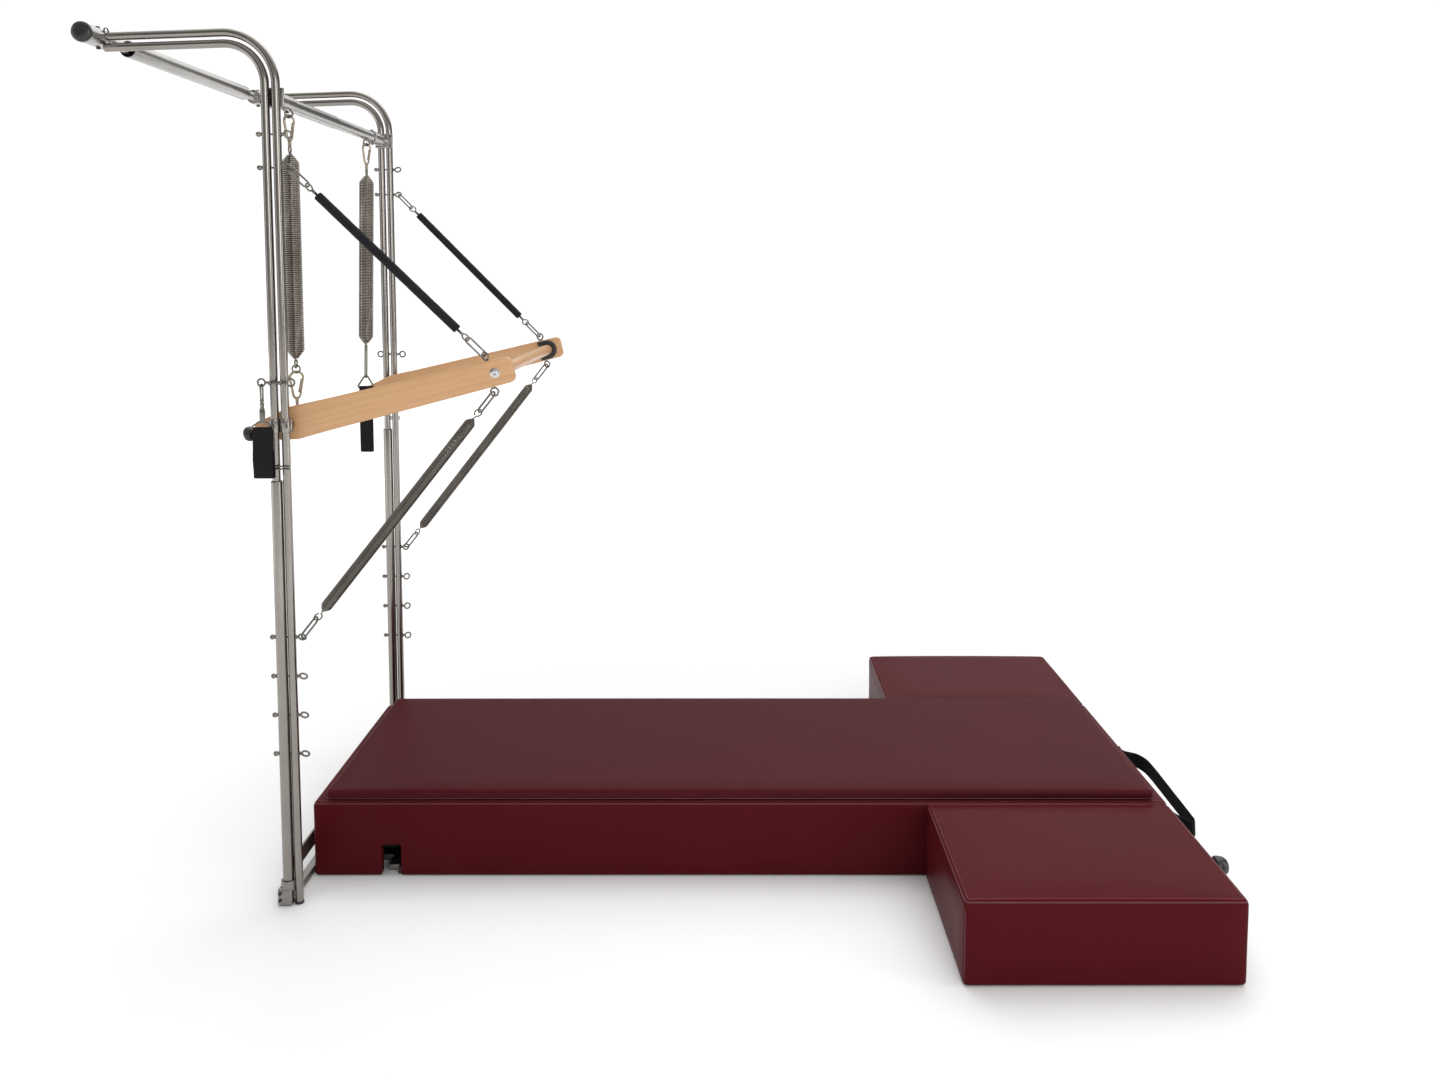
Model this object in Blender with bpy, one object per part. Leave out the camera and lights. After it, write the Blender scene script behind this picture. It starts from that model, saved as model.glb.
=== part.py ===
"""Pilates suspension frame: twin-tube tower, wooden push-through bar, springs and raised T-shaped mat.

Metres, +Z up. The tower stands at the -X end, the mat runs towards +X, and the depth is Y.
Inside this file x = 0 is the middle of each pair of upright tubes. ORIGIN_X moves the whole
model so that its origin lies at the middle of its footprint on the floor.
"""
import math

import bmesh
import bpy
from mathutils import Matrix, Vector

# Tower
FRAME_HALF = 0.4632            # middle of each upright pair from the middle plane
TUBE_R = 0.0100
TUBE_PITCH = 0.0260            # between the two tubes of a pair
BEND_Z = 2.0500                # where the uprights start to bend
BEND_BACK = 0.1080             # bend centre behind the uprights' middle
ARM_REACH = 0.4080             # front crossbar axis from the uprights' middle
ARM_SLOPE = math.radians(2.0)
POST_R = 0.0140                # lower post that the inner tube telescopes into
POST_TOP = 1.0850
POST_FOOT = 0.0060
INNER_ENTRY = 0.0600           # how far the inner tube goes into its post
FOOT_SIZE = (0.0370, 0.0400, 0.0620)
FOOT_X = -0.0180

# Front crossbar
FRONT_Z = 2.1580
HUB_R = 0.0225
HUB_LENGTH = 0.1000
HUB_OVERHANG = 0.0668          # hub end beyond the middle of its upright pair
FRONT_BAR_R = 0.0125
SLEEVE_R = 0.0210
SLEEVE_WALL = 0.0020
SLEEVE_NEAR = -0.3300
SLEEVE_FAR = 0.3600
BUSH_DEPTH = 0.0300
BUSH_LENGTH = 0.0200
CAP_R = 0.0240
CAP_THICK = 0.0140

# Rear crossbar
REAR_X = -0.0060
REAR_Z = 2.0200
REAR_R = (0.0200, 0.0175, 0.0160)      # collar, near half, far half
REAR_COLLAR = 0.1230                   # collar length from each upright
REAR_FLANGE = (0.0560, 0.0460, 0.0050)
HANG_OFFSET = (0.0060, -0.0255)        # eye centre from the rear bar axis
HANG_NEAR_IN = 0.1132                  # near spring inside its upright pair, and the far one
HANG_FAR_IN = 0.1932
HANG_EYE_R = 0.0095
HANG_EYE_WIRE = 0.0025

# Floor frame
RAIL_X = (-0.0230, -0.0010)
RAIL_HEIGHT = 0.0160
PLATE_X = (-0.0160, -0.0100)
PLATE_Z = (0.0600, 0.1020)
PLATE_POST_WIDTH = 0.0400
SIDE_RAIL_Y = 0.2400
SIDE_RAIL_WIDTH = 0.0360

# Eyes
EYE_R = 0.0090                 # ring, to the middle of its wire
EYE_WIRE = 0.0025
EYE_REACH = 0.0390             # ring centre from the uprights' middle
NUT_R = 0.0065
NUT_LENGTH = 0.0080
LOWER_EYE_Z = 0.3900
LOWER_EYE_STEP = 0.1000
LOWER_EYE_COUNT = 4
UPPER_EYE_Z = 1.8500
MID_EYE_Z = 1.3300
MID_EYE_STANDOFF = 0.0083      # clip rod axis in front of the tubes' faces
MID_EYE_REACH = 0.0360

# Push-through bar
PIVOT_X = 0.0130
PIVOT_Z = 1.2220
REST_ANGLE = math.radians(14.0)
BOARD_FROM_FRAME = 0.0492      # inner face of each arm board, inside the middle of its upright pair
BOARD_THICK = 0.0220
BOARD_TAIL = 0.0880            # behind the pivot
BOARD_LENGTH = 0.5730          # ahead of the pivot
BOARD_TAIL_HALF = 0.0260
BOARD_ROOT_HALF = 0.0420
BOARD_TIP_HALF = 0.0325
BOARD_ROOT_AT = 0.0100
BOARD_CORNER = 0.0140
BOARD_EYE_R = 0.0100           # ring, to the middle of its wire
BOARD_EYE_NECK = 0.0010        # ring's wire above the board's edge
DOWEL_R = 0.0160
REAR_DOWEL_R = 0.0140
DOWEL_AT = 0.5270              # handle dowel from the pivot, along the boards
EYE_ROD_AT = 0.5120            # rod that carries the boards' two eyes
PIN_R = 0.0060
PIN_INTO_DOWEL = 0.0140
BOLT_R = 0.0040
BOLT_INTO_DOWEL = 0.0300
BOLT_HEAD = (0.0085, 0.0050)
WASHER = (0.0125, 0.0016)
COLLAR_HALF = (0.0290, 0.0170)
COLLAR_OUT = 0.0029            # collar wall outside the tubes
KNOB_R = 0.0190
KNOB_NECK = 0.0075
PAD_THICK = 0.0080
PAD_R = 0.0300

# Springs and cords
LINK_WIRE = 0.0022
LINK_HALF = 0.0090
LINK_LENGTH = 0.0620
LINK_TURN = math.radians(40.0)
EYE_SEAT = {"lower": -0.0007, "upper": 0.0008}     # link's end wire past its eyebolt ring's middle
BAR_SEAT = 0.0014              # the same at the arm board's eye
HOOK_SEAT = 0.0030             # pull of a hook's middle from its link's end wire
HOOK_R = 0.0090
LOWER_WIRE = 0.0030
LOWER_COIL_R = 0.0115
LOWER_TURNS = 10
CORD_R = 0.0110
CORD_NECK_R = 0.0030
CORD_TAPER = 0.0140
HANG_WIRE = 0.0030
HANG_COIL_R = 0.0190
HANG_TURNS = 19
HANG_BODY = (1.8700, 1.4000)
HANG_TAPER = 0.0220            # length of the cone at each end of the coil
HANG_LOOP_TOP = 0.0350
HANG_LOWER_LOOP = 1.2600
HANG_EYE_HALF = 0.0240         # half width of the lower eye's straight bar
HANG_EYE_DROP = 0.0200
POINTS_PER_TURN = 8

# Hand loops
STRAP_WIDTH = 0.0480
FAR_STRAP_WIDTH = 0.0380
STRAP_THICK = 0.0025
STRAP_HALF_GAP = 0.0023
NEAR_STRAP_Z = (1.2160, 1.0980)
FAR_STRAP_Z = 1.0450           # lower end of the far loop
STRAP_SLACK = 0.0008           # inside a loop, to the bar that it hangs on
HOOK_BAR_HALF = 0.0270
HOOK_WIRE = 0.0020
HOOK_RING = (0.0058, 0.0400)    # half width and length of the hook's ring
HOOK_BARREL_R = 0.0045

# Mat
MAT_LEFT = 0.0053
MAT_LENGTH = 2.2600
MAT_HALF = 0.3400
MAT_HEIGHT = 0.2000
MAT_WALL = 0.0200
MAT_TOP = 0.0300
PAD_INSET = (0.0310, 0.0120)
MAT_PAD_THICK = 0.0280
MAT_PAD_CROWN = 0.0080
NOTCH_X = (0.1850, 0.2370)
NOTCH_HEIGHT = 0.0870
WING_LENGTH = 0.6400
WING_DEPTH = 0.4650
WING_HEIGHT = 0.2000
WING_CROWN = 0.0100
SIDE_DRAW = 0.0040             # how far upholstered sides pull in at mid height
FOOT_STRAP_PATH = (            # share of the bulge and y along the strap's middle
    (0.00, -0.2920), (0.00, -0.3240), (0.26, -0.3570), (0.58, -0.3860), (0.84, -0.3970),
    (0.99, -0.3870), (1.00, -0.3600), (1.00, -0.2400), (1.00, -0.1100), (0.93, -0.0560),
    (0.62, -0.0220), (0.00, -0.0010), (0.00, 0.0300))
FOOT_STRAP_Z = 0.1680
FOOT_STRAP_RISE = 0.0180        # far end above the near end
FOOT_STRAP_BULGE = 0.0500
FOOT_STRAP_WIDTH = 0.0400
FOOT_STRAP_THICK = 0.0030
END_KNOB = (0.0500, 0.0235)     # length and radius
END_KNOB_Y = -0.5800
END_KNOB_Z = 0.1600
END_KNOB_SINK = 0.0008         # its foot, behind the wing's corner line

GAP = 0.0003                   # clearance between pieces that touch
BORE_GAP = 0.0005
ROUND = 16                     # sides of the large round pieces
SLIM = 12                      # sides of the small round pieces

MAT_RIGHT = MAT_LEFT + MAT_LENGTH
MODEL_LEFT = -ARM_REACH - CAP_R
MODEL_RIGHT = MAT_RIGHT + FOOT_STRAP_BULGE + FOOT_STRAP_THICK
ORIGIN_X = (MODEL_LEFT + MODEL_RIGHT) / 2
BOARD_IN = FRAME_HALF - BOARD_FROM_FRAME
BOARD_MID = BOARD_IN + BOARD_THICK / 2
BOARD_OUT = BOARD_IN + BOARD_THICK
PIVOT = Vector((PIVOT_X, 0.0, PIVOT_Z))
ALONG = Vector((math.cos(REST_ANGLE), 0.0, math.sin(REST_ANGLE)))
ACROSS = Vector((-math.sin(REST_ANGLE), 0.0, math.cos(REST_ANGLE)))
HANG_NEAR = HANG_NEAR_IN - FRAME_HALF
HANG_FAR = FRAME_HALF - HANG_FAR_IN
HANG_X = REAR_X + HANG_OFFSET[0]
HANG_EYE_Z = REAR_Z + HANG_OFFSET[1]
HANG_Z = HANG_EYE_Z - HANG_EYE_R + HANG_EYE_WIRE + HANG_WIRE + GAP
Y_AXIS = Vector((0.0, 1.0, 0.0))
Z_AXIS = Vector((0.0, 0.0, 1.0))

MATERIALS = {
    "polished_steel": ((0.62, 0.60, 0.57), 0.18, 1.0),
    "satin_steel": ((0.45, 0.44, 0.42), 0.38, 1.0),
    "spring_steel": ((0.22, 0.21, 0.20), 0.35, 1.0),
    "maple": ((0.72, 0.48, 0.28), 0.45, 0.0),
    "black_rubber": ((0.02, 0.02, 0.022), 0.60, 0.0),
    "black_webbing": ((0.015, 0.015, 0.017), 0.85, 0.0),
    "burgundy_vinyl": ((0.16, 0.02, 0.03), 0.45, 0.0),
}


def clear_scene():
    """Removes every object, so that the script can be run again."""
    for old in list(bpy.data.objects):
        bpy.data.objects.remove(old, do_unlink=True)


def material(name):
    """Returns the named material, making it on first use."""
    found = bpy.data.materials.get(name)
    if found:
        return found
    colour, roughness, metallic = MATERIALS[name]
    made = bpy.data.materials.new(name)
    made.use_nodes = True
    shader = made.node_tree.nodes["Principled BSDF"]
    shader.inputs["Base Color"].default_value = (*colour, 1.0)
    shader.inputs["Roughness"].default_value = roughness
    shader.inputs["Metallic"].default_value = metallic
    return made


def link(name, mesh):
    """Puts a mesh into the scene as an object."""
    made = bpy.data.objects.new(name, mesh)
    bpy.context.scene.collection.objects.link(made)
    return made


def tidy(mesh):
    """Merges doubled points and turns the faces outwards."""
    work = bmesh.new()
    work.from_mesh(mesh)
    bmesh.ops.remove_doubles(work, verts=work.verts, dist=1e-6)
    bmesh.ops.recalc_face_normals(work, faces=work.faces)
    work.to_mesh(mesh)
    work.free()
    return mesh


def tube(name, points, radius, resolution=1, radii=None, cyclic=False):
    """Makes a round bar along points, as a bevelled curve turned into a mesh.

    resolution 1 gives 6 sides, 2 gives 8 and 4 gives 12. radii holds a factor for each point.
    """
    curve = bpy.data.curves.new(name, "CURVE")
    curve.dimensions = "3D"
    curve.bevel_depth = radius
    curve.bevel_resolution = resolution
    curve.use_fill_caps = True
    spline = curve.splines.new("POLY")
    spline.points.add(len(points) - 1)
    for index, point in enumerate(points):
        spline.points[index].co = (*point, 1.0)
        spline.points[index].radius = radii[index] if radii else 1.0
    spline.use_cyclic_u = cyclic
    holder = link(name + "_path", curve)
    depsgraph = bpy.context.evaluated_depsgraph_get()
    mesh = bpy.data.meshes.new_from_object(holder.evaluated_get(depsgraph))
    bpy.data.objects.remove(holder, do_unlink=True)
    return link(name, tidy(mesh))


def turned(name, profile, centre, axis=Y_AXIS, sides=ROUND, ring=False):
    """Turns (along, radius) pairs around an axis. A ring profile is closed and has a bore."""
    side = Z_AXIS if abs(axis.z) < 0.9 else Vector((1.0, 0.0, 0.0))
    side = (side - axis * side.dot(axis)).normalized()
    other = axis.cross(side)
    work = bmesh.new()
    rows = []
    for along, radius in profile:
        row = []
        for step in range(sides):
            angle = 2 * math.pi * (step + 0.5) / sides
            out = side * math.cos(angle) + other * math.sin(angle)
            row.append(work.verts.new(Vector(centre) + axis * along + out * radius))
        rows.append(row)
    pairs = list(zip(rows, rows[1:]))
    if ring:
        pairs.append((rows[-1], rows[0]))
    for low, high in pairs:
        for step in range(sides):
            after = (step + 1) % sides
            work.faces.new((low[step], low[after], high[after], high[step]))
    if not ring:
        work.faces.new(rows[0])
        work.faces.new(rows[-1])
    bmesh.ops.recalc_face_normals(work, faces=work.faces)
    mesh = bpy.data.meshes.new(name)
    work.to_mesh(mesh)
    work.free()
    return link(name, mesh)


def rod(name, start, end, radius, sides=SLIM):
    """Makes a plain round rod between two points."""
    start, end = Vector(start), Vector(end)
    length = (end - start).length
    return turned(name, [(0.0, radius), (length, radius)], start, (end - start).normalized(), sides)


def block(name, low, high, bevel=0.0, segments=2):
    """Makes a box between two corners, with its edges rounded by bevel."""
    low, high = Vector(low), Vector(high)
    work = bmesh.new()
    bmesh.ops.create_cube(work, size=1.0)
    size = high - low
    bmesh.ops.scale(work, vec=size, verts=work.verts)
    bmesh.ops.translate(work, vec=(low + high) / 2, verts=work.verts)
    if bevel:
        bmesh.ops.bevel(work, geom=work.edges, offset=bevel, segments=segments, affect="EDGES",
                        profile=0.5)
    mesh = bpy.data.meshes.new(name)
    work.to_mesh(mesh)
    work.free()
    return link(name, tidy(mesh))


def slab(name, outline, origin, across, up, thickness):
    """Extrudes a flat outline, given in (across, up) pairs, by a thickness vector."""
    work = bmesh.new()
    base = [work.verts.new(Vector(origin) + across * a + up * b) for a, b in outline]
    face = work.faces.new(base)
    made = bmesh.ops.extrude_face_region(work, geom=[face])
    lifted = [item for item in made["geom"] if isinstance(item, bmesh.types.BMVert)]
    bmesh.ops.translate(work, vec=thickness, verts=lifted)
    bmesh.ops.recalc_face_normals(work, faces=work.faces)
    mesh = bpy.data.meshes.new(name)
    work.to_mesh(mesh)
    work.free()
    return link(name, mesh)


def combine(target, tool, operation):
    """Applies a Boolean of tool to target and deletes the tool."""
    step = target.modifiers.new(operation.lower(), "BOOLEAN")
    step.operation = operation
    step.solver = "EXACT"
    step.object = tool
    depsgraph = bpy.context.evaluated_depsgraph_get()
    mesh = bpy.data.meshes.new_from_object(target.evaluated_get(depsgraph))
    target.modifiers.clear()
    target.data = mesh
    bpy.data.objects.remove(tool, do_unlink=True)
    return target


def finish(piece, material_name, pivot=(0.0, 0.0, 0.0), smooth=True):
    """Gives a piece its material and shading, and puts its origin on its joint."""
    pivot = Vector(pivot)
    mesh = piece.data
    mesh.materials.clear()
    mesh.materials.append(material(material_name))
    if smooth:
        mesh.shade_smooth()
        mesh.set_sharp_from_angle(angle=math.radians(40.0))
    mesh.transform(Matrix.Translation(-pivot))
    piece.location = pivot
    piece.parent = bpy.data.objects["floor_origin"]
    return piece


def arc(centre, first, second, start, end, steps):
    """Returns points on an arc; first and second are its axes times its radius."""
    centre, first, second = Vector(centre), Vector(first), Vector(second)
    angles = [start + (end - start) * step / steps for step in range(steps + 1)]
    return [centre + first * math.cos(angle) + second * math.sin(angle) for angle in angles]


def loop_points(centre, along, across, half_width, length, steps=5):
    """Returns the closed middle line of a link: two half rounds joined by straight sides."""
    reach = length / 2 - half_width
    ends = []
    for sign in (1.0, -1.0):
        middle = Vector(centre) + along * (reach * sign)
        ends += arc(middle, across * (half_width * sign), along * (half_width * sign),
                    0.0, math.pi, steps)
    return ends


def tube_centre(side, place):
    """Returns the x and y of a tube: side is -1 near or 1 far, place -1 inner or 1 outer."""
    return place * TUBE_PITCH / 2, side * FRAME_HALF


def upright(name, side, place, foot):
    """Makes one tube of a pair: upright, bend and arm in one piece, up to the front hub."""
    x, y = tube_centre(side, place)
    radius = x + BEND_BACK
    centre = Vector((-BEND_BACK, y, BEND_Z))
    turn = math.pi / 2 + ARM_SLOPE
    bend = arc(centre, Vector((radius, 0, 0)), Vector((0, 0, radius)), 0.0, turn, 8)
    heading = Vector((-math.cos(ARM_SLOPE), 0.0, -math.sin(ARM_SLOPE)))
    stop = -ARM_REACH + HUB_R + GAP
    run = (bend[-1].x - stop) / math.cos(ARM_SLOPE)
    points = [Vector((x, y, foot))] + bend + [bend[-1] + heading * run]
    return tube(name, points, TUBE_R, resolution=4)


def bore_x(target, side, height, start, end):
    """Drills a tube crosswise for an eyebolt."""
    y = side * FRAME_HALF
    drill = rod("drill", (start, y, height), (end, y, height), EYE_WIRE + BORE_GAP + 0.0002, 8)
    return combine(target, drill, "DIFFERENCE")


def eyebolt(name, side, height, facing):
    """Makes one eyebolt through both tubes, with its nut on the -X side and its ring on +X."""
    centre = Vector((EYE_REACH, side * FRAME_HALF, height))
    x_axis = Vector((1.0, 0.0, 0.0))
    up = facing.cross(x_axis).normalized()
    ring = arc(centre, x_axis * -EYE_R, up * EYE_R, 0.0, math.radians(300.0), 11)
    outer = -TUBE_PITCH / 2 - (POST_R if height < POST_TOP else TUBE_R) - GAP
    points, radii = [], []
    for along, factor in ((-NUT_LENGTH, 1.2), (-NUT_LENGTH * 0.75, NUT_R / EYE_WIRE),
                          (-GAP, NUT_R / EYE_WIRE), (0.0, 1.0)):
        points.append(Vector((outer + along, centre.y, height)))
        radii.append(factor)
    points += ring
    radii += [1.0] * len(ring)
    return tube(name, points, EYE_WIRE, resolution=1, radii=radii)


def hook_centres(kind, start, direction, length):
    """Returns the middles of the two hooks of a spring or cord, pulled against their links."""
    reach = LINK_LENGTH + HOOK_SEAT
    first = start + direction * (EYE_SEAT[kind] + reach)
    last = start + direction * (length - BAR_SEAT - reach)
    return first, last


def link_facing(direction, side):
    """Returns the crossing direction of a link on a run: its wire crosses each eye along this."""
    sideways = direction.cross(Y_AXIS).normalized()
    flat = sideways.cross(direction).normalized()
    turn = LINK_TURN * -side
    return (flat * math.cos(turn) + sideways * math.sin(turn)).normalized()


def hook_facing(direction, side):
    """Returns the crossing direction of a hook, square to its link's."""
    return direction.cross(link_facing(direction, side)).normalized()


def eye_centre(side, vertical):
    """Returns the middle of a board's eye: vertical is 1 above the board and -1 below it."""
    out = BOARD_TIP_HALF + BOARD_EYE_NECK + EYE_WIRE + BOARD_EYE_R
    return PIVOT + ALONG * EYE_ROD_AT + ACROSS * (out * vertical) + Y_AXIS * (BOARD_MID * side)


def run_ends(kind, side):
    """Returns where a spring run starts, at its eyebolt, and ends, at the board's eye."""
    if kind == "lower":
        height = LOWER_EYE_Z + LOWER_EYE_STEP * (LOWER_EYE_COUNT - 1)
        return Vector((EYE_REACH, side * FRAME_HALF, height)), eye_centre(side, -1)
    return Vector((EYE_REACH, side * FRAME_HALF, UPPER_EYE_Z)), eye_centre(side, 1)


def run_frame(kind, side):
    """Returns a run's start, direction and length."""
    start, end = run_ends(kind, side)
    return start, (end - start).normalized(), (end - start).length


def spring_points(first, last, direction, across, coil_r, turns, body_start, body_end, hook_r):
    """Returns one unbroken wire: a hook, a cone, the coil, a cone and a hook.

    first and last are the hooks' centres, and body_start and body_end lie between them as
    distances from first along direction.
    """
    points = arc(first, direction * hook_r, across * hook_r, math.radians(50.0),
                 math.radians(345.0), 9)
    points.append(first + direction * (hook_r + HANG_WIRE * 0.6))
    other = direction.cross(across)
    taper = coil_r * 0.9
    length = body_end - body_start
    steps = int(turns * POINTS_PER_TURN)
    for step in range(steps + 1):
        share = step / steps
        along = body_start + length * share
        grown = min(1.0, 0.12 + min(along - body_start, body_end - along) / taper)
        angle = 2 * math.pi * turns * share
        out = across * math.cos(angle) + other * math.sin(angle)
        points.append(first + direction * along + out * (coil_r * grown))
    points.append(last - direction * (hook_r + HANG_WIRE * 0.6))
    points += arc(last, direction * -hook_r, across * -hook_r, math.radians(15.0),
                  math.radians(310.0), 9)
    return points


def least_gap(points, wire):
    """Measures the least gap of a wire to itself, on points more than half a turn apart."""
    least = 1.0
    skip = POINTS_PER_TURN // 2 + 1
    for index, point in enumerate(points):
        for other in points[index + skip:index + 5 * POINTS_PER_TURN]:
            least = min(least, (point - other).length - 2 * wire)
    return least


def build_tower():
    """Makes the two upright pairs with their posts, feet and eyebolts."""
    for side, word in ((-1, "near"), (1, "far")):
        y = side * FRAME_HALF
        inner_x = tube_centre(side, -1)[0]
        outer = upright(word + "_outer_tube", side, 1, 0.0)
        inner = upright(word + "_inner_tube", side, -1, POST_TOP - INNER_ENTRY)
        bore = (TUBE_R + GAP) / math.cos(math.pi / ROUND)
        height = POST_TOP - POST_FOOT
        post = turned(word + "_lower_post", [(0.0, POST_R), (height, POST_R), (height, bore), (0.0, bore)],
                      (inner_x, y, POST_FOOT), Z_AXIS, ROUND, ring=True)
        lower = [LOWER_EYE_Z + LOWER_EYE_STEP * index for index in range(LOWER_EYE_COUNT)]
        reach = TUBE_PITCH / 2 + POST_R + 0.01
        for height in lower:
            bore_x(post, side, height, -reach, 0.002)
            bore_x(outer, side, height, 0.0015, reach)
        bore_x(inner, side, UPPER_EYE_Z, -reach, 0.0)
        bore_x(outer, side, UPPER_EYE_Z, 0.0, reach)
        for piece in (outer, inner, post):
            finish(piece, "polished_steel")
        for index, height in enumerate(lower):
            facing = link_facing(run_frame("lower", side)[1], side)
            finish(eyebolt(f"{word}_lower_eye_{index + 1}", side, height, facing), "satin_steel")
        facing = link_facing(run_frame("upper", side)[1], side)
        finish(eyebolt(word + "_upper_eye", side, UPPER_EYE_Z, facing), "satin_steel")
        build_mid_clip(word, side)
        build_foot(word, side)


def build_mid_clip(word, side):
    """Makes the clip across an upright pair that hand loops hang from, an eye at each end."""
    front = side * (FRAME_HALF + TUBE_R + MID_EYE_STANDOFF)
    rings = []
    for place in (-1.0, 1.0):
        centre = Vector((place * MID_EYE_REACH, front, MID_EYE_Z))
        ring = arc(centre, Vector((-place * EYE_R, 0, 0)), Vector((0, 0, EYE_R)), 0.0,
                   math.radians(300.0), 11)
        rings.append(ring)
    clip = tube(word + "_mid_clip", rings[0][::-1] + rings[1], EYE_WIRE, resolution=1)
    tube_face = side * (FRAME_HALF + TUBE_R + GAP)
    for place in (-1, 1):
        x = tube_centre(side, place)[0]
        stud = rod("stud", (x, tube_face, MID_EYE_Z), (x, front, MID_EYE_Z), EYE_WIRE * 1.5, 8)
        combine(clip, stud, "UNION")
    finish(clip, "satin_steel")


def build_foot(word, side):
    """Makes the cast foot that clamps the lower post."""
    y = side * FRAME_HALF
    half_x, half_y = FOOT_SIZE[0] / 2, FOOT_SIZE[1] / 2
    foot = block(word + "_foot_clamp", (FOOT_X - half_x, y - half_y, 0.0),
                 (FOOT_X + half_x, y + half_y, FOOT_SIZE[2]), bevel=0.005)
    inner_x = tube_centre(side, -1)[0]
    hole = (POST_R + GAP) / math.cos(math.pi / ROUND)
    drill = turned("drill", [(0.0, hole), (FOOT_SIZE[2], hole)], (inner_x, y, POST_FOOT - GAP),
                   Z_AXIS, ROUND)
    combine(foot, drill, "DIFFERENCE")
    outer_x = tube_centre(side, 1)[0]
    hole = (TUBE_R + GAP) / math.cos(math.pi / ROUND)
    clear = turned("clear", [(-0.01, hole), (FOOT_SIZE[2] + 0.01, hole)], (outer_x, y, 0.0),
                   Z_AXIS, ROUND)
    combine(foot, clear, "DIFFERENCE")
    finish(foot, "satin_steel")


def build_front_bar():
    """Makes the front crossbar with its hubs and caps, and the sleeve that turns on it."""
    end = FRAME_HALF + HUB_OVERHANG
    axis_point = (-ARM_REACH, 0.0, FRONT_Z)
    profile = [(-end, HUB_R), (-end + HUB_LENGTH, HUB_R), (-end + HUB_LENGTH, FRONT_BAR_R),
               (end - HUB_LENGTH, FRONT_BAR_R), (end - HUB_LENGTH, HUB_R), (end, HUB_R)]
    finish(turned("front_bar", profile, axis_point), "polished_steel")
    for side, word in ((-1, "near"), (1, "far")):
        face = end + GAP
        dome = [(0.0, CAP_R), (CAP_THICK * 0.45, CAP_R), (CAP_THICK * 0.8, CAP_R * 0.82),
                (CAP_THICK, CAP_R * 0.45)]
        cap = turned(word + "_front_cap", dome, (-ARM_REACH, side * face, FRONT_Z),
                     Y_AXIS * side)
        finish(cap, "black_rubber")
    bore = SLEEVE_R - SLEEVE_WALL
    bush = (FRONT_BAR_R + GAP) / math.cos(math.pi / ROUND)
    low, high = SLEEVE_NEAR, SLEEVE_FAR
    inner = [(high, bore), (high - BUSH_DEPTH, bore), (high - BUSH_DEPTH, bush),
             (high - BUSH_DEPTH - BUSH_LENGTH, bush), (high - BUSH_DEPTH - BUSH_LENGTH, bore),
             (low + BUSH_DEPTH + BUSH_LENGTH, bore), (low + BUSH_DEPTH + BUSH_LENGTH, bush),
             (low + BUSH_DEPTH, bush), (low + BUSH_DEPTH, bore), (low, bore)]
    sleeve = turned("front_sleeve", [(low, SLEEVE_R), (high, SLEEVE_R)] + inner, axis_point,
                    ring=True)
    finish(sleeve, "polished_steel", pivot=axis_point)


def build_rear_bar():
    """Makes the stepped rear crossbar with its end flanges and the two eyes under it."""
    end = FRAME_HALF - TUBE_R - GAP
    collar = end - REAR_COLLAR
    big, near_r, far_r = REAR_R
    profile = [(-end, big), (-collar, big), (-collar, near_r), (0.0, near_r), (0.0, far_r),
               (collar, far_r), (collar, big), (end, big)]
    bar = turned("rear_bar", profile, (REAR_X, 0.0, REAR_Z))
    width, height, thick = REAR_FLANGE
    for side in (-1, 1):
        faces = sorted((side * end, side * (end - thick)))
        flange = block("flange", (-width / 2, faces[0], REAR_Z - height / 2),
                       (width / 2, faces[1], REAR_Z + height / 2))
        combine(bar, flange, "UNION")
    for y in (HANG_NEAR, HANG_FAR):
        centre = Vector((HANG_X, y, HANG_EYE_Z))
        ring = arc(centre, Vector((HANG_EYE_R, 0, 0)), Vector((0, 0, HANG_EYE_R)), 0.0,
                   2 * math.pi * 11 / 12, 11)
        combine(bar, tube("eye", ring, HANG_EYE_WIRE, cyclic=True), "UNION")
    finish(bar, "satin_steel")


def build_floor_frame():
    """Makes the welded floor frame: the rail and plate between the feet, and what lies under the mat."""
    end = FRAME_HALF - FOOT_SIZE[1] / 2 - GAP
    frame = block("floor_frame", (RAIL_X[0], -end, 0.0), (RAIL_X[1], end, RAIL_HEIGHT))
    left = RAIL_X[0] + 0.001
    bar_x = (NOTCH_X[0] + 0.008, NOTCH_X[1] - 0.008)
    inside = MAT_HALF - MAT_WALL - 0.01
    cross = block("cross", (bar_x[0], -inside, 0.0), (bar_x[1], inside, RAIL_HEIGHT))
    combine(frame, cross, "UNION")
    for side in (-1, 1):
        middle = side * SIDE_RAIL_Y
        half = SIDE_RAIL_WIDTH / 2
        rail = block("rail", (left, middle - half, 0.0),
                     (bar_x[0] + 0.005, middle + half, RAIL_HEIGHT))
        combine(frame, rail, "UNION")
        post_in = side * (end - PLATE_POST_WIDTH)
        ends = sorted((side * end, post_in))
        post = block("plate_post", (PLATE_X[0], ends[0], 0.002), (PLATE_X[1], ends[1], PLATE_Z[1] - 0.002))
        combine(frame, post, "UNION")
    plate = block("plate", (PLATE_X[0], -end, PLATE_Z[0]), (PLATE_X[1], end, PLATE_Z[1]))
    combine(frame, plate, "UNION")
    finish(frame, "satin_steel", smooth=False)


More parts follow.
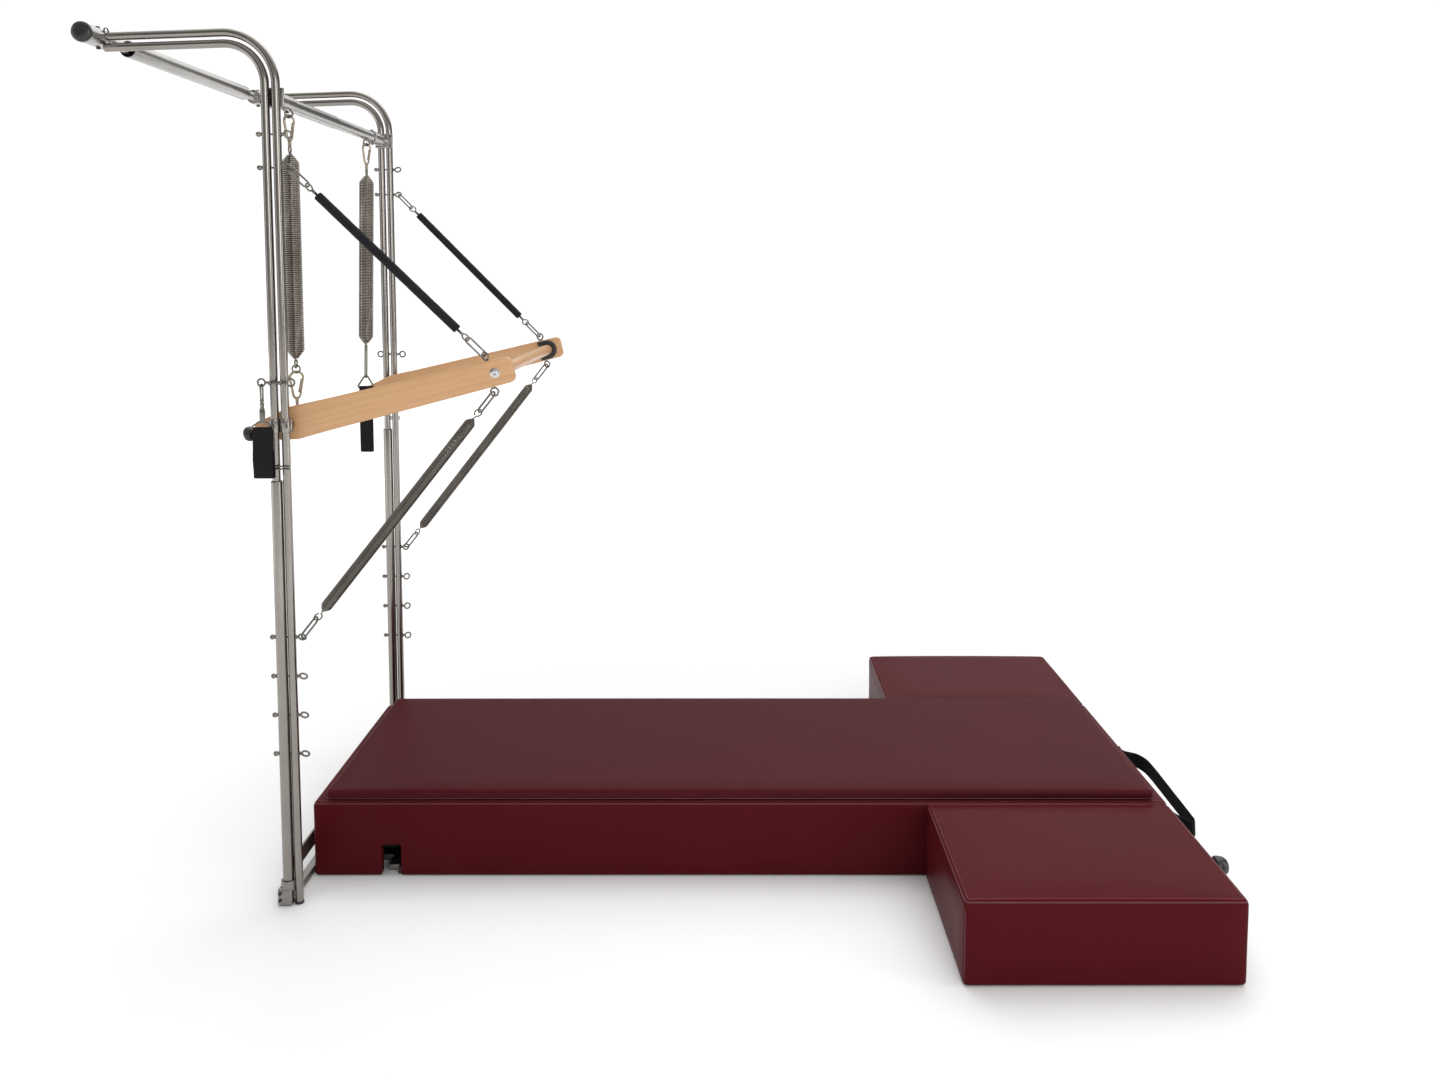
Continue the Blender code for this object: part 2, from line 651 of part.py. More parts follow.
def board_outline():
    """Returns an arm board's outline as (along, across) pairs from the pivot, with round corners."""
    tail, tip, corner = -BOARD_TAIL, BOARD_LENGTH, BOARD_CORNER
    points = []
    for centre_a, centre_b, start in ((tip - corner, BOARD_TIP_HALF - corner, 0.0),
                                      (tail + corner, BOARD_TAIL_HALF - corner, math.pi / 2),
                                      (tail + corner, -BOARD_TAIL_HALF + corner, math.pi),
                                      (tip - corner, -BOARD_TIP_HALF + corner, 1.5 * math.pi)):
        for step in range(4):
            angle = start + math.pi / 2 * step / 3
            points.append((centre_a + corner * math.cos(angle), centre_b + corner * math.sin(angle)))
        if start == 0.0:
            points.append((BOARD_ROOT_AT, BOARD_ROOT_HALF))
        if start == math.pi:
            points.append((BOARD_ROOT_AT, -BOARD_ROOT_HALF))
    return points


def build_board(word, side):
    """Makes an arm board, drilled for its pivot pin, its handle bolt and its eye rod."""
    origin = PIVOT + Y_AXIS * (side * BOARD_IN)
    board = slab(word + "_arm_board", board_outline(), origin, ALONG, ACROSS,
                 Y_AXIS * (side * BOARD_THICK))
    outside = side * (BOARD_OUT + 0.01)
    inside = side * (BOARD_IN - 0.01)
    for along, radius in ((0.0, PIN_R), (DOWEL_AT, BOLT_R)):
        hole = (radius + GAP) / math.cos(math.pi / SLIM)
        middle = PIVOT + ALONG * along
        drill = rod("drill", middle + Y_AXIS * inside, middle + Y_AXIS * outside, hole)
        combine(board, drill, "DIFFERENCE")
    middle = PIVOT + ALONG * EYE_ROD_AT + Y_AXIS * (BOARD_MID * side)
    drill = rod("drill", middle - ACROSS * 0.06, middle + ACROSS * 0.06, EYE_WIRE + BORE_GAP, 8)
    combine(board, drill, "DIFFERENCE")
    finish(board, "maple", pivot=PIVOT)


def build_board_eyes(word, side):
    """Makes the rod through an arm board with an eye above it and one below it."""
    points = []
    for vertical, kind in ((1, "upper"), (-1, "lower")):
        centre = eye_centre(side, vertical)
        crossing = link_facing(run_frame(kind, side)[1], side)
        facing = (crossing - ACROSS * crossing.dot(ACROSS)).normalized()
        sideways = ACROSS.cross(facing).normalized()
        ring = arc(centre, ACROSS * (-vertical * BOARD_EYE_R), sideways * BOARD_EYE_R, 0.0,
                   math.radians(300.0), 11)
        points = ring[::-1] if vertical == 1 else points + ring
    finish(tube(word + "_board_eyes", points, EYE_WIRE), "satin_steel", pivot=PIVOT)


def build_pivot_collar(word, side):
    """Makes the collar clamped on an upright pair, with the pin that the bar turns on."""
    inner = side * (BOARD_OUT + GAP)
    outer = side * (FRAME_HALF + TUBE_R + COLLAR_OUT)
    ends = sorted((inner, outer))
    half_x, half_z = COLLAR_HALF
    collar = block(word + "_pivot_collar", (-half_x, ends[0], PIVOT_Z - half_z),
                   (half_x, ends[1], PIVOT_Z + half_z), bevel=0.003, segments=1)
    for place in (-1, 1):
        x, y = tube_centre(side, place)
        hole = (TUBE_R + GAP) / math.cos(math.pi / ROUND)
        drill = turned("drill", [(-0.03, hole), (0.03, hole)], (x, y, PIVOT_Z), Z_AXIS, ROUND)
        combine(collar, drill, "DIFFERENCE")
    stop = side * (BOARD_IN - PIN_INTO_DOWEL)
    root = side * (BOARD_OUT + 0.006)
    pin = rod("pin", (PIVOT_X, root, PIVOT_Z), (PIVOT_X, stop, PIVOT_Z), PIN_R)
    combine(collar, pin, "UNION")
    finish(collar, "satin_steel")


def build_dowels():
    """Makes the handle dowel and the rear dowel between the arm boards, drilled at their ends."""
    half = BOARD_IN - GAP
    for name, along, radius, hole_r, depth in (
            ("handle_dowel", DOWEL_AT, DOWEL_R, BOLT_R, BOLT_INTO_DOWEL),
            ("rear_dowel", 0.0, REAR_DOWEL_R, PIN_R, PIN_INTO_DOWEL)):
        middle = PIVOT + ALONG * along
        dowel = turned(name, [(-half, radius), (half, radius)], middle)
        hole = (hole_r + GAP) / math.cos(math.pi / SLIM)
        for side in (-1, 1):
            start = middle + Y_AXIS * (side * (half + 0.01))
            end = middle + Y_AXIS * (side * (BOARD_IN - depth - 2 * GAP))
            combine(dowel, rod("drill", start, end, hole), "DIFFERENCE")
        finish(dowel, "maple", pivot=PIVOT)


def build_handle_fittings():
    """Makes the near handle bolt with its washer, the far rubber pad and the tail knob."""
    head_r, head_h = BOLT_HEAD
    washer_r, washer_t = WASHER
    seat = BOARD_OUT + GAP
    shank = seat - (BOARD_IN - BOLT_INTO_DOWEL)
    profile = [(-shank, BOLT_R), (0.0, BOLT_R), (0.0, washer_r), (washer_t, washer_r),
               (washer_t, head_r), (washer_t + head_h * 0.5, head_r),
               (washer_t + head_h, head_r * 0.55)]
    middle = PIVOT + ALONG * DOWEL_AT
    bolt = turned("near_handle_bolt", profile, middle - Y_AXIS * seat, -Y_AXIS, SLIM)
    finish(bolt, "polished_steel", pivot=PIVOT)
    outline = [(-0.026, PAD_R)] + [(PAD_R * math.sin(math.pi * step / 8), PAD_R * math.cos(math.pi * step / 8))
                                   for step in range(9)] + [(-0.026, -PAD_R)]
    hole = DOWEL_R + 2 * GAP
    outline += [(-0.026, -hole)] + [(hole * math.sin(math.pi * step / 8), -hole * math.cos(math.pi * step / 8))
                                    for step in range(9)] + [(-0.026, hole)]
    face = BOARD_IN - GAP
    pad = slab("far_handle_pad", outline, middle + Y_AXIS * face, ALONG, ACROSS,
               Y_AXIS * -PAD_THICK)
    finish(pad, "black_rubber", pivot=PIVOT)
    tail = PIVOT - ALONG * (BOARD_TAIL + GAP) - Y_AXIS * BOARD_MID
    knob = [(0.0, KNOB_NECK), (0.004, KNOB_NECK), (0.010, KNOB_R * 0.80), (0.020, KNOB_R),
            (0.029, KNOB_R * 0.86), (0.034, KNOB_R * 0.50)]
    finish(turned("tail_knob", knob, tail, -ALONG), "black_rubber", pivot=PIVOT)


def build_push_bar():
    """Makes the wooden push-through bar and the collars that it turns on."""
    for side, word in ((-1, "near"), (1, "far")):
        build_board(word, side)
        build_board_eyes(word, side)
        build_pivot_collar(word, side)
    build_dowels()
    build_handle_fittings()


def build_links(word, side, kind):
    """Makes the two links of a run, one through each eye."""
    start, direction, length = run_frame(kind, side)
    across = link_facing(direction, side)
    for name, at, pivot in (("eye_link", EYE_SEAT[kind] + LINK_LENGTH / 2, start),
                            ("bar_link", length - BAR_SEAT - LINK_LENGTH / 2, start)):
        centre = start + direction * at
        points = loop_points(centre, direction, across, LINK_HALF, LINK_LENGTH)
        made = tube(f"{word}_{kind}_{name}", points, LINK_WIRE, cyclic=True)
        finish(made, "satin_steel", pivot=pivot)


def build_lower_spring(word, side):
    """Makes a lower spring: one unbroken wire with a hook at each end."""
    start, direction, length = run_frame("lower", side)
    across = hook_facing(direction, side)
    first, last = hook_centres("lower", start, direction, length)
    body = (last - first).length
    points = spring_points(first, last, direction, across, LOWER_COIL_R, LOWER_TURNS,
                           HOOK_R + 0.012, body - HOOK_R - 0.012, HOOK_R)
    print(word, "lower spring: least gap to itself", round(least_gap(points, LOWER_WIRE) * 1000, 2), "mm")
    finish(tube(word + "_lower_spring", points, LOWER_WIRE), "spring_steel", pivot=start)


def build_upper_cord(word, side):
    """Makes an upper sprung cord in its sleeve, with a wire eye at each end."""
    start, direction, length = run_frame("upper", side)
    across = hook_facing(direction, side)
    first, last = hook_centres("upper", start, direction, length)
    body = (last - first).length
    points = arc(first, direction * HOOK_R, across * HOOK_R, math.radians(50.0), math.radians(345.0), 9)
    radii = [1.0] * len(points)
    thick = CORD_R / CORD_NECK_R
    for along, factor in ((HOOK_R + 0.004, 1.0), (HOOK_R + 0.012, 1.0),
                          (HOOK_R + 0.012 + CORD_TAPER, thick), (body * 0.5, thick),
                          (body - HOOK_R - 0.012 - CORD_TAPER, thick), (body - HOOK_R - 0.012, 1.0),
                          (body - HOOK_R - 0.004, 1.0)):
        points.append(first + direction * along)
        radii.append(factor)
    tail = arc(last, direction * -HOOK_R, across * -HOOK_R, math.radians(15.0), math.radians(310.0), 9)
    points += tail
    radii += [1.0] * len(tail)
    finish(tube(word + "_upper_cord", points, CORD_NECK_R, resolution=2, radii=radii),
           "black_webbing", pivot=start)


def lower_eye(centre):
    """Returns the open triangle at a hanging spring's lower end, with a straight bar for a strap."""
    corners = [(0.004, 0.016), (HANG_EYE_HALF, -0.012), (HANG_EYE_HALF, -HANG_EYE_DROP),
               (-HANG_EYE_HALF, -HANG_EYE_DROP), (-HANG_EYE_HALF, -0.012), (-0.008, 0.013)]
    return [centre + Vector((across, 0.0, up)) for across, up in corners]


def far_strap_x():
    """Returns the middle of the far hand loop, whose edge rests against the rear dowel."""
    return PIVOT_X - REAR_DOWEL_R - GAP - FAR_STRAP_WIDTH / 2


def build_hanging_spring(word, y, foot_x):
    """Makes a spring that hangs from the rear crossbar: its hooks and coil are one wire.

    foot_x is where the bar of its lower eye lies, so the spring leans where that isn't plumb.
    """
    top = Vector((HANG_X, y, HANG_Z))
    x_axis = Vector((1.0, 0.0, 0.0))
    first = Vector((HANG_X, y, HANG_Z - HANG_LOOP_TOP / 2))
    reach = HANG_LOOP_TOP / 2
    points = [first - Z_AXIS * (reach - HOOK_R) + Y_AXIS * HOOK_R]
    points += arc(first, Y_AXIS * HOOK_R, Z_AXIS * reach, 0.0, math.pi, 8)
    points.append(first - Z_AXIS * (reach - HOOK_R) - Y_AXIS * HOOK_R)
    points.append(Vector((HANG_X, y, HANG_Z - HANG_LOOP_TOP - HOOK_R)))
    high, low = HANG_BODY
    points.append(Vector((HANG_X, y, high + 0.012)))
    steps = HANG_TURNS * POINTS_PER_TURN
    for step in range(steps + 1):
        height = high + (low - high) * step / steps
        grown = min(1.0, 0.15 + min(high - height, height - low) / HANG_TAPER)
        angle = 2 * math.pi * HANG_TURNS * step / steps
        out = x_axis * math.cos(angle) + Y_AXIS * math.sin(angle)
        points.append(Vector((HANG_X, y, height)) + out * (HANG_COIL_R * grown))
    points.append(Vector((HANG_X, y, low - 0.012)))
    points.append(Vector((HANG_X, y, HANG_LOWER_LOOP + 0.030)))
    points += lower_eye(Vector((HANG_X, y, HANG_LOWER_LOOP)))
    lean = math.asin((HANG_X - foot_x) / (HANG_Z - HANG_LOWER_LOOP + HANG_EYE_DROP))
    turn = Matrix.Rotation(lean, 3, "Y")
    points = [top + turn @ (point - top) for point in points]
    print(word, "hanging spring: least gap to itself", round(least_gap(points, HANG_WIRE) * 1000, 2), "mm")
    finish(tube(word + "_hanging_spring", points, HANG_WIRE), "spring_steel", pivot=top)


def strap_loop(name, centre_x, centre_y, top, bottom, width, half_gap, pivot):
    """Makes a flat webbing loop: a thin closed band, wide along X, hung over a bar."""
    rounds = 6
    outer, inner = [], []
    for half, points in ((half_gap + STRAP_THICK, outer), (half_gap, inner)):
        for middle, start in ((top, 0.0), (bottom, math.pi)):
            for step in range(rounds + 1):
                angle = start + math.pi * step / rounds
                points.append((half * math.cos(angle), middle + half * math.sin(angle)))
    work = bmesh.new()
    rows = []
    for x in (centre_x - width / 2, centre_x + width / 2):
        rows.append([[work.verts.new((x, centre_y + a, b)) for a, b in points]
                     for points in (outer, inner)])
    count = len(outer)
    for index in range(count):
        after = (index + 1) % count
        (left_out, left_in), (right_out, right_in) = rows
        for one, two in ((left_out, right_out), (right_in, left_in), (left_in, left_out),
                         (right_out, right_in)):
            work.faces.new((one[index], one[after], two[after], two[index]))
    bmesh.ops.recalc_face_normals(work, faces=work.faces)
    mesh = bpy.data.meshes.new(name)
    work.to_mesh(mesh)
    work.free()
    return finish(link(name, mesh), "black_webbing", pivot=pivot)


def build_hand_loops():
    """Makes the near hand loop on its hook, and the far one under its spring."""
    front = -(FRAME_HALF + TUBE_R + MID_EYE_STANDOFF)
    x = -MID_EYE_REACH
    pivot = Vector((x, front, MID_EYE_Z))
    seat = EYE_R - EYE_WIRE - HOOK_WIRE - GAP
    half, length = HOOK_RING
    ring = loop_points(pivot - Z_AXIS * (seat + length / 2), Z_AXIS, Y_AXIS, half, length, 5)
    hook = tube("near_loop_hook", ring, HOOK_WIRE, cyclic=True)
    low = NEAR_STRAP_Z[0]
    barrel_top = MID_EYE_Z - seat - length + HOOK_WIRE
    barrel = rod("barrel", (x, front, barrel_top), (x, front, low + 0.040), HOOK_BARREL_R, 8)
    combine(hook, barrel, "UNION")
    triangle = [Vector((x - 0.003, front, low + 0.042)), Vector((x - HOOK_BAR_HALF, front, low + 0.006)),
                Vector((x - HOOK_BAR_HALF, front, low)), Vector((x + HOOK_BAR_HALF, front, low)),
                Vector((x + HOOK_BAR_HALF, front, low + 0.006)), Vector((x + 0.003, front, low + 0.042))]
    combine(hook, tube("triangle", triangle, HOOK_WIRE, cyclic=True), "UNION")
    finish(hook, "satin_steel", pivot=pivot)
    strap_loop("near_hand_loop", x, front, low, NEAR_STRAP_Z[1], STRAP_WIDTH, STRAP_HALF_GAP, pivot)
    x = far_strap_x()
    reach = HANG_Z - HANG_LOWER_LOOP + HANG_EYE_DROP
    top = HANG_Z - math.sqrt(reach ** 2 - (HANG_X - x) ** 2)
    strap_loop("far_hand_loop", x, HANG_FAR, top, FAR_STRAP_Z, FAR_STRAP_WIDTH,
               HANG_WIRE + STRAP_SLACK, (x, HANG_FAR, top))


def cushion(name, low, high, crown, rows, draw):
    """Makes an upholstered block: flat base, sides that pull in, and a crowned top.

    rows gives the number of cells along X and Y of the top.
    """
    low, high = Vector(low), Vector(high)
    work = bmesh.new()
    count_x, count_y = rows
    edge = 0.010
    heights = [0.0, 0.35, 0.7, 1.0]
    total = high.z - low.z

    def border(inset, z):
        """Returns one closed row of points around the block, a cell apart."""
        x_low, x_high = low.x + inset, high.x - inset
        y_low, y_high = low.y + inset, high.y - inset
        points = []
        for step in range(count_x):
            points.append((x_low + (x_high - x_low) * step / count_x, y_low))
        for step in range(count_y):
            points.append((x_high, y_low + (y_high - y_low) * step / count_y))
        for step in range(count_x):
            points.append((x_high - (x_high - x_low) * step / count_x, y_high))
        for step in range(count_y):
            points.append((x_low, y_high - (y_high - y_low) * step / count_y))
        return [work.verts.new((x, y, z)) for x, y in points]

    bands = [border(draw * math.sin(math.pi * share), low.z + (total - edge) * share)
             for share in heights]
    bands.append(border(edge * 0.3, high.z - edge * 0.3))
    for lower, upper in zip(bands, bands[1:]):
        for index in range(len(lower)):
            after = (index + 1) % len(lower)
            work.faces.new((lower[index], lower[after], upper[after], upper[index]))
    work.faces.new(bands[0])
    top_row = border(edge, high.z)
    for index in range(len(top_row)):
        after = (index + 1) % len(top_row)
        work.faces.new((bands[-1][index], bands[-1][after], top_row[after], top_row[index]))
    grid = {}
    for index, point in enumerate(top_row):
        grid[(round(point.co.x, 6), round(point.co.y, 6))] = point
    x_low, x_high = low.x + edge, high.x - edge
    y_low, y_high = low.y + edge, high.y - edge

    def top_point(column, row):
        """Returns the top's point in a column and row, making it inside the border."""
        x = x_low + (x_high - x_low) * column / count_x
        y = y_low + (y_high - y_low) * row / count_y
        key = (round(x, 6), round(y, 6))
        if key not in grid:
            share = math.sin(math.pi * column / count_x) * math.sin(math.pi * row / count_y)
            grid[key] = work.verts.new((x, y, high.z + crown * share ** 0.6))
        return grid[key]

    for column in range(count_x):
        for row in range(count_y):
            work.faces.new((top_point(column, row), top_point(column + 1, row),
                            top_point(column + 1, row + 1), top_point(column, row + 1)))
    bmesh.ops.recalc_face_normals(work, faces=work.faces)
    mesh = bpy.data.meshes.new(name)
    work.to_mesh(mesh)
    work.free()
    return link(name, mesh)


def build_mat():
    """Makes the hollow mat body over the floor frame, its pad, the two wings and the end fittings."""
    body = block("mat_body", (MAT_LEFT, -MAT_HALF, 0.0), (MAT_RIGHT, MAT_HALF, MAT_HEIGHT),
                 bevel=0.008)
    hollow = block("hollow", (MAT_LEFT + MAT_WALL, -MAT_HALF + MAT_WALL, -0.01),
                   (MAT_RIGHT - MAT_WALL, MAT_HALF - MAT_WALL, MAT_HEIGHT - MAT_TOP))
    combine(body, hollow, "DIFFERENCE")
    notch = block("notch", (NOTCH_X[0], -MAT_HALF - 0.01, -0.01),
                  (NOTCH_X[1], MAT_HALF + 0.01, NOTCH_HEIGHT))
    combine(body, notch, "DIFFERENCE")
    for side in (-1, 1):
        middle = side * SIDE_RAIL_Y
        half = SIDE_RAIL_WIDTH / 2 + GAP
        slot = block("slot", (MAT_LEFT - 0.01, middle - half, -0.01),
                     (MAT_LEFT + MAT_WALL + 0.01, middle + half, RAIL_HEIGHT + 0.006))
        combine(body, slot, "DIFFERENCE")
    finish(body, "burgundy_vinyl")
    base = MAT_HEIGHT + GAP
    pad = cushion("mat_pad", (MAT_LEFT + PAD_INSET[0], -MAT_HALF + PAD_INSET[1], base),
                  (MAT_RIGHT - PAD_INSET[0], MAT_HALF - PAD_INSET[1], base + MAT_PAD_THICK),
                  MAT_PAD_CROWN, (14, 5), 0.002)
    finish(pad, "burgundy_vinyl")
    for side, word in ((-1, "near"), (1, "far")):
        ends = sorted((side * (MAT_HALF + GAP), side * (MAT_HALF + WING_DEPTH)))
        wing = cushion(word + "_wing", (MAT_RIGHT - WING_LENGTH, ends[0], 0.0),
                       (MAT_RIGHT, ends[1], WING_HEIGHT), WING_CROWN, (7, 5), SIDE_DRAW)
        finish(wing, "burgundy_vinyl")
    build_end_fittings()


def build_end_fittings():
    """Makes the carrying strap and the black knob on the mat's right end."""
    face = MAT_RIGHT + GAP
    half = FOOT_STRAP_THICK / 2
    middle = [Vector((face + half + share * FOOT_STRAP_BULGE, y)) for share, y in FOOT_STRAP_PATH]
    outer, inner = [], []
    for index, spot in enumerate(middle):
        into = (spot - middle[index - 1]).normalized() if index else Vector((0.0, -1.0))
        onward = (middle[index + 1] - spot).normalized() if index + 1 < len(middle) else Vector((0.0, 1.0))
        run = (into + onward).normalized()
        side = Vector((run.y, -run.x)) * (half / max(run.dot(onward), 0.6))
        outer.append(tuple(spot + side))
        inner.append(tuple(spot - side))
    outer[1] = (face, middle[1].y)
    outer[-2] = (face + FOOT_STRAP_THICK, middle[-2].y)
    inner[-2] = (face, middle[-2].y)
    y_low, y_high = min(y for _, y in FOOT_STRAP_PATH), FOOT_STRAP_PATH[-1][1]
    origin = (0.0, 0.0, FOOT_STRAP_Z - FOOT_STRAP_WIDTH / 2)
    strap = slab("carry_strap", outer + inner[::-1], origin, Vector((1.0, 0.0, 0.0)), Y_AXIS,
                 Z_AXIS * FOOT_STRAP_WIDTH)
    for corner in strap.data.vertices:
        share = (corner.co.y - y_low) / (y_high - y_low)
        corner.co.z += FOOT_STRAP_RISE * (share - 0.5)
    finish(strap, "black_webbing")
    length, radius = END_KNOB
    knob = turned("end_knob", [(0.0, radius * 0.6), (length * 0.3, radius * 0.6),
                               (length * 0.4, radius), (length * 0.8, radius * 0.9),
                               (length, radius * 0.5)],
                  (face - END_KNOB_SINK, END_KNOB_Y, END_KNOB_Z), Vector((1.0, 0.0, 0.0)), SLIM)
    finish(knob, "black_rubber")


def main():
    """Builds every piece of the suspension frame."""
    clear_scene()
    origin = bpy.data.objects.new("floor_origin", None)
    origin.location = (-ORIGIN_X, 0.0, 0.0)
    bpy.context.scene.collection.objects.link(origin)
    build_tower()
    build_front_bar()
    build_rear_bar()
    build_floor_frame()
    build_push_bar()
    for side, word in ((-1, "near"), (1, "far")):
        for kind in ("lower", "upper"):
            build_links(word, side, kind)
        build_lower_spring(word, side)
        build_upper_cord(word, side)
    build_hanging_spring("near", HANG_NEAR, HANG_X)
    build_hanging_spring("far", HANG_FAR, far_strap_x())
    build_hand_loops()
    build_mat()


main()
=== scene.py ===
"""Studio picture of a pilates suspension frame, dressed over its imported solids.

Metres, +Z up. A builder works in the tower's own numbers, where x = 0 is the middle of each pair
of upright tubes; Rig.shift moves every mesh to the frame's origin when it is made.
"""
import logging
import math
import sys
from dataclasses import dataclass, field
from enum import Enum
from typing import Callable, Iterable, Optional, Sequence, Union

import bmesh
import bpy
from mathutils import Matrix, Vector
from mathutils.bvhtree import BVHTree

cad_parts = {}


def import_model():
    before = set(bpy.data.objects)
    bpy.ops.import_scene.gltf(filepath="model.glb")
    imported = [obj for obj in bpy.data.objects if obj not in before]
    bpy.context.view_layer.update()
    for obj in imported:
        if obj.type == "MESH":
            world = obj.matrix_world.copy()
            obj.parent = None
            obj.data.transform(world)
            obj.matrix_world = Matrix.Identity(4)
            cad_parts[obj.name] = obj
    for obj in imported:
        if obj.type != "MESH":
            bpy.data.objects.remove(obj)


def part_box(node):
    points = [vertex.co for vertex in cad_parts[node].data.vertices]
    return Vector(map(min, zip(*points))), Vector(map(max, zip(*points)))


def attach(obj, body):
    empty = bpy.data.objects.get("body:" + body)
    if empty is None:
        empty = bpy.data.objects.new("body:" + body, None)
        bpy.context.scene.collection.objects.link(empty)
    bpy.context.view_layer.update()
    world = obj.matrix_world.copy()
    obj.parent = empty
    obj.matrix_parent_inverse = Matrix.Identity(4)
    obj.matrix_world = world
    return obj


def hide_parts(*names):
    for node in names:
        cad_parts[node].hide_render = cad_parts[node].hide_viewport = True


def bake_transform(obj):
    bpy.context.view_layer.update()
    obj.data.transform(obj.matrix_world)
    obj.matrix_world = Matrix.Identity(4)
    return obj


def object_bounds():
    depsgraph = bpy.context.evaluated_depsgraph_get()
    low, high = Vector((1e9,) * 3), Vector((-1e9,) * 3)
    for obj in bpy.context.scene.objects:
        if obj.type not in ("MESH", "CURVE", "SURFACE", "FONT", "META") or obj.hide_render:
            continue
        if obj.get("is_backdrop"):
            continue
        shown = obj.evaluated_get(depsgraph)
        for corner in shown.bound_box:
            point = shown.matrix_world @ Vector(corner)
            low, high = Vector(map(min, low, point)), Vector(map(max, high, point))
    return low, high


LOG = logging.getLogger("suspension_frame")
X_AXIS = Vector((1.0, 0.0, 0.0))
Y_AXIS = Vector((0.0, 1.0, 0.0))
Z_AXIS = Vector((0.0, 0.0, 1.0))
FRAME_HALF = 0.4632
TUBE_R = 0.01
TUBE_PITCH = 0.026
GAP = 0.0003
FRONT_X = -0.408
EYE_WIRE = 0.0025
BOARD_INSET = 0.0492
BOARD_THICK = 0.022
PIVOT = (0.013, 1.222)
NOTCH_X = (0.185, 0.237)
RUNNER_Y = 0.24
HANGER_Y = (-0.35, 0.27)
FAR_FOOT_X = -0.0203
SHARP = 38.0
Mesh = bpy.types.Mesh
Pairs = Sequence[tuple[float, float]]
Number = Union[int, float]
Point = Union[Vector, Sequence[float]]


class Side(Enum):
    """The two sides of the frame, with the sign of their Y."""

    NEAR = -1
    FAR = 1

    @property
    def word(self) -> str:
        """The side's name at the front of its pieces' names."""
        return self.name.lower()

    @property
    def sign(self) -> int:
        """The sign of the side's Y."""
        return self.value


class Run(Enum):
    """The two kinds of sprung run between an upright pair and the wooden bar."""

    LOWER = "lower"
    UPPER = "upper"


class Slot(Enum):
    """The record's material slots."""

    POLISHED = "polished_steel"
    SATIN = "satin_steel"
    SPRING = "spring_steel"
    MAPLE = "maple"
    RUBBER = "black_rubber"
    WEBBING = "black_webbing"
    VINYL = "burgundy_vinyl"


def placed(name: str, data: bpy.types.ID) -> bpy.types.Object:
    """Makes an object of a mesh, a lamp or a camera and links it to the scene.

    Args:
        name: The object's name.
        data: Its mesh, lamp or camera.

    Returns:
        The object.
    """
    made = bpy.data.objects.new(name, data)
    bpy.context.scene.collection.objects.link(made)
    return made


def applied(piece: bpy.types.Object) -> Mesh:
    """Returns an object's mesh with its modifiers applied."""
    graph = bpy.context.evaluated_depsgraph_get()
    return bpy.data.meshes.new_from_object(piece.evaluated_get(graph))


def operator(operation: str, swap: bool = False) -> Callable[["Socket", "Value"], "Socket"]:
    """Returns a method that adds one Math node; swap puts the other value first."""
    return lambda socket, other: socket.combined(operation, other, swap)


class Socket:
    """A shader socket that takes part in Python arithmetic."""

    __add__, __radd__ = operator("ADD"), operator("ADD", True)
    __sub__, __rsub__ = operator("SUBTRACT"), operator("SUBTRACT", True)
    __mul__, __rmul__ = operator("MULTIPLY"), operator("MULTIPLY", True)
    __truediv__ = operator("DIVIDE")

    def __init__(self, graph: "Graph", socket: bpy.types.NodeSocket) -> None:
        """Keeps the socket and the graph that it belongs to."""
        self.graph = graph
        self.socket = socket

    def combined(self, operation: str, other: "Value", swap: bool = False) -> "Socket":
        """Adds one Math node.

        Args:
            operation: The Math node's operation.
            other: The other number or socket.
            swap: True puts the other value first.

        Returns:
            The node's result.
        """
        pair = (other, self) if swap else (self, other)
        return self.graph.node("ShaderNodeMath", {"operation": operation}, {0: pair[0], 1: pair[1]})

    def sine(self) -> "Socket":
        """Takes the sine."""
        return self.combined("SINE", 0.0)

    def clamped(self) -> "Socket":
        """Limits the value to 0 and 1."""
        return self.graph.node("ShaderNodeClamp", {}, {"Value": self})


Value = Union[Socket, Number, Sequence[float]]


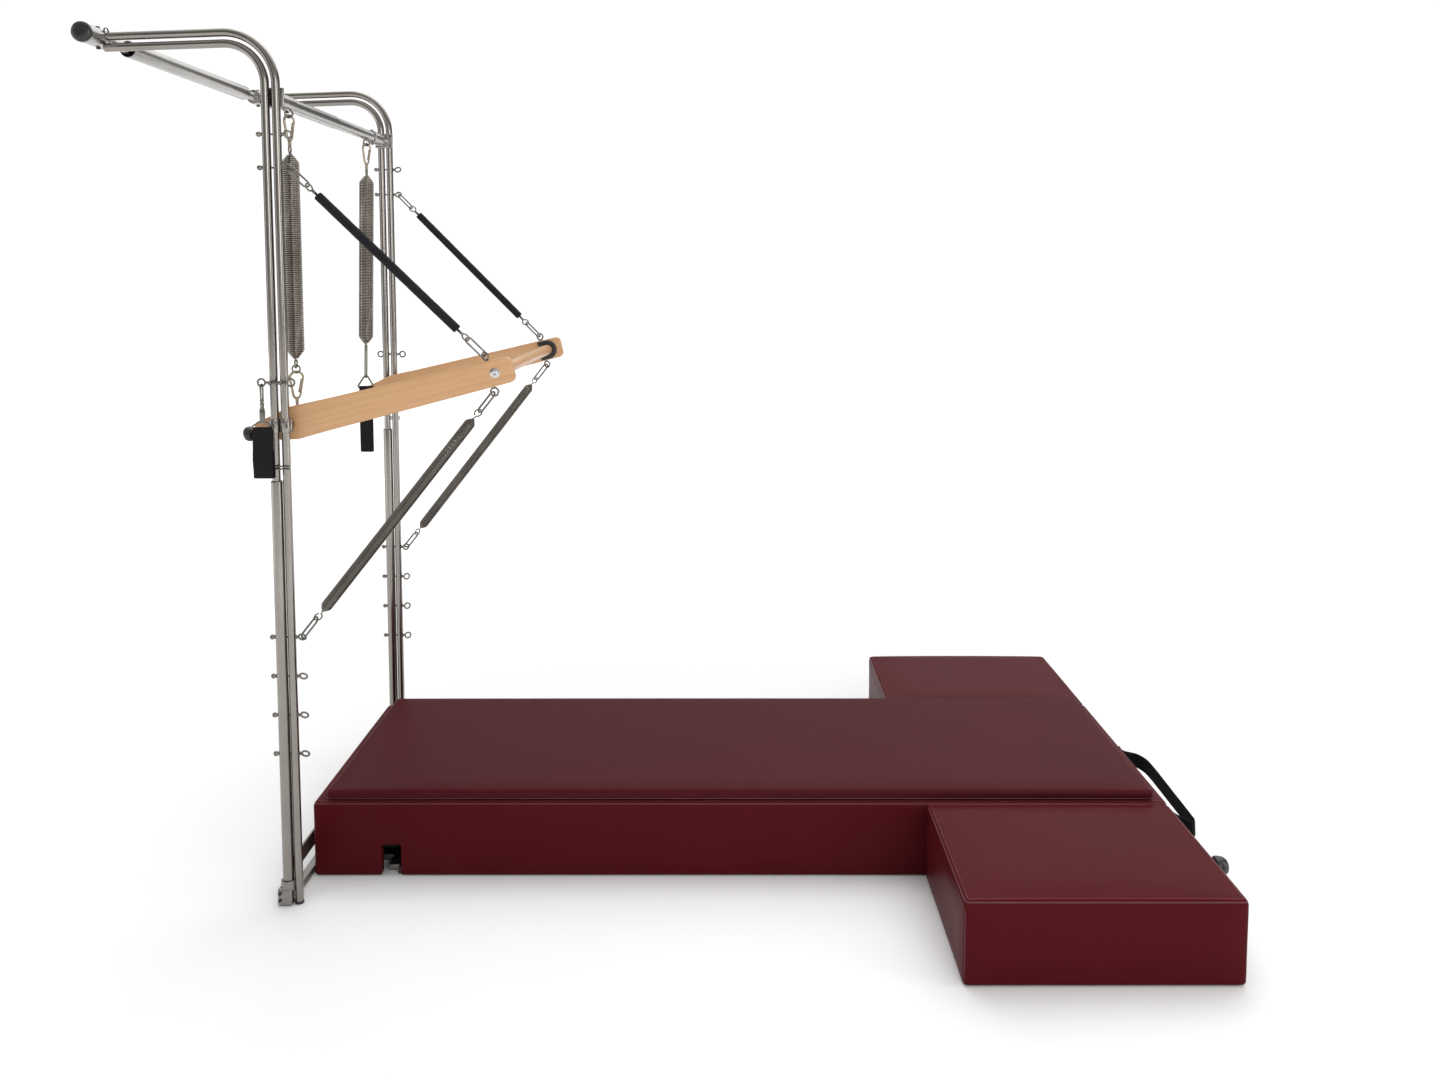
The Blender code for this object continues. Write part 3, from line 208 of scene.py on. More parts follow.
class Graph:
    """The node tree of one material, with its Principled shader, or of a world."""

    def __init__(self, name: str, world: Optional[bpy.types.World] = None) -> None:
        """Makes a material with a Principled shader, or empties a world's tree to work on.

        Args:
            name: The material's name.
            world: A world whose tree is used in place of a new material's.
        """
        self.material = world or bpy.data.materials.new(name)
        self.material.use_nodes = True
        self.tree = self.material.node_tree
        if world:
            self.tree.nodes.clear()
        else:
            self.shader = self.tree.nodes["Principled BSDF"]

    def node(self, kind: str, settings: dict[str, object], inputs: dict[Union[int, str], Value],
             output: Union[int, str] = 0) -> Socket:
        """Adds any node: its settings first, then its sockets.

        Args:
            kind: The node's type.
            settings: Attributes such as an operation; "ramp" holds a colour ramp's stops.
            inputs: Values or links, by socket name or number.
            output: The socket to return.

        Returns:
            The chosen output.
        """
        made = self.tree.nodes.new(kind)
        for key, value in settings.items():
            if key == "ramp":
                self._stops(made.color_ramp, value)
            else:
                setattr(made, key, value)
        for key, value in inputs.items():
            self.feed(made.inputs[key], value)
        return Socket(self, made.outputs[output])

    @staticmethod
    def _stops(ramp: bpy.types.ColorRamp, stops: Iterable[tuple[float, Sequence[float]]]) -> None:
        """Sets a colour ramp's stops, given as positions with their colours.

        Args:
            ramp: The colour ramp.
            stops: (position, colour) pairs.
        """
        stops = list(stops)
        while len(ramp.elements) < len(stops):
            ramp.elements.new(0.5)
        for element, (place, colour) in zip(ramp.elements, stops):
            element.position = place
            element.color = (*colour, 1.0) if len(colour) == 3 else colour

    def feed(self, target: bpy.types.NodeSocket, value: Value) -> None:
        """Links a socket to a target, or sets the target's own value.

        Args:
            target: The input socket.
            value: A socket to link from, or a plain value.
        """
        if isinstance(value, Socket):
            self.tree.links.new(value.socket, target)
        elif isinstance(value, (int, float)):
            target.default_value = value
        else:
            numbers = list(value)
            room = len(target.default_value)
            target.default_value = numbers + [1.0] * (room - len(numbers)) if room > len(numbers) else numbers

    def place(self, scale: Sequence[float] = (1.0, 1.0, 1.0),
              turn: Sequence[float] = (0.0, 0.0, 0.0), source: str = "Object") -> Socket:
        """Returns Object or UV coordinates, turned first and then scaled.

        Args:
            scale: Factors along X, Y and Z.
            turn: Angles about X, Y and Z.
            source: The output of the coordinate node, such as Object or UV.

        Returns:
            The coordinates.
        """
        base = self.node("ShaderNodeTexCoord", {}, {}, source)
        turned = self.node("ShaderNodeMapping", {}, {"Vector": base, "Rotation": turn})
        return self.node("ShaderNodeVectorMath", {"operation": "MULTIPLY"}, {0: turned, 1: scale})

    def parts(self, where: Socket) -> list[Socket]:
        """Returns the X, Y and Z of a vector."""
        split = self.node("ShaderNodeSeparateXYZ", {}, {"Vector": where}).socket.node
        return [Socket(self, split.outputs[axis]) for axis in "XYZ"]

    def noise(self, scale: Number, detail: Number = 2.0, rough: Number = 0.5, twist: Number = 0.0,
              where: Optional[Socket] = None) -> Socket:
        """Returns noise from 0 to 1, over the piece's own coordinates or over a place.

        Args:
            scale: How fine the noise is.
            detail: Its number of octaves.
            rough: How much the finer octaves count.
            twist: Its distortion.
            where: The coordinates; without them, the piece's own.

        Returns:
            The noise's factor.
        """
        return self.node("ShaderNodeTexNoise", {}, {"Vector": where or self.place(), "Scale": scale,
                                                    "Detail": detail, "Roughness": rough,
                                                    "Distortion": twist})

    def ramp(self, value: Value, *stops: tuple[float, Sequence[float]]) -> Socket:
        """Returns a colour from a value by ramp."""
        return self.node("ShaderNodeValToRGB", {"ramp": stops}, {"Fac": value})

    def blend(self, share: Value, first: Value, second: Value) -> Socket:
        """Mixes two colours."""
        return self.node("ShaderNodeMix", {"data_type": "RGBA"}, {0: share, 6: first, 7: second}, 2)

    def bump(self, height: Socket, depth: Number, strength: Number = 1.0,
             over: Optional[Socket] = None) -> Socket:
        """Returns a bumped normal; depth is in metres.

        Args:
            height: The height map.
            depth: How far a height of 1 stands out.
            strength: The share of the bump that shows.
            over: Another bump's normal, which this one is laid over.

        Returns:
            The bumped normal.
        """
        inputs: dict[Union[int, str], Value] = {"Height": height, "Distance": depth, "Strength": strength}
        if over:
            inputs["Normal"] = over
        return self.node("ShaderNodeBump", {}, inputs)

    def dress(self, **sockets: Value) -> bpy.types.Material:
        """Sets the shader's sockets, named with underscores, and returns the material.

        Args:
            sockets: Values or links by the shader's socket names.

        Returns:
            The material.
        """
        for key, value in sockets.items():
            self.feed(self.shader.inputs[key.replace("_", " ")], value)
        return self.material


@dataclass(frozen=True)
class Steel:
    """A steel finish: polished tube, satin casting or dark spring wire."""

    name: str
    base: Sequence[float]
    dark: Sequence[float]
    roughness: float
    brushing: float = 0.000007
    grain: Sequence[float] = (300.0, 300.0, 300.0)

    def build(self) -> bpy.types.Material:
        """Builds fine drawn lines, faint stains and handling marks.

        Returns:
            The material.
        """
        graph = Graph(self.name)
        lines = graph.noise(1.0, 3.0, 0.6, where=graph.place(self.grain))
        stain = graph.noise(9.0, 4.0, 0.6, 0.4)
        specks = graph.noise(180.0, 2.0)
        shade = (stain * 1.1 - 0.15 + (lines - 0.5) * 0.22).clamped()
        colour = graph.blend(shade, self.dark, self.base)
        rough = (stain * 0.07 + lines * 0.05 + (specks - 0.5) * 0.04 + self.roughness - 0.06).clamped()
        normal = graph.bump(lines + specks * 0.4, self.brushing, 0.6)
        return graph.dress(Base_Color=colour, Roughness=rough, Metallic=1.0, Normal=normal)


@dataclass(frozen=True)
class Maple:
    """Clear-lacquered maple with straight grain along the arm boards or along a dowel."""

    name: str
    turn: Sequence[float]
    ring: float = 0.016

    def build(self) -> bpy.types.Material:
        """Builds the growth rings, the fibres and the short flecks.

        Returns:
            The material.
        """
        graph = Graph(self.name)
        along = graph.place((0.1, 0.7, 1.0), self.turn)
        stretched = graph.place((2.2, 60.0, 26.0), self.turn)
        drift = graph.noise(1.0, 3.0, 0.55, 0.5, graph.place((1.2, 8.0, 20.0), self.turn))
        rings = graph.node("ShaderNodeTexWave", {"wave_type": "BANDS", "bands_direction": "Z"},
                           {"Vector": along, "Scale": 0.31 / self.ring, "Distortion": 5.0,
                            "Detail": 3.0, "Detail Scale": 1.4, "Detail Roughness": 0.6}, "Fac")
        fibre = graph.noise(6.0, 4.0, 0.65, where=stretched)
        fleck = graph.noise(1.0, 1.0, where=graph.place((55.0, 900.0, 420.0), self.turn))
        tone = (rings * 0.07 + drift * 0.46 + fibre * 0.22 + 0.05).clamped()
        colour = graph.ramp(tone, (0.08, (0.49, 0.24, 0.104)), (0.45, (0.635, 0.367, 0.18)),
                            (0.85, (0.755, 0.495, 0.28)))
        colour = graph.blend((fleck * 5.0 - 3.3).clamped() * 0.35, colour, (0.36, 0.17, 0.07))
        rough = (fibre * 0.16 + 0.32).clamped()
        normal = graph.bump(fibre * 0.8 + fleck * 0.5, 0.00012, 0.5)
        return graph.dress(Base_Color=colour, Roughness=rough, Normal=normal, Coat_Weight=0.22,
                           Coat_Roughness=0.22)


@dataclass(frozen=True)
class Rubber:
    """Moulded black rubber or plastic with a faint grain and dust."""

    name: str = "moulded_rubber"
    base: Sequence[float] = (0.008, 0.0085, 0.0105)
    worn: Sequence[float] = (0.024, 0.025, 0.029)
    roughness: float = 0.42

    def build(self) -> bpy.types.Material:
        """Builds the moulded grain and the paler rubbed places.

        Returns:
            The material.
        """
        graph = Graph(self.name)
        grain = graph.noise(900.0, 2.0)
        cloud = graph.noise(35.0, 4.0, 0.6)
        colour = graph.blend((cloud * 1.6 - 0.5).clamped(), self.base, self.worn)
        rough = (cloud * 0.18 + self.roughness - 0.08).clamped()
        return graph.dress(Base_Color=colour, Roughness=rough,
                           Normal=graph.bump(grain + cloud * 0.3, 0.00008, 0.5))


@dataclass(frozen=True)
class Webbing:
    """Black woven tape; U runs along the tape and V across it, in metres."""

    name: str = "woven_tape"
    pitch: float = 0.0016
    base: Sequence[float] = (0.004, 0.004, 0.0048)
    crest: Sequence[float] = (0.015, 0.015, 0.017)

    def build(self) -> bpy.types.Material:
        """Builds crossing yarns with a herringbone slant, fuzz and rubbed crests.

        Returns:
            The material.
        """
        graph = Graph(self.name)
        along, across, _ = graph.parts(graph.place(source="UV"))
        turn = 2.0 * math.pi / self.pitch
        warp = (across * turn + (along * (turn * 0.5)).sine() * 0.9).sine()
        weft = (along * (turn * 0.8) + (across * (turn * 0.25)).sine() * 2.2).sine()
        weave = (warp * weft * 0.5 + 0.5).clamped()
        fuzz = graph.noise(1500.0, 2.0)
        cloud = graph.noise(40.0, 3.0)
        colour = graph.blend((weave * 0.6 + cloud * 0.5 - 0.2).clamped(), self.base, self.crest)
        return graph.dress(Base_Color=colour, Roughness=(weave * -0.15 + 0.86).clamped(),
                           Normal=graph.bump(weave + fuzz * 0.35, 0.00035, 0.8),
                           Sheen_Weight=0.02, Sheen_Roughness=0.5, Specular_IOR_Level=0.2)


@dataclass(frozen=True)
class Sleeving:
    """Braided sleeve over a sprung cord; the braid turns round the cord's own line."""

    name: str = "braided_sleeve"

    def build(self) -> bpy.types.Material:
        """Builds crossing strands on the cord's UV map.

        Returns:
            The material.
        """
        graph = Graph(self.name)
        along, around, _ = graph.parts(graph.place(source="UV"))
        turn = 2.0 * math.pi / 0.0022
        left = (along * turn + around * turn).sine()
        right = (along * turn - around * turn).sine()
        braid = (left * right * 0.5 + 0.5).clamped()
        fuzz = graph.noise(1400.0, 2.0)
        cloud = graph.noise(30.0, 3.0)
        colour = graph.blend((braid * 0.6 + cloud * 0.4 - 0.15).clamped(), (0.006, 0.006, 0.0072),
                             (0.026, 0.026, 0.029))
        return graph.dress(Base_Color=colour, Roughness=(braid * -0.15 + 0.8).clamped(),
                           Normal=graph.bump(braid + fuzz * 0.3, 0.0003, 0.8), Sheen_Weight=0.02,
                           Sheen_Roughness=0.45, Specular_IOR_Level=0.15)


@dataclass(frozen=True)
class Vinyl:
    """Burgundy upholstery vinyl with a fine pressed grain and soft stretch marks."""

    name: str = "upholstery_vinyl"
    base: Sequence[float] = (0.068, 0.0046, 0.007)
    pale: Sequence[float] = (0.084, 0.007, 0.0102)
    roughness: float = 0.38
    grain_size: float = 620.0
    gloss: float = 0.045

    def build(self) -> bpy.types.Material:
        """Builds pebble grain, shallow ripples and a cloudy tint.

        Returns:
            The material.
        """
        graph = Graph(self.name)
        pebble = graph.node("ShaderNodeTexVoronoi", {"feature": "SMOOTH_F1"},
                            {"Vector": graph.place(), "Scale": self.grain_size, "Smoothness": 0.6,
                             "Randomness": 0.9}, "Distance")
        fine = graph.noise(self.grain_size * 2.5, 2.0)
        ripple = graph.noise(3.5, 3.0, 0.5, 0.6, graph.place((1.0, 2.0, 3.0)))
        cloud = graph.noise(1.7, 4.0, 0.55)
        colour = graph.blend((cloud * 1.8 - 0.4 + (pebble - 0.4) * 0.35).clamped(), self.base, self.pale)
        rough = (cloud * 0.12 + fine * 0.08 + self.roughness - 0.1).clamped()
        near = graph.bump(pebble * -1.0 + fine * 0.4, 0.00016, 0.45)
        normal = graph.bump(ripple, 0.0045, 0.55, near)
        return graph.dress(Base_Color=colour, Roughness=rough, Normal=normal, Specular_IOR_Level=self.gloss)


@dataclass(frozen=True)
class Thread:
    """Waxed sewing thread in the vinyl's colour."""

    name: str = "sewing_thread"

    def build(self) -> bpy.types.Material:
        """Builds twisted plies.

        Returns:
            The material.
        """
        graph = Graph(self.name)
        ply = graph.noise(2600.0, 2.0)
        colour = graph.blend(ply, (0.2, 0.045, 0.06), (0.34, 0.12, 0.13))
        return graph.dress(Base_Color=colour, Roughness=(ply * 0.2 + 0.45).clamped(),
                           Normal=graph.bump(ply, 0.0001, 0.6))


@dataclass
class Finishes:
    """Every material of the object, built once."""

    made: dict[str, bpy.types.Material] = field(default_factory=dict)

    def get(self, key: str) -> bpy.types.Material:
        """Returns the finish of that name, building it on first use.

        Args:
            key: The finish's name.

        Returns:
            Its material.
        """
        if key not in self.made:
            self.made[key] = self.table()[key].build()
        return self.made[key]

    @staticmethod
    def table() -> dict[str, Union[Steel, Maple, Rubber, Webbing, Sleeving, Vinyl, Thread]]:
        """Returns the finishes by name.

        Returns:
            Each finish under its name.
        """
        return {
            "tube": Steel("polished_tube", (0.335, 0.312, 0.287), (0.25, 0.232, 0.213), 0.16,
                          grain=(600.0, 600.0, 14.0)),
            "bar": Steel("polished_bar", (0.5, 0.49, 0.475), (0.32, 0.31, 0.3), 0.24,
                         grain=(500.0, 12.0, 500.0)),
            "cast": Steel("satin_casting", (0.4, 0.385, 0.36), (0.22, 0.21, 0.195), 0.4,
                          brushing=0.00004, grain=(260.0, 260.0, 260.0)),
            "chrome": Steel("bright_chrome", (0.74, 0.735, 0.72), (0.52, 0.515, 0.5), 0.14),
            "eye": Steel("turned_eye", (0.31, 0.295, 0.27), (0.13, 0.122, 0.11), 0.2),
            "spring": Steel("spring_wire", (0.3, 0.27, 0.24), (0.09, 0.081, 0.071), 0.15),
            "hanging": Steel("hanging_wire", (0.39, 0.352, 0.308), (0.16, 0.142, 0.12), 0.18),
            "brassy": Steel("nickel_snap", (0.5, 0.44, 0.33), (0.26, 0.215, 0.15), 0.28),
            "floor_rail": Steel("grey_rail", (0.36, 0.345, 0.32), (0.2, 0.19, 0.172), 0.45,
                                brushing=0.00006, grain=(30.0, 30.0, 300.0)),
            "board": Maple("board_maple", (0.0, math.radians(14.0), 0.0)),
            "dowel": Maple("dowel_maple", (0.0, 0.0, math.radians(90.0)), 0.012),
            "rubber": Rubber(),
            "plastic": Rubber("glossy_knob", (0.01, 0.0105, 0.012), (0.03, 0.031, 0.034), 0.28),
            "webbing": Webbing(),
            "sleeving": Sleeving(),
            "vinyl": Vinyl(),
            "pad_vinyl": Vinyl("pad_vinyl", (0.058, 0.0066, 0.0094), (0.074, 0.0098, 0.013), 0.42),
            # Piping is paler than the cover's vinyl: a painted highlight for the bright line along piped
            # edges.
            "piping": Vinyl("piping_vinyl", (0.085, 0.014, 0.021), (0.115, 0.025, 0.034), 0.32, 900.0, 0.35),
            "thread": Thread(),
        }


class Shape:
    """Makers of closed meshes with outward faces, in the tower's own numbers."""

    @staticmethod
    def mesh(work: bmesh.types.BMesh, outward: bool = True) -> Mesh:
        """Turns a bmesh into a mesh and frees it.

        Args:
            work: The finished bmesh.
            outward: True recalculates the faces to point outwards.

        Returns:
            The mesh.
        """
        if outward:
            bmesh.ops.recalc_face_normals(work, faces=work.faces)
        made = bpy.data.meshes.new("shape")
        work.to_mesh(made)
        work.free()
        return made

    @staticmethod
    def arc(centre: Point, first: Vector, second: Vector, start: float, end: float,
            steps: int) -> list[Vector]:
        """Returns points on an arc in degrees; first and second are its axes times its radius."""
        turns = [math.radians(start + (end - start) * step / steps) for step in range(steps + 1)]
        return [Vector(centre) + first * math.cos(turn) + second * math.sin(turn) for turn in turns]

    @staticmethod
    def through(spots: Sequence[Vector], steps: int) -> list[Vector]:
        """Returns a smooth line through points, with a number of steps between each pair.

        Args:
            spots: The points that the line passes through.
            steps: The number of steps between two of them.

        Returns:
            The line's points.
        """
        line = []
        for index in range(len(spots) - 1):
            one, two = spots[index], spots[index + 1]
            into = (two - spots[max(index - 1, 0)]) / 2
            onward = (spots[min(index + 2, len(spots) - 1)] - one) / 2
            for step in range(steps):
                t = step / steps
                line.append(one * (2 * t ** 3 - 3 * t ** 2 + 1) + into * (t ** 3 - 2 * t ** 2 + t)
                            + two * (3 * t ** 2 - 2 * t ** 3) + onward * (t ** 3 - t ** 2))
        return line + [spots[-1].copy()]

    @staticmethod
    def oval(centre: Point, along: Vector, across: Vector, half: float, length: float) -> list[Vector]:
        """Returns the closed middle line of a long link.

        Args:
            centre: The link's middle.
            along: The unit direction of its length.
            across: The unit direction of its width.
            half: Half the line's width.
            length: The line's whole length.

        Returns:
            The line's points; the last isn't the first again.
        """
        points: list[Vector] = []
        for sign in (1.0, -1.0):
            middle = Vector(centre) + along * ((length / 2 - half) * sign)
            points += Shape.arc(middle, across * (half * sign), along * (half * sign), 0, 180, 14)
        return points

    @staticmethod
    def soften(profile: Pairs, radius: float, steps: int = 3,
               closed: bool = False) -> list[tuple[float, float]]:
        """Rounds the corners of a lathe profile.

        Args:
            profile: The corners as (along, radius) pairs.
            radius: How far each corner is cut back along its sides.
            steps: Points added at each corner.
            closed: True rounds the first and last corners too.

        Returns:
            The rounded profile.
        """
        corners = [Vector(pair) for pair in profile]
        count = len(corners)
        rounded: list[tuple[float, float]] = []
        for index, corner in enumerate(corners):
            if not closed and index in (0, count - 1):
                rounded.append(tuple(corner))
                continue
            back, ahead = corners[index - 1] - corner, corners[(index + 1) % count] - corner
            cut = min(radius, back.length * 0.45, ahead.length * 0.45)
            one, two = corner + back.normalized() * cut, corner + ahead.normalized() * cut
            for step in range(steps + 1):
                share = step / steps
                low, high = one.lerp(corner, share), corner.lerp(two, share)
                rounded.append(tuple(low.lerp(high, share)))
        return rounded

    @staticmethod
    def lathe(profile: Pairs, centre: Point,
              axis: Vector = Y_AXIS, sides: int = 48, ring: bool = False) -> Mesh:
        """Turns (along, radius) pairs around an axis; a ring profile is closed and has a bore.

        Args:
            profile: (along, radius) pairs.
            centre: The axis point at along 0.
            axis: The axis's direction.
            sides: The number of facets around it.
            ring: True joins the profile's last pair to its first.

        Returns:
            The mesh.
        """
        axis = axis.normalized()
        side = Z_AXIS if abs(axis.z) < 0.9 else X_AXIS
        side = (side - axis * side.dot(axis)).normalized()
        other = axis.cross(side)
        work = bmesh.new()
        rows = []
        for along, radius in profile:
            turns = [2 * math.pi * step / sides for step in range(sides)]
            rows.append([work.verts.new(Vector(centre) + axis * along + (side * math.cos(turn)
                                        + other * math.sin(turn)) * max(radius, 1e-5)) for turn in turns])
        pairs = list(zip(rows, rows[1:])) + ([(rows[-1], rows[0])] if ring else [])
        for low, high in pairs:
            for step in range(sides):
                after = (step + 1) % sides
                work.faces.new((low[step], low[after], high[after], high[step]))
        if not ring:
            work.faces.new(rows[0])
            work.faces.new(rows[-1])
        return Shape.mesh(work)

    @staticmethod
    def straight(one: Point, two: Point, steps: int) -> list[Vector]:
        """Returns even points on a straight line, both ends with it."""
        one, two = Vector(one), Vector(two)
        return [one.lerp(two, step / steps) for step in range(steps + 1)]

    @staticmethod
    def filled(corners: Sequence[Point], steps: int) -> list[Vector]:
        """Returns a closed outline's corners with even points between them.

        Args:
            corners: The outline's corners.
            steps: The number of steps along each edge.

        Returns:
            The outline's points.
        """
        spots = [Vector(corner) for corner in corners]
        return [one.lerp(two, step / steps) for one, two in zip(spots, spots[1:] + spots[:1])
                for step in range(steps)]

    @staticmethod
    def mirrored(half: Pairs) -> list[tuple[float, float]]:
        """Returns an outline from its right half, given from its top to its foot."""
        return [*half, *((-across, up) for across, up in half[::-1] if across)]

    @staticmethod
    def headings(line: Sequence[Vector], cyclic: bool) -> list[Vector]:
        """Returns a line's direction at each of its points.

        Args:
            line: The line's points.
            cyclic: True for a closed line.

        Returns:
            A unit direction for each point.
        """
        last = len(line) - 1
        found = []
        for index, point in enumerate(line):
            before = line[index - 1] if cyclic or index else point
            onward = line[(index + 1) % (last + 1)] if cyclic or index < last else point
            found.append((onward - before).normalized())
        return found

    @staticmethod
    def skin(line: Sequence[Vector], rings: Sequence[Sequence[Vector]],
             marks: Pairs, cyclic: bool, outward: bool = False) -> Mesh:
        """Joins a ring of points at each point of a line into one skin.

        Args:
            line: The middle line, whose length is U.
            rings: The points round each point of the line.
            marks: V at both ends of each cell round a ring, in metres.
            cyclic: True joins the end to the start.
            outward: True recalculates the faces to point outwards.

        Returns:
            The closed mesh.
        """
        work = bmesh.new()
        layer = work.loops.layers.uv.new("UVMap")
        rows = [[work.verts.new(spot) for spot in ring] for ring in rings]
        runs = [0.0]
        for one, two in zip(line, line[1:]):
            runs.append(runs[-1] + (two - one).length)
        total = runs[-1] + (line[0] - line[-1]).length
        for index in range(len(line) if cyclic else len(line) - 1):
            onward = (index + 1) % len(line)
            start, reach = runs[index], runs[onward] if onward else total
            for step, (low, high) in enumerate(marks):
                beside = (step + 1) % len(marks)
                face = work.faces.new((rows[index][step], rows[index][beside], rows[onward][beside],
                                       rows[onward][step]))
                for loop, pair in zip(face.loops, ((start, low), (start, high), (reach, high), (reach, low))):
                    loop[layer].uv = pair
        if not cyclic:
            work.faces.new(rows[0][::-1])
            work.faces.new(rows[-1])
        return Shape.mesh(work, outward)

    @staticmethod
    def sweep(points: Sequence[Vector], radius: float, sides: int = 14,
              cyclic: bool = False, radii: Optional[Sequence[float]] = None) -> Mesh:
        """Sweeps a round section along points, with U along and V around in metres.

        Args:
            points: The middle line.
            radius: The section's radius.
            sides: Points round the section.
            cyclic: True joins the end to the start.
            radii: A factor for each point.

        Returns:
            The mesh.
        """
        line = [Vector(point) for point in points]
        heading = Shape.headings(line, cyclic)
        guide = X_AXIS if abs(heading[0].x) < 0.8 else Z_AXIS
        side = (guide - heading[0] * guide.dot(heading[0])).normalized()
        frames = []
        for index, ahead in enumerate(heading):
            if index:
                side = heading[index - 1].rotation_difference(ahead) @ side
            side = (side - ahead * side.dot(ahead)).normalized()
            frames.append((side, ahead.cross(side)))
        slip = 0.0
        if cyclic:
            last = heading[-1].rotation_difference(heading[0]) @ frames[-1][0]
            slip = math.atan2(last.dot(frames[0][1]), last.dot(frames[0][0]))
        rings = []
        for index, (point, (wide, thin)) in enumerate(zip(line, frames)):
            size = radius * (radii[index] if radii else 1.0)
            turns = [2 * math.pi * step / sides - slip * index / len(line) for step in range(sides)]
            rings.append([point + (wide * math.cos(turn) + thin * math.sin(turn)) * size for turn in turns])
        cell = 2 * math.pi * radius / sides
        marks = [(step * cell, (step + 1) * cell) for step in range(sides)]
        return Shape.skin(line, rings, marks, cyclic)

    @staticmethod
    def eye(centre: Point, first: Vector, second: Vector, wire: float, points: int = 24,
            sides: int = 14) -> Mesh:
        """Bends a wire into a closed ring; first and second are its axes times its radius."""
        line = Shape.arc(centre, first, second, 0, 360 - 360 / points, points - 1)
        return Shape.sweep(line, wire, sides, True)

    @staticmethod
    def block(low: Point, high: Point, bevel: float = 0.0, segments: int = 4) -> Mesh:
        """Makes a box between two corners with rounded edges.

        Args:
            low: The corner with the least X, Y and Z.
            high: The corner with the greatest.
            bevel: The width of the rounding.
            segments: The rounding's number of steps.

        Returns:
            The mesh.
        """
        low, high = Vector(low), Vector(high)
        work = bmesh.new()
        bmesh.ops.create_cube(work, size=1.0)
        bmesh.ops.scale(work, vec=high - low, verts=work.verts)
        bmesh.ops.translate(work, vec=(low + high) / 2, verts=work.verts)
        if bevel:
            bmesh.ops.bevel(work, geom=work.edges, offset=bevel, segments=segments,
                            affect="EDGES", profile=0.5)
        return Shape.mesh(work)

    @staticmethod
    def plate(outline: Pairs, origin: Point, across: Vector,
              up: Vector, depth: Vector, bevel: float = 0.0) -> Mesh:
        """Extrudes a flat outline by a depth vector and rounds its rims.

        Args:
            outline: (across, up) pairs.
            origin: The point where both are 0.
            across: The direction of the first number.
            up: The direction of the second number.
            depth: The plate's thickness as a vector.
            bevel: The width of the rims' rounding.

        Returns:
            The mesh.
        """
        work = bmesh.new()
        base = [work.verts.new(Vector(origin) + across * a + up * b) for a, b in outline]
        face = work.faces.new(base)
        made = bmesh.ops.extrude_face_region(work, geom=[face])
        lifted = [item for item in made["geom"] if isinstance(item, bmesh.types.BMVert)]
        bmesh.ops.translate(work, vec=depth, verts=lifted)
        bmesh.ops.recalc_face_normals(work, faces=work.faces)
        if bevel:
            rims = [edge for edge in work.edges
                    if any(abs(face.normal.dot(depth.normalized())) > 0.99 for face in edge.link_faces)]
            bmesh.ops.bevel(work, geom=rims, offset=bevel, segments=3, affect="EDGES", profile=0.5)
        return Shape.mesh(work)

    @staticmethod
    def joined(meshes: Iterable[Mesh]) -> Mesh:
        """Puts several closed meshes into one.

        Args:
            meshes: The meshes, each closed by itself.

        Returns:
            The one mesh.
        """
        work = bmesh.new()
        for mesh in meshes:
            work.from_mesh(mesh)
            bpy.data.meshes.remove(mesh)
        return Shape.mesh(work, False)


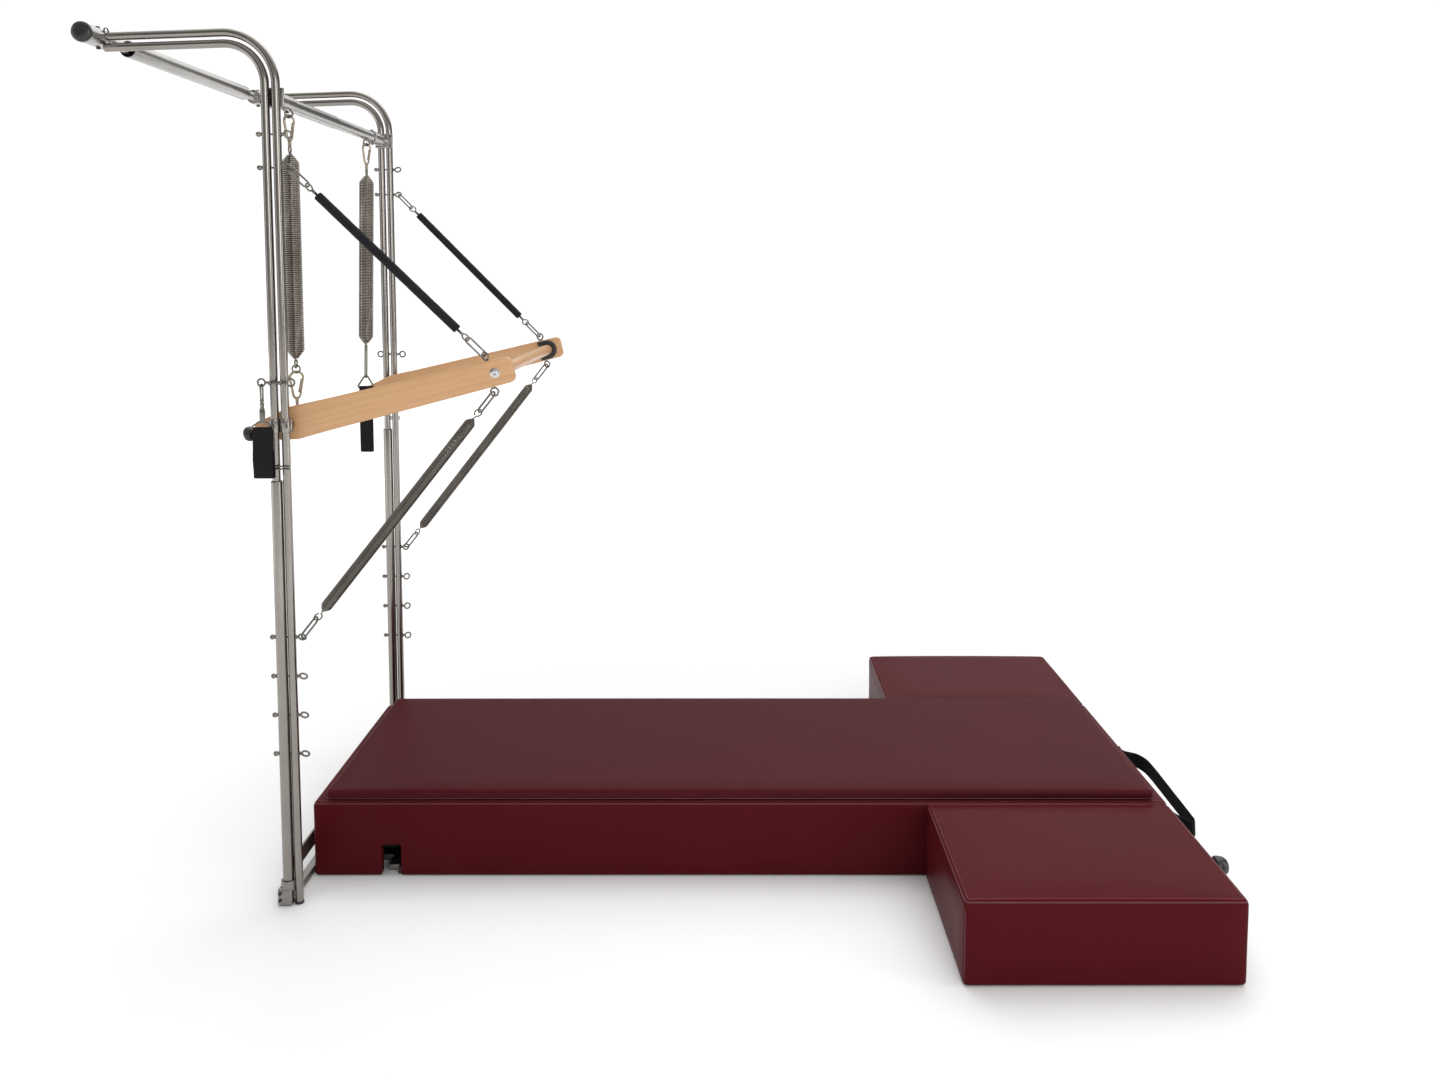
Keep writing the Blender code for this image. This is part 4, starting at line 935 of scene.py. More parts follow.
class Tree:
    """A Geometry Nodes tree with named inputs."""

    def __init__(self, name: str, **sizes: float) -> None:
        """Makes the group, its geometry sockets and one number input for each size.

        Args:
            name: The group's name.
            sizes: Each input's name and default.
        """
        self.group = bpy.data.node_groups.new(name, "GeometryNodeTree")
        face = self.group.interface
        face.new_socket("Geometry", in_out="INPUT", socket_type="NodeSocketGeometry")
        face.new_socket("Geometry", in_out="OUTPUT", socket_type="NodeSocketGeometry")
        self.keys: dict[str, str] = {}
        for label, value in sizes.items():
            made = face.new_socket(label, in_out="INPUT", socket_type="NodeSocketFloat")
            made.default_value = value
            self.keys[label] = made.identifier
        finish = face.new_socket("finish", in_out="INPUT", socket_type="NodeSocketMaterial")
        self.keys["finish"] = finish.identifier
        self.source = self.group.nodes.new("NodeGroupInput")
        self.result = self.group.nodes.new("NodeGroupOutput")

    def add(self, kind: str, settings: Optional[dict[str, object]] = None,
            inputs: Optional[dict[Union[int, str], object]] = None) -> bpy.types.Node:
        """Adds a node; an input may be a value, a socket, a node, or the name of a tree input.

        Args:
            kind: The node's type.
            settings: Attributes of the node.
            inputs: Values or links, by socket name or number.

        Returns:
            The node.
        """
        made = self.group.nodes.new(kind)
        for key, value in (settings or {}).items():
            setattr(made, key, value)
        for key, value in (inputs or {}).items():
            if isinstance(value, bpy.types.Node):
                value = value.outputs[0]
            if isinstance(value, str) and value in self.keys:
                value = self.source.outputs[value]
            if isinstance(value, bpy.types.NodeSocket):
                self.group.links.new(value, made.inputs[key])
            else:
                made.inputs[key].default_value = value
        return made

    def close(self, last: bpy.types.Node) -> "Tree":
        """Realizes the instances, sets the material and ends the tree.

        Args:
            last: The node that gives the finished geometry.

        Returns:
            The tree.
        """
        real = self.add("GeometryNodeRealizeInstances", {}, {0: last})
        dressed = self.add("GeometryNodeSetMaterial", {}, {0: real, "Material": "finish"})
        self.group.links.new(dressed.outputs[0], self.result.inputs[0])
        return self

    def run(self, name: str, path: Mesh, finish: bpy.types.Material, **sizes: float) -> Mesh:
        """Runs the tree on a mesh.

        Args:
            name: The new mesh's name.
            path: The mesh that the tree works on.
            finish: The material that it sets.
            sizes: Values for the named inputs.

        Returns:
            The result as a plain mesh.
        """
        holder = placed(name + "_path", path)
        step = holder.modifiers.new("tree", "NODES")
        step.node_group = self.group
        for label, value in sizes.items():
            step[self.keys[label]] = value
        step[self.keys["finish"]] = finish
        made = applied(holder)
        made.name = name
        bpy.data.objects.remove(holder, do_unlink=True)
        return made


class Trees:
    """The Geometry Nodes trees that the builders share."""

    def __init__(self) -> None:
        """Builds each tree once."""
        self.wire = self._wire()
        self.stitches = self._stitches()
        self.turned = self._turned()

    @staticmethod
    def _wire() -> Tree:
        """Sweeps a round wire along the path, as a spring is wound from one wire.

        Returns:
            The tree.
        """
        tree = Tree("wound_wire", wire_radius=0.002, sides=8.0)
        line = tree.add("GeometryNodeMeshToCurve", {}, {0: tree.source.outputs["Geometry"]})
        ring = tree.add("GeometryNodeCurvePrimitiveCircle", {}, {"Radius": "wire_radius"})
        count = tree.add("FunctionNodeFloatToInt", {}, {0: "sides"})
        tree.group.links.new(count.outputs[0], ring.inputs["Resolution"])
        swept = tree.add("GeometryNodeCurveToMesh", {}, {0: line, 1: ring, "Fill Caps": True})
        smooth = tree.add("GeometryNodeSetShadeSmooth", {}, {0: swept})
        return tree.close(smooth)

    @staticmethod
    def _stitches() -> Tree:
        """Lays one small thread loop after another along a seam's path.

        Returns:
            The tree.
        """
        tree = Tree("seam_stitches", spacing=0.006, length=0.0042, thickness=0.0009)
        line = tree.add("GeometryNodeMeshToCurve", {}, {0: tree.source.outputs["Geometry"]})
        even = tree.add("GeometryNodeResampleCurve", {"mode": "LENGTH"}, {0: line, "Length": "spacing"})
        bead = tree.add("GeometryNodeMeshUVSphere", {}, {"Segments": 6, "Rings": 4, "Radius": 0.5})
        size = tree.add("ShaderNodeCombineXYZ", {}, {"X": "thickness", "Y": "thickness", "Z": "length"})
        shaped = tree.add("GeometryNodeTransform", {}, {0: bead, "Scale": size})
        tangent = tree.add("GeometryNodeInputTangent")
        facing = tree.add("FunctionNodeAlignRotationToVector", {"axis": "Z"}, {"Vector": tangent})
        spread = tree.add("GeometryNodeInstanceOnPoints", {}, {0: even, "Instance": shaped,
                                                               "Rotation": facing})
        return tree.close(spread)

    @staticmethod
    def _turned() -> Tree:
        """Sets one part, such as a nut or a screw, on each point of the path, along its normal.

        Returns:
            The tree.
        """
        tree = Tree("repeated_fitting", size=1.0)
        part = tree.group.interface.new_socket("part", in_out="INPUT", socket_type="NodeSocketObject")
        tree.keys["part"] = part.identifier
        info = tree.add("GeometryNodeObjectInfo", {}, {"Object": "part"})
        aim = tree.add("GeometryNodeInputNamedAttribute", {"data_type": "FLOAT_VECTOR"}, {"Name": "aim"})
        facing = tree.add("FunctionNodeAlignRotationToVector", {"axis": "Z"}, {"Vector": aim})
        spread = tree.add("GeometryNodeInstanceOnPoints", {},
                          {0: tree.source.outputs["Geometry"], "Instance": info.outputs["Geometry"],
                           "Rotation": facing})
        size = tree.add("ShaderNodeCombineXYZ", {}, {"X": "size", "Y": "size", "Z": "size"})
        tree.group.links.new(size.outputs[0], spread.inputs["Scale"])
        return tree.close(spread)


@dataclass
class Rig:
    """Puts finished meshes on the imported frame."""

    finishes: Finishes
    trees: Trees
    shift: Vector
    count: int = 0

    def put(self, name: str, mesh: Union[Mesh, list[Mesh]], body: str, finish: str, slot: Slot,
            nodes: Sequence[str] = (), sharp: float = SHARP) -> bpy.types.Object:
        """Moves a mesh from the tower's numbers to the frame and makes it a piece.

        Args:
            name: The piece's name.
            mesh: The finished mesh, or the closed meshes that it is joined from.
            body: The body that it rides on; empty leaves that to the caller.
            finish: The finish's key.
            slot: The record's slot for the piece; not used.
            nodes: The CAD nodes that it stands for.
            sharp: Edges steeper than this many degrees stay crisp.

        Returns:
            The piece.
        """
        mesh = Shape.joined(mesh) if isinstance(mesh, list) else mesh
        mesh.transform(Matrix.Translation(self.shift))
        mesh.name = name
        mesh.materials.clear()
        mesh.materials.append(self.finishes.get(finish))
        mesh.shade_smooth()
        mesh.set_sharp_from_angle(angle=math.radians(sharp))
        piece = placed(name, mesh)
        if body:
            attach(piece, body)
        if nodes:
            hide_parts(*nodes)
        self.count += 1
        LOG.info("%s: %d triangles on %s", name, sum(len(face.vertices) - 2 for face in mesh.polygons),
                 body or "two bodies")
        return piece

    def scatter(self, name: str, part: Mesh, spots: Sequence[tuple[Point, Vector]], finish: str) -> Mesh:
        """Repeats a fitting, made along Z at the origin, at spots with their directions.

        Args:
            name: The new mesh's name.
            part: The fitting's mesh, which is used up.
            spots: Places and the directions that the fitting faces.
            finish: The finish's key.

        Returns:
            One plain mesh.
        """
        path = bpy.data.meshes.new(name + "_spots")
        path.from_pydata([tuple(place) for place, _ in spots], [], [])
        aims = path.attributes.new("aim", "FLOAT_VECTOR", "POINT")
        for item, (_, aim) in zip(aims.data, spots):
            item.vector = aim
        part.shade_smooth()
        part.set_sharp_from_angle(angle=math.radians(SHARP))
        holder = placed(name + "_part", part)
        made = self.trees.turned.run(name, path, self.finishes.get(finish), size=1.0, part=holder)
        bpy.data.objects.remove(holder, do_unlink=True)
        return made

    def fix(self, name: str, part: Mesh, spots: Sequence[tuple[Point, Vector]], finish: str,
            slot: Slot) -> None:
        """Sets a fitting at spots of the tower as one piece."""
        self.put(name, self.scatter(name, part, spots, finish), "tower", finish, slot)

    def wire(self, name: str, points: Sequence[Vector], radius: float, sides: int, finish: str) -> Mesh:
        """Winds one wire along points by the shared tree.

        Args:
            name: The name that the mesh is made under.
            points: The wire's middle line.
            radius: The wire's radius.
            sides: The number of facets around it.
            finish: The finish's name.

        Returns:
            The wound mesh.
        """
        path = bpy.data.meshes.new(name + "_line")
        edges = [(index, index + 1) for index in range(len(points) - 1)]
        path.from_pydata([tuple(point) for point in points], edges, [])
        return self.trees.wire.run(name, path, self.finishes.get(finish), wire_radius=radius,
                                   sides=float(sides))


class Fittings:
    """Small bought-in parts, each made along Z at the origin."""

    @staticmethod
    def ball_nut(radius: float = 0.0066) -> Mesh:
        """Returns a round-headed nut with a flat seat and a short waist.

        Args:
            radius: The head's radius.

        Returns:
            The mesh, seated at 0 and up along Z.
        """
        profile = [(0.0, radius * 0.72), (0.0012, radius * 0.78), (0.0022, radius * 0.7)]
        profile += [(0.0022 + radius * (1.0 - math.cos(math.radians(turn))),
                     radius * math.sin(math.radians(turn))) for turn in (45, 60, 75, 90, 105, 120, 135,
                                                                         150, 165, 176)]
        return Shape.lathe(profile, (0, 0, 0), Z_AXIS, 20)

    @staticmethod
    def washer(radius: float = 0.0062, thick: float = 0.0012) -> Mesh:
        """Returns a washer.

        Args:
            radius: The outer radius.
            thick: The thickness.

        Returns:
            The mesh, seated at 0 and up along Z.
        """
        profile = Shape.soften([(0.0, radius * 0.2), (0.0, radius), (thick, radius), (thick, radius * 0.2)],
                               0.0004, 2)
        return Shape.lathe(profile, (0, 0, 0), Z_AXIS, 20)

    @staticmethod
    def cap_screw(radius: float = 0.0042, height: float = 0.0036) -> Mesh:
        """Returns a socket-head screw with a round recess.

        Args:
            radius: The head's radius.
            height: The head's height.

        Returns:
            The mesh, seated at 0 and up along Z.
        """
        profile = [(0.0, radius), (height - 0.0006, radius), (height, radius - 0.0006),
                   (height, radius * 0.52), (height * 0.45, radius * 0.5)]
        return Shape.lathe(profile, (0, 0, 0), Z_AXIS, 18)


@dataclass
class Tower:
    """The two bent twin-tube uprights with their posts, feet, eyebolts and clips."""

    rig: Rig
    bend_z: float = 2.05
    bend_back: float = 0.108
    arm_slope: float = math.radians(2.0)
    arm_end: float = FRONT_X + 0.015
    post_r: float = 0.014
    post_top: float = 1.085
    post_foot: float = 0.006
    foot: Sequence[float] = (0.037, 0.04, 0.062)
    foot_x: float = -0.018
    foot_neck_r: float = 0.0186
    eye_r: float = 0.009
    eye_wire: float = EYE_WIRE
    eye_reach: float = 0.039
    lower_eyes: Sequence[float] = (0.39, 0.49, 0.59, 0.69)
    upper_eyes: Sequence[float] = (1.85, 1.93)
    clip_z: float = 1.33
    clip_reach: float = 0.036
    clip_out: float = 0.0083
    tie_z: Sequence[float] = (1.116, 1.1225)
    tie_r: float = 0.0021
    tie_reach: float = 0.0255
    collar_half: Sequence[float] = (0.029, 0.017)
    collar_wall: float = 0.0029
    collar_screw_x: float = 0.018
    pin_r: float = 0.006
    pivot: Sequence[float] = PIVOT

    def build(self) -> None:
        """Builds both upright pairs."""
        for side in Side:
            self.tubes(side)
            self.foot_clamp(side)
            self.eyebolts(side)
            self.mid_clip(side)
            self.collar(side)

    def path(self, side: Side, place: int, foot: float) -> list[Vector]:
        """Returns the middle line of one tube, place -1 inner or 1 outer, up to its hub.

        Args:
            side: The near or far side.
            place: -1 for the inner tube, 1 for the outer.
            foot: The height that the tube starts at.

        Returns:
            The line's points, from the foot up.
        """
        x, y = place * TUBE_PITCH / 2, side.sign * FRAME_HALF
        radius = x + self.bend_back
        turn = 90.0 + math.degrees(self.arm_slope)
        bend = Shape.arc((-self.bend_back, y, self.bend_z), X_AXIS * radius, Z_AXIS * radius, 0, turn, 28)
        heading = Vector((-math.cos(self.arm_slope), 0.0, -math.sin(self.arm_slope)))
        run = (bend[-1].x - self.arm_end) / math.cos(self.arm_slope)
        rise = [Vector((x, y, foot + (self.bend_z - foot) * step / 12)) for step in range(12)]
        return rise + bend + [bend[-1] + heading * (run * step / 4) for step in range(1, 5)]

    def tubes(self, side: Side) -> None:
        """Builds the two bent tubes and the lower post.

        Args:
            side: The near or far side.
        """
        word, y = side.word, side.sign * FRAME_HALF
        outer = Shape.sweep(self.path(side, 1, 0.0012), TUBE_R, 32)
        plug = Shape.lathe(Shape.soften([(0.0, 0.0096), (0.0, 0.0112), (0.006, 0.0112), (0.006, 0.0096)],
                                        0.0008), (TUBE_PITCH / 2, y, 0.0), Z_AXIS, 28)
        self.rig.put(f"{word}_outer_upright", outer, "tower", "tube", Slot.POLISHED, [f"{word}_outer_tube"])
        self.rig.put(f"{word}_tube_plug", plug, "tower", "rubber", Slot.RUBBER)
        inner = Shape.sweep(self.path(side, -1, self.post_top - 0.06), TUBE_R, 32)
        self.rig.put(f"{word}_inner_upright", inner, "tower", "tube", Slot.POLISHED, [f"{word}_inner_tube"])
        low, high = self.post_foot, self.post_top
        profile = [(low, self.post_r), (high - 0.0022, self.post_r), (high, self.post_r - 0.0018),
                   (high, TUBE_R + GAP), (low, TUBE_R + GAP)]
        post = Shape.lathe(Shape.soften(profile, 0.0008, 3, True), (-TUBE_PITCH / 2, y, 0.0),
                           Z_AXIS, 40, True)
        self.rig.put(f"{word}_lower_sleeve", post, "tower", "tube", Slot.POLISHED, [f"{word}_lower_post"])

    def foot_clamp(self, side: Side) -> None:
        """Builds the cast foot: a rounded block with a round neck, and two clamp screws on each face.

        Args:
            side: The near or far side.
        """
        word, y = side.word, side.sign * FRAME_HALF
        half_x, half_y, high = self.foot[0] / 2, self.foot[1] / 2, self.foot[2]
        block = Shape.block((self.foot_x - half_x, y - half_y, 0.0),
                            (self.foot_x + half_x, y + half_y, high * 0.72), 0.0062, 5)
        neck = [(high * 0.6, self.foot_neck_r), (high, self.foot_neck_r), (high, self.post_r)]
        top = Shape.lathe(Shape.soften(neck, 0.003, 4), (-TUBE_PITCH / 2, y, 0.0), Z_AXIS, 44)
        self.rig.put(f"{word}_foot_casting", [block, top], "tower", "cast",
                     Slot.SATIN, [f"{word}_foot_clamp"])
        spots = [((self.foot_x - half_x + 0.008, y + out * (half_y - 0.0004), height), Y_AXIS * out)
                 for out in (-1.0, 1.0) for height in (0.016, 0.034)]
        self.rig.fix(f"{word}_foot_screws", Fittings.cap_screw(), spots, "plastic", Slot.RUBBER)

    def crossing(self, side: Side, run: Run) -> Vector:
        """Returns the direction across an eye that a run's link crosses it along."""
        return SprungRun(self.rig, side, run).link_facing()

    def eyebolts(self, side: Side) -> None:
        """Builds the rows of eyebolts: closed rings, shanks through both tubes, and ball nuts.

        Args:
            side: The near or far side.
        """
        word, y = side.word, side.sign * FRAME_HALF
        for run, heights, outer, nodes in ((Run.LOWER, self.lower_eyes, self.post_r,
                                            [f"{word}_lower_eye_{index}" for index in range(1, 5)]),
                                           (Run.UPPER, self.upper_eyes, TUBE_R, [f"{word}_upper_eye"])):
            facing = self.crossing(side, run)
            up = facing.cross(X_AXIS).normalized()
            rings, nuts, seats = [], [], []
            back = -TUBE_PITCH / 2 - outer
            for height in heights:
                centre = Vector((self.eye_reach, y, height))
                rings.append(Shape.eye(centre, X_AXIS * -self.eye_r, up * self.eye_r, self.eye_wire))
                neck = [(0.0, 0.0024), (self.eye_reach - self.eye_r - back + 0.006, 0.0024)]
                rings.append(Shape.lathe(neck, (back - 0.006, y, height), X_AXIS, 16))
                boss = Shape.soften([(0.0, 0.004), (0.0052, 0.004), (0.0085, 0.0027)], 0.0006)
                rings.append(Shape.lathe(boss, (TUBE_PITCH / 2 + TUBE_R, y, height), X_AXIS, 18))
                nuts.append(((back + 0.0004, y, height), -X_AXIS))
                seats.append(((TUBE_PITCH / 2 + TUBE_R - 0.0002, y, height), X_AXIS))
            self.rig.put(f"{word}_{run.value}_eyebolts", rings, "tower", "eye", Slot.SATIN, nodes)
            self.rig.fix(f"{word}_{run.value}_ball_nuts", Fittings.ball_nut(), nuts, "eye", Slot.SATIN)
            self.rig.fix(f"{word}_{run.value}_washers", Fittings.washer(), seats, "cast", Slot.SATIN)

    def mid_clip(self, side: Side) -> None:
        """Builds the twin-rod clip that hand loops hang from, and the thin tie rods below it.

        Args:
            side: The near or far side.
        """
        word = side.word
        face = side.sign * (FRAME_HALF + TUBE_R)
        front = face + side.sign * self.clip_out
        rods = []
        for place in (-1.0, 1.0):
            centre = Vector((place * self.clip_reach, front, self.clip_z))
            rods.append(Shape.eye(centre, X_AXIS * (-place * self.eye_r), Z_AXIS * self.eye_r,
                                  self.eye_wire))
            stud = Shape.soften([(0.0, 0.0042), (self.clip_out - 0.003, 0.0042),
                                 (self.clip_out - 0.003, 0.003), (self.clip_out, 0.003)], 0.0005)
            rods.append(Shape.lathe(stud, (place * TUBE_PITCH / 2, face, self.clip_z),
                                    Y_AXIS * side.sign, 20))
        reach = self.clip_reach - self.eye_r
        bar = Shape.straight((-reach, front, self.clip_z), (reach, front, self.clip_z), 12)
        rods.append(Shape.sweep(bar, 0.003, 16))
        self.rig.put(f"{word}_loop_clip", rods, "tower", "eye", Slot.SATIN, [f"{word}_mid_clip"])
        spots = [((place * TUBE_PITCH / 2, front + side.sign * 0.0012, self.clip_z), Y_AXIS * side.sign)
                 for place in (-1.0, 1.0)]
        self.rig.fix(f"{word}_clip_nuts", Fittings.ball_nut(0.0054), spots, "eye", Slot.SATIN)
        ties = []
        out = face + side.sign * self.tie_r
        for height in self.tie_z:
            line = Shape.straight((-self.tie_reach, out, height), (self.tie_reach, out, height), 6)
            ties.append(Shape.sweep(line, self.tie_r, 12))
        self.rig.put(f"{word}_tie_rods", ties, "tower", "eye", Slot.SATIN)

    def collar(self, side: Side) -> None:
        """Builds the pivot collar: a rounded clamp on both tubes with its pin and screws.

        Args:
            side: The near or far side.
        """
        word, sign = side.word, side.sign
        board_out = FRAME_HALF - BOARD_INSET + BOARD_THICK
        (pivot_x, pivot_z), (half_x, half_z) = self.pivot, self.collar_half
        back = sorted((sign * (board_out + GAP + 0.012), sign * (FRAME_HALF + 0.002)))
        clamp = Shape.block((-half_x, back[0], pivot_z - half_z), (half_x, back[1], pivot_z + half_z),
                            0.0052, 5)
        bore, wall = TUBE_R - 0.001, TUBE_R + self.collar_wall
        sleeve = Shape.soften([(0.0, bore), (0.0, wall), (2 * half_z, wall), (2 * half_z, bore)], 0.0012,
                              3, True)
        sleeves = [Shape.lathe(sleeve, (x, sign * FRAME_HALF, pivot_z - half_z), Z_AXIS, 40, True)
                   for x in (-TUBE_PITCH / 2, TUBE_PITCH / 2)]
        boss = Shape.soften([(0.0, 0.0125), (0.014, 0.0145), (0.014, 0.006)], 0.0015)
        root = Vector((pivot_x, sign * (board_out + GAP), pivot_z))
        nose = Shape.lathe(boss, root, Y_AXIS * sign, 32)
        stop = FRAME_HALF - BOARD_INSET - 0.0138
        pin = Shape.lathe([(0.0, self.pin_r), (board_out - stop + 0.002, self.pin_r)],
                          (pivot_x, sign * stop, pivot_z), Y_AXIS * sign, 24)
        made = Shape.joined((clamp, nose, pin, *sleeves))
        self.rig.put(f"{word}_pivot_clamp", made, "tower", "tube", Slot.SATIN, [f"{word}_pivot_collar"])
        face = sign * (FRAME_HALF + TUBE_R + 0.0006)
        spots = [((x, face, pivot_z), Y_AXIS * sign) for x in (-self.collar_screw_x, self.collar_screw_x)]
        screw = Fittings.cap_screw(0.0046, 0.0021)
        self.rig.fix(f"{word}_collar_screws", screw, spots, "plastic", Slot.RUBBER)


@dataclass
class FrontBar:
    """The front crossbar between the arms, with its hubs, caps and turning sleeve."""

    rig: Rig
    x: float = FRONT_X
    z: float = 2.158
    hub_r: float = 0.0225
    hub_length: float = 0.1
    end: float = FRAME_HALF + 0.0668
    bar_r: float = 0.0125
    sleeve_r: float = 0.021
    wall: float = 0.002
    sleeve: Sequence[float] = (-0.33, 0.36)
    cap_r: float = 0.024
    cap_thick: float = 0.014

    def build(self) -> None:
        """Builds the bar, the domed caps, the gaskets and the sleeve."""
        rig, end = self.rig, self.end
        spot = (self.x, 0.0, self.z)
        profile = [(-end, self.hub_r), (-end + self.hub_length, self.hub_r),
                   (-end + self.hub_length, self.bar_r), (end - self.hub_length, self.bar_r),
                   (end - self.hub_length, self.hub_r), (end, self.hub_r)]
        bar = Shape.lathe(Shape.soften(profile, 0.0022, 4), spot, Y_AXIS, 48)
        rig.put("crossbar", bar, "tower", "bar", Slot.POLISHED, ["front_bar"])
        for side in Side:
            self.cap(side)
        low, high = self.sleeve
        bore, bush = self.sleeve_r - self.wall, self.bar_r + GAP
        inner = [(high, bore), (high - 0.03, bore), (high - 0.03, bush), (high - 0.05, bush),
                 (high - 0.05, bore), (low + 0.05, bore), (low + 0.05, bush), (low + 0.03, bush),
                 (low + 0.03, bore), (low, bore)]
        shell = Shape.soften([(low, self.sleeve_r), (high, self.sleeve_r)] + inner, 0.0007, 3, True)
        rig.put("turning_sleeve", Shape.lathe(shell, spot, Y_AXIS, 56, True), "sleeve", "bar",
                Slot.POLISHED, ["front_sleeve"])
        for word, place in (("near", low + 0.0298), ("far", high - 0.0298)):
            sign = 1.0 if place < 0 else -1.0
            ring = Shape.soften([(0.0, bush), (0.0, bore - 0.0004), (0.0014, bore - 0.0004),
                                 (0.0014, bush)], 0.0004, 2, True)
            seal = Shape.lathe(ring, (self.x, place - sign * 0.0016, self.z), Y_AXIS * sign, 40, True)
            rig.put(f"{word}_sleeve_seal", seal, "sleeve", "rubber", Slot.RUBBER)

    def cap(self, side: Side) -> None:
        """Builds one end's domed cap with its rim, the gaskets under the arms and the hub screws.

        Args:
            side: The near or far side.
        """
        rig, word = self.rig, side.word
        thick = self.cap_thick
        dome = [(0.0, self.cap_r * 0.97), (0.001, self.cap_r), (thick * 0.42, self.cap_r)]
        dome += [(thick * (0.42 + 0.58 * math.sin(math.radians(turn))),
                  self.cap_r * (0.35 + 0.65 * math.cos(math.radians(turn)))) for turn in
                 (15, 30, 45, 60, 72, 82, 90)]
        dome += [(thick, self.cap_r * 0.2)]
        cap = Shape.lathe(dome, (self.x, side.sign * (self.end + GAP), self.z), Y_AXIS * side.sign, 56)
        rig.put(f"{word}_domed_cap", cap, "tower", "plastic", Slot.RUBBER, [f"{word}_front_cap"])
        meshes = []
        for drop in (0.013, -0.013):
            heading = Vector((math.cos(math.radians(2.0)), 0.0, math.sin(math.radians(2.0))))
            reach = math.sqrt(max(self.hub_r ** 2 - drop ** 2, 1e-6)) + 0.0006
            root = Vector((self.x + reach - 0.0012, side.sign * FRAME_HALF, self.z + drop + 0.0004))
            ring = Shape.soften([(0.0, TUBE_R - 0.0004), (0.0, TUBE_R + 0.0012), (0.0034, TUBE_R + 0.001),
                                 (0.0034, TUBE_R - 0.0004)], 0.0005, 2, True)
            meshes.append(Shape.lathe(ring, root, heading, 32, True))
        rig.put(f"{word}_arm_gaskets", meshes, "tower", "rubber", Slot.RUBBER)
        spots = [((self.x, side.sign * (FRAME_HALF + 0.002), self.z + up * (self.hub_r - 0.0006)),
                  Z_AXIS * up) for up in (1.0, -1.0)]
        rig.fix(f"{word}_hub_screws", Fittings.cap_screw(0.005, 0.005), spots, "plastic", Slot.RUBBER)


@dataclass
class RearBar:
    """The stepped rear crossbar with its end flanges and the two rings under it."""

    rig: Rig
    x: float = -0.006
    z: float = 2.02
    radii: Sequence[float] = (0.02, 0.0175, 0.016)
    collar: float = 0.123
    flange: Sequence[float] = (0.056, 0.046, 0.005)
    eye_offset: Sequence[float] = (0.006, -0.0255)
    eye_r: float = 0.0095
    eye_wire: float = EYE_WIRE
    eyes: Sequence[float] = HANGER_Y

    def build(self) -> None:
        """Builds the bar, its flanges, joint rings, rings and screws."""
        rig = self.rig
        end = FRAME_HALF - TUBE_R - GAP
        inner = end - self.collar
        big, near_r, far_r = self.radii
        width, height, thick = self.flange
        profile = [(-end + thick / 2, big), (-inner, big), (-inner, near_r), (0.0, near_r), (0.0, far_r),
                   (inner, far_r), (inner, big), (end - thick / 2, big)]
        parts = [Shape.lathe(Shape.soften(profile, 0.0014, 4), (self.x, 0.0, self.z), Y_AXIS, 48)]
        for side in Side:
            faces = sorted((side.sign * end, side.sign * (end - thick)))
            parts.append(Shape.block((-width / 2, faces[0], self.z - height / 2),
                                     (width / 2, faces[1], self.z + height / 2), 0.0022, 4))
        rig.put("rear_crossbar", parts, "tower", "bar", Slot.SATIN, ["rear_bar"])
        rings = []
        for y in self.eyes:
            centre = Vector((self.x + self.eye_offset[0], y, self.z + self.eye_offset[1]))
            rings.append(Shape.eye(centre, X_AXIS * self.eye_r, Z_AXIS * self.eye_r, self.eye_wire, 30))
            root = Shape.soften([(0.0, 0.0052), (0.006, 0.0052), (0.01, 0.003)], 0.0008)
            rings.append(Shape.lathe(root, centre + Z_AXIS * (self.eye_r + 0.0075), -Z_AXIS, 20))
        rig.put("crossbar_rings", rings, "tower", "eye", Slot.SATIN)
        bands = []
        for place, radius in ((-inner + 0.0004, near_r), (inner - 0.0022, far_r)):
            band = Shape.soften([(0.0, radius - 0.001), (0.0, radius + 0.0007), (0.0018, radius + 0.0007),
                                 (0.0018, radius - 0.001)], 0.0004, 2, True)
            bands.append(Shape.lathe(band, (self.x, place, self.z), Y_AXIS, 48, True))
        rig.put("crossbar_bands", bands, "tower", "rubber", Slot.RUBBER)
        spots = [((self.x, side.sign * (inner + 0.016), self.z + up * (big - 0.0004)), Z_AXIS * up)
                 for side in Side for up in (-1.0, 1.0)]
        rig.fix("crossbar_screws", Fittings.cap_screw(0.0042, 0.0038), spots, "plastic", Slot.RUBBER)
        heads = [((corner * (width / 2 - 0.0065), side.sign * (end - thick + 0.0003),
                   self.z + up * (height / 2 - 0.0075)), Y_AXIS * -side.sign)
                 for side in Side for corner in (-1.0, 1.0) for up in (-1.0, 1.0)]
        rig.fix("flange_bolts", Fittings.cap_screw(0.004, 0.003), heads, "eye", Slot.SATIN)


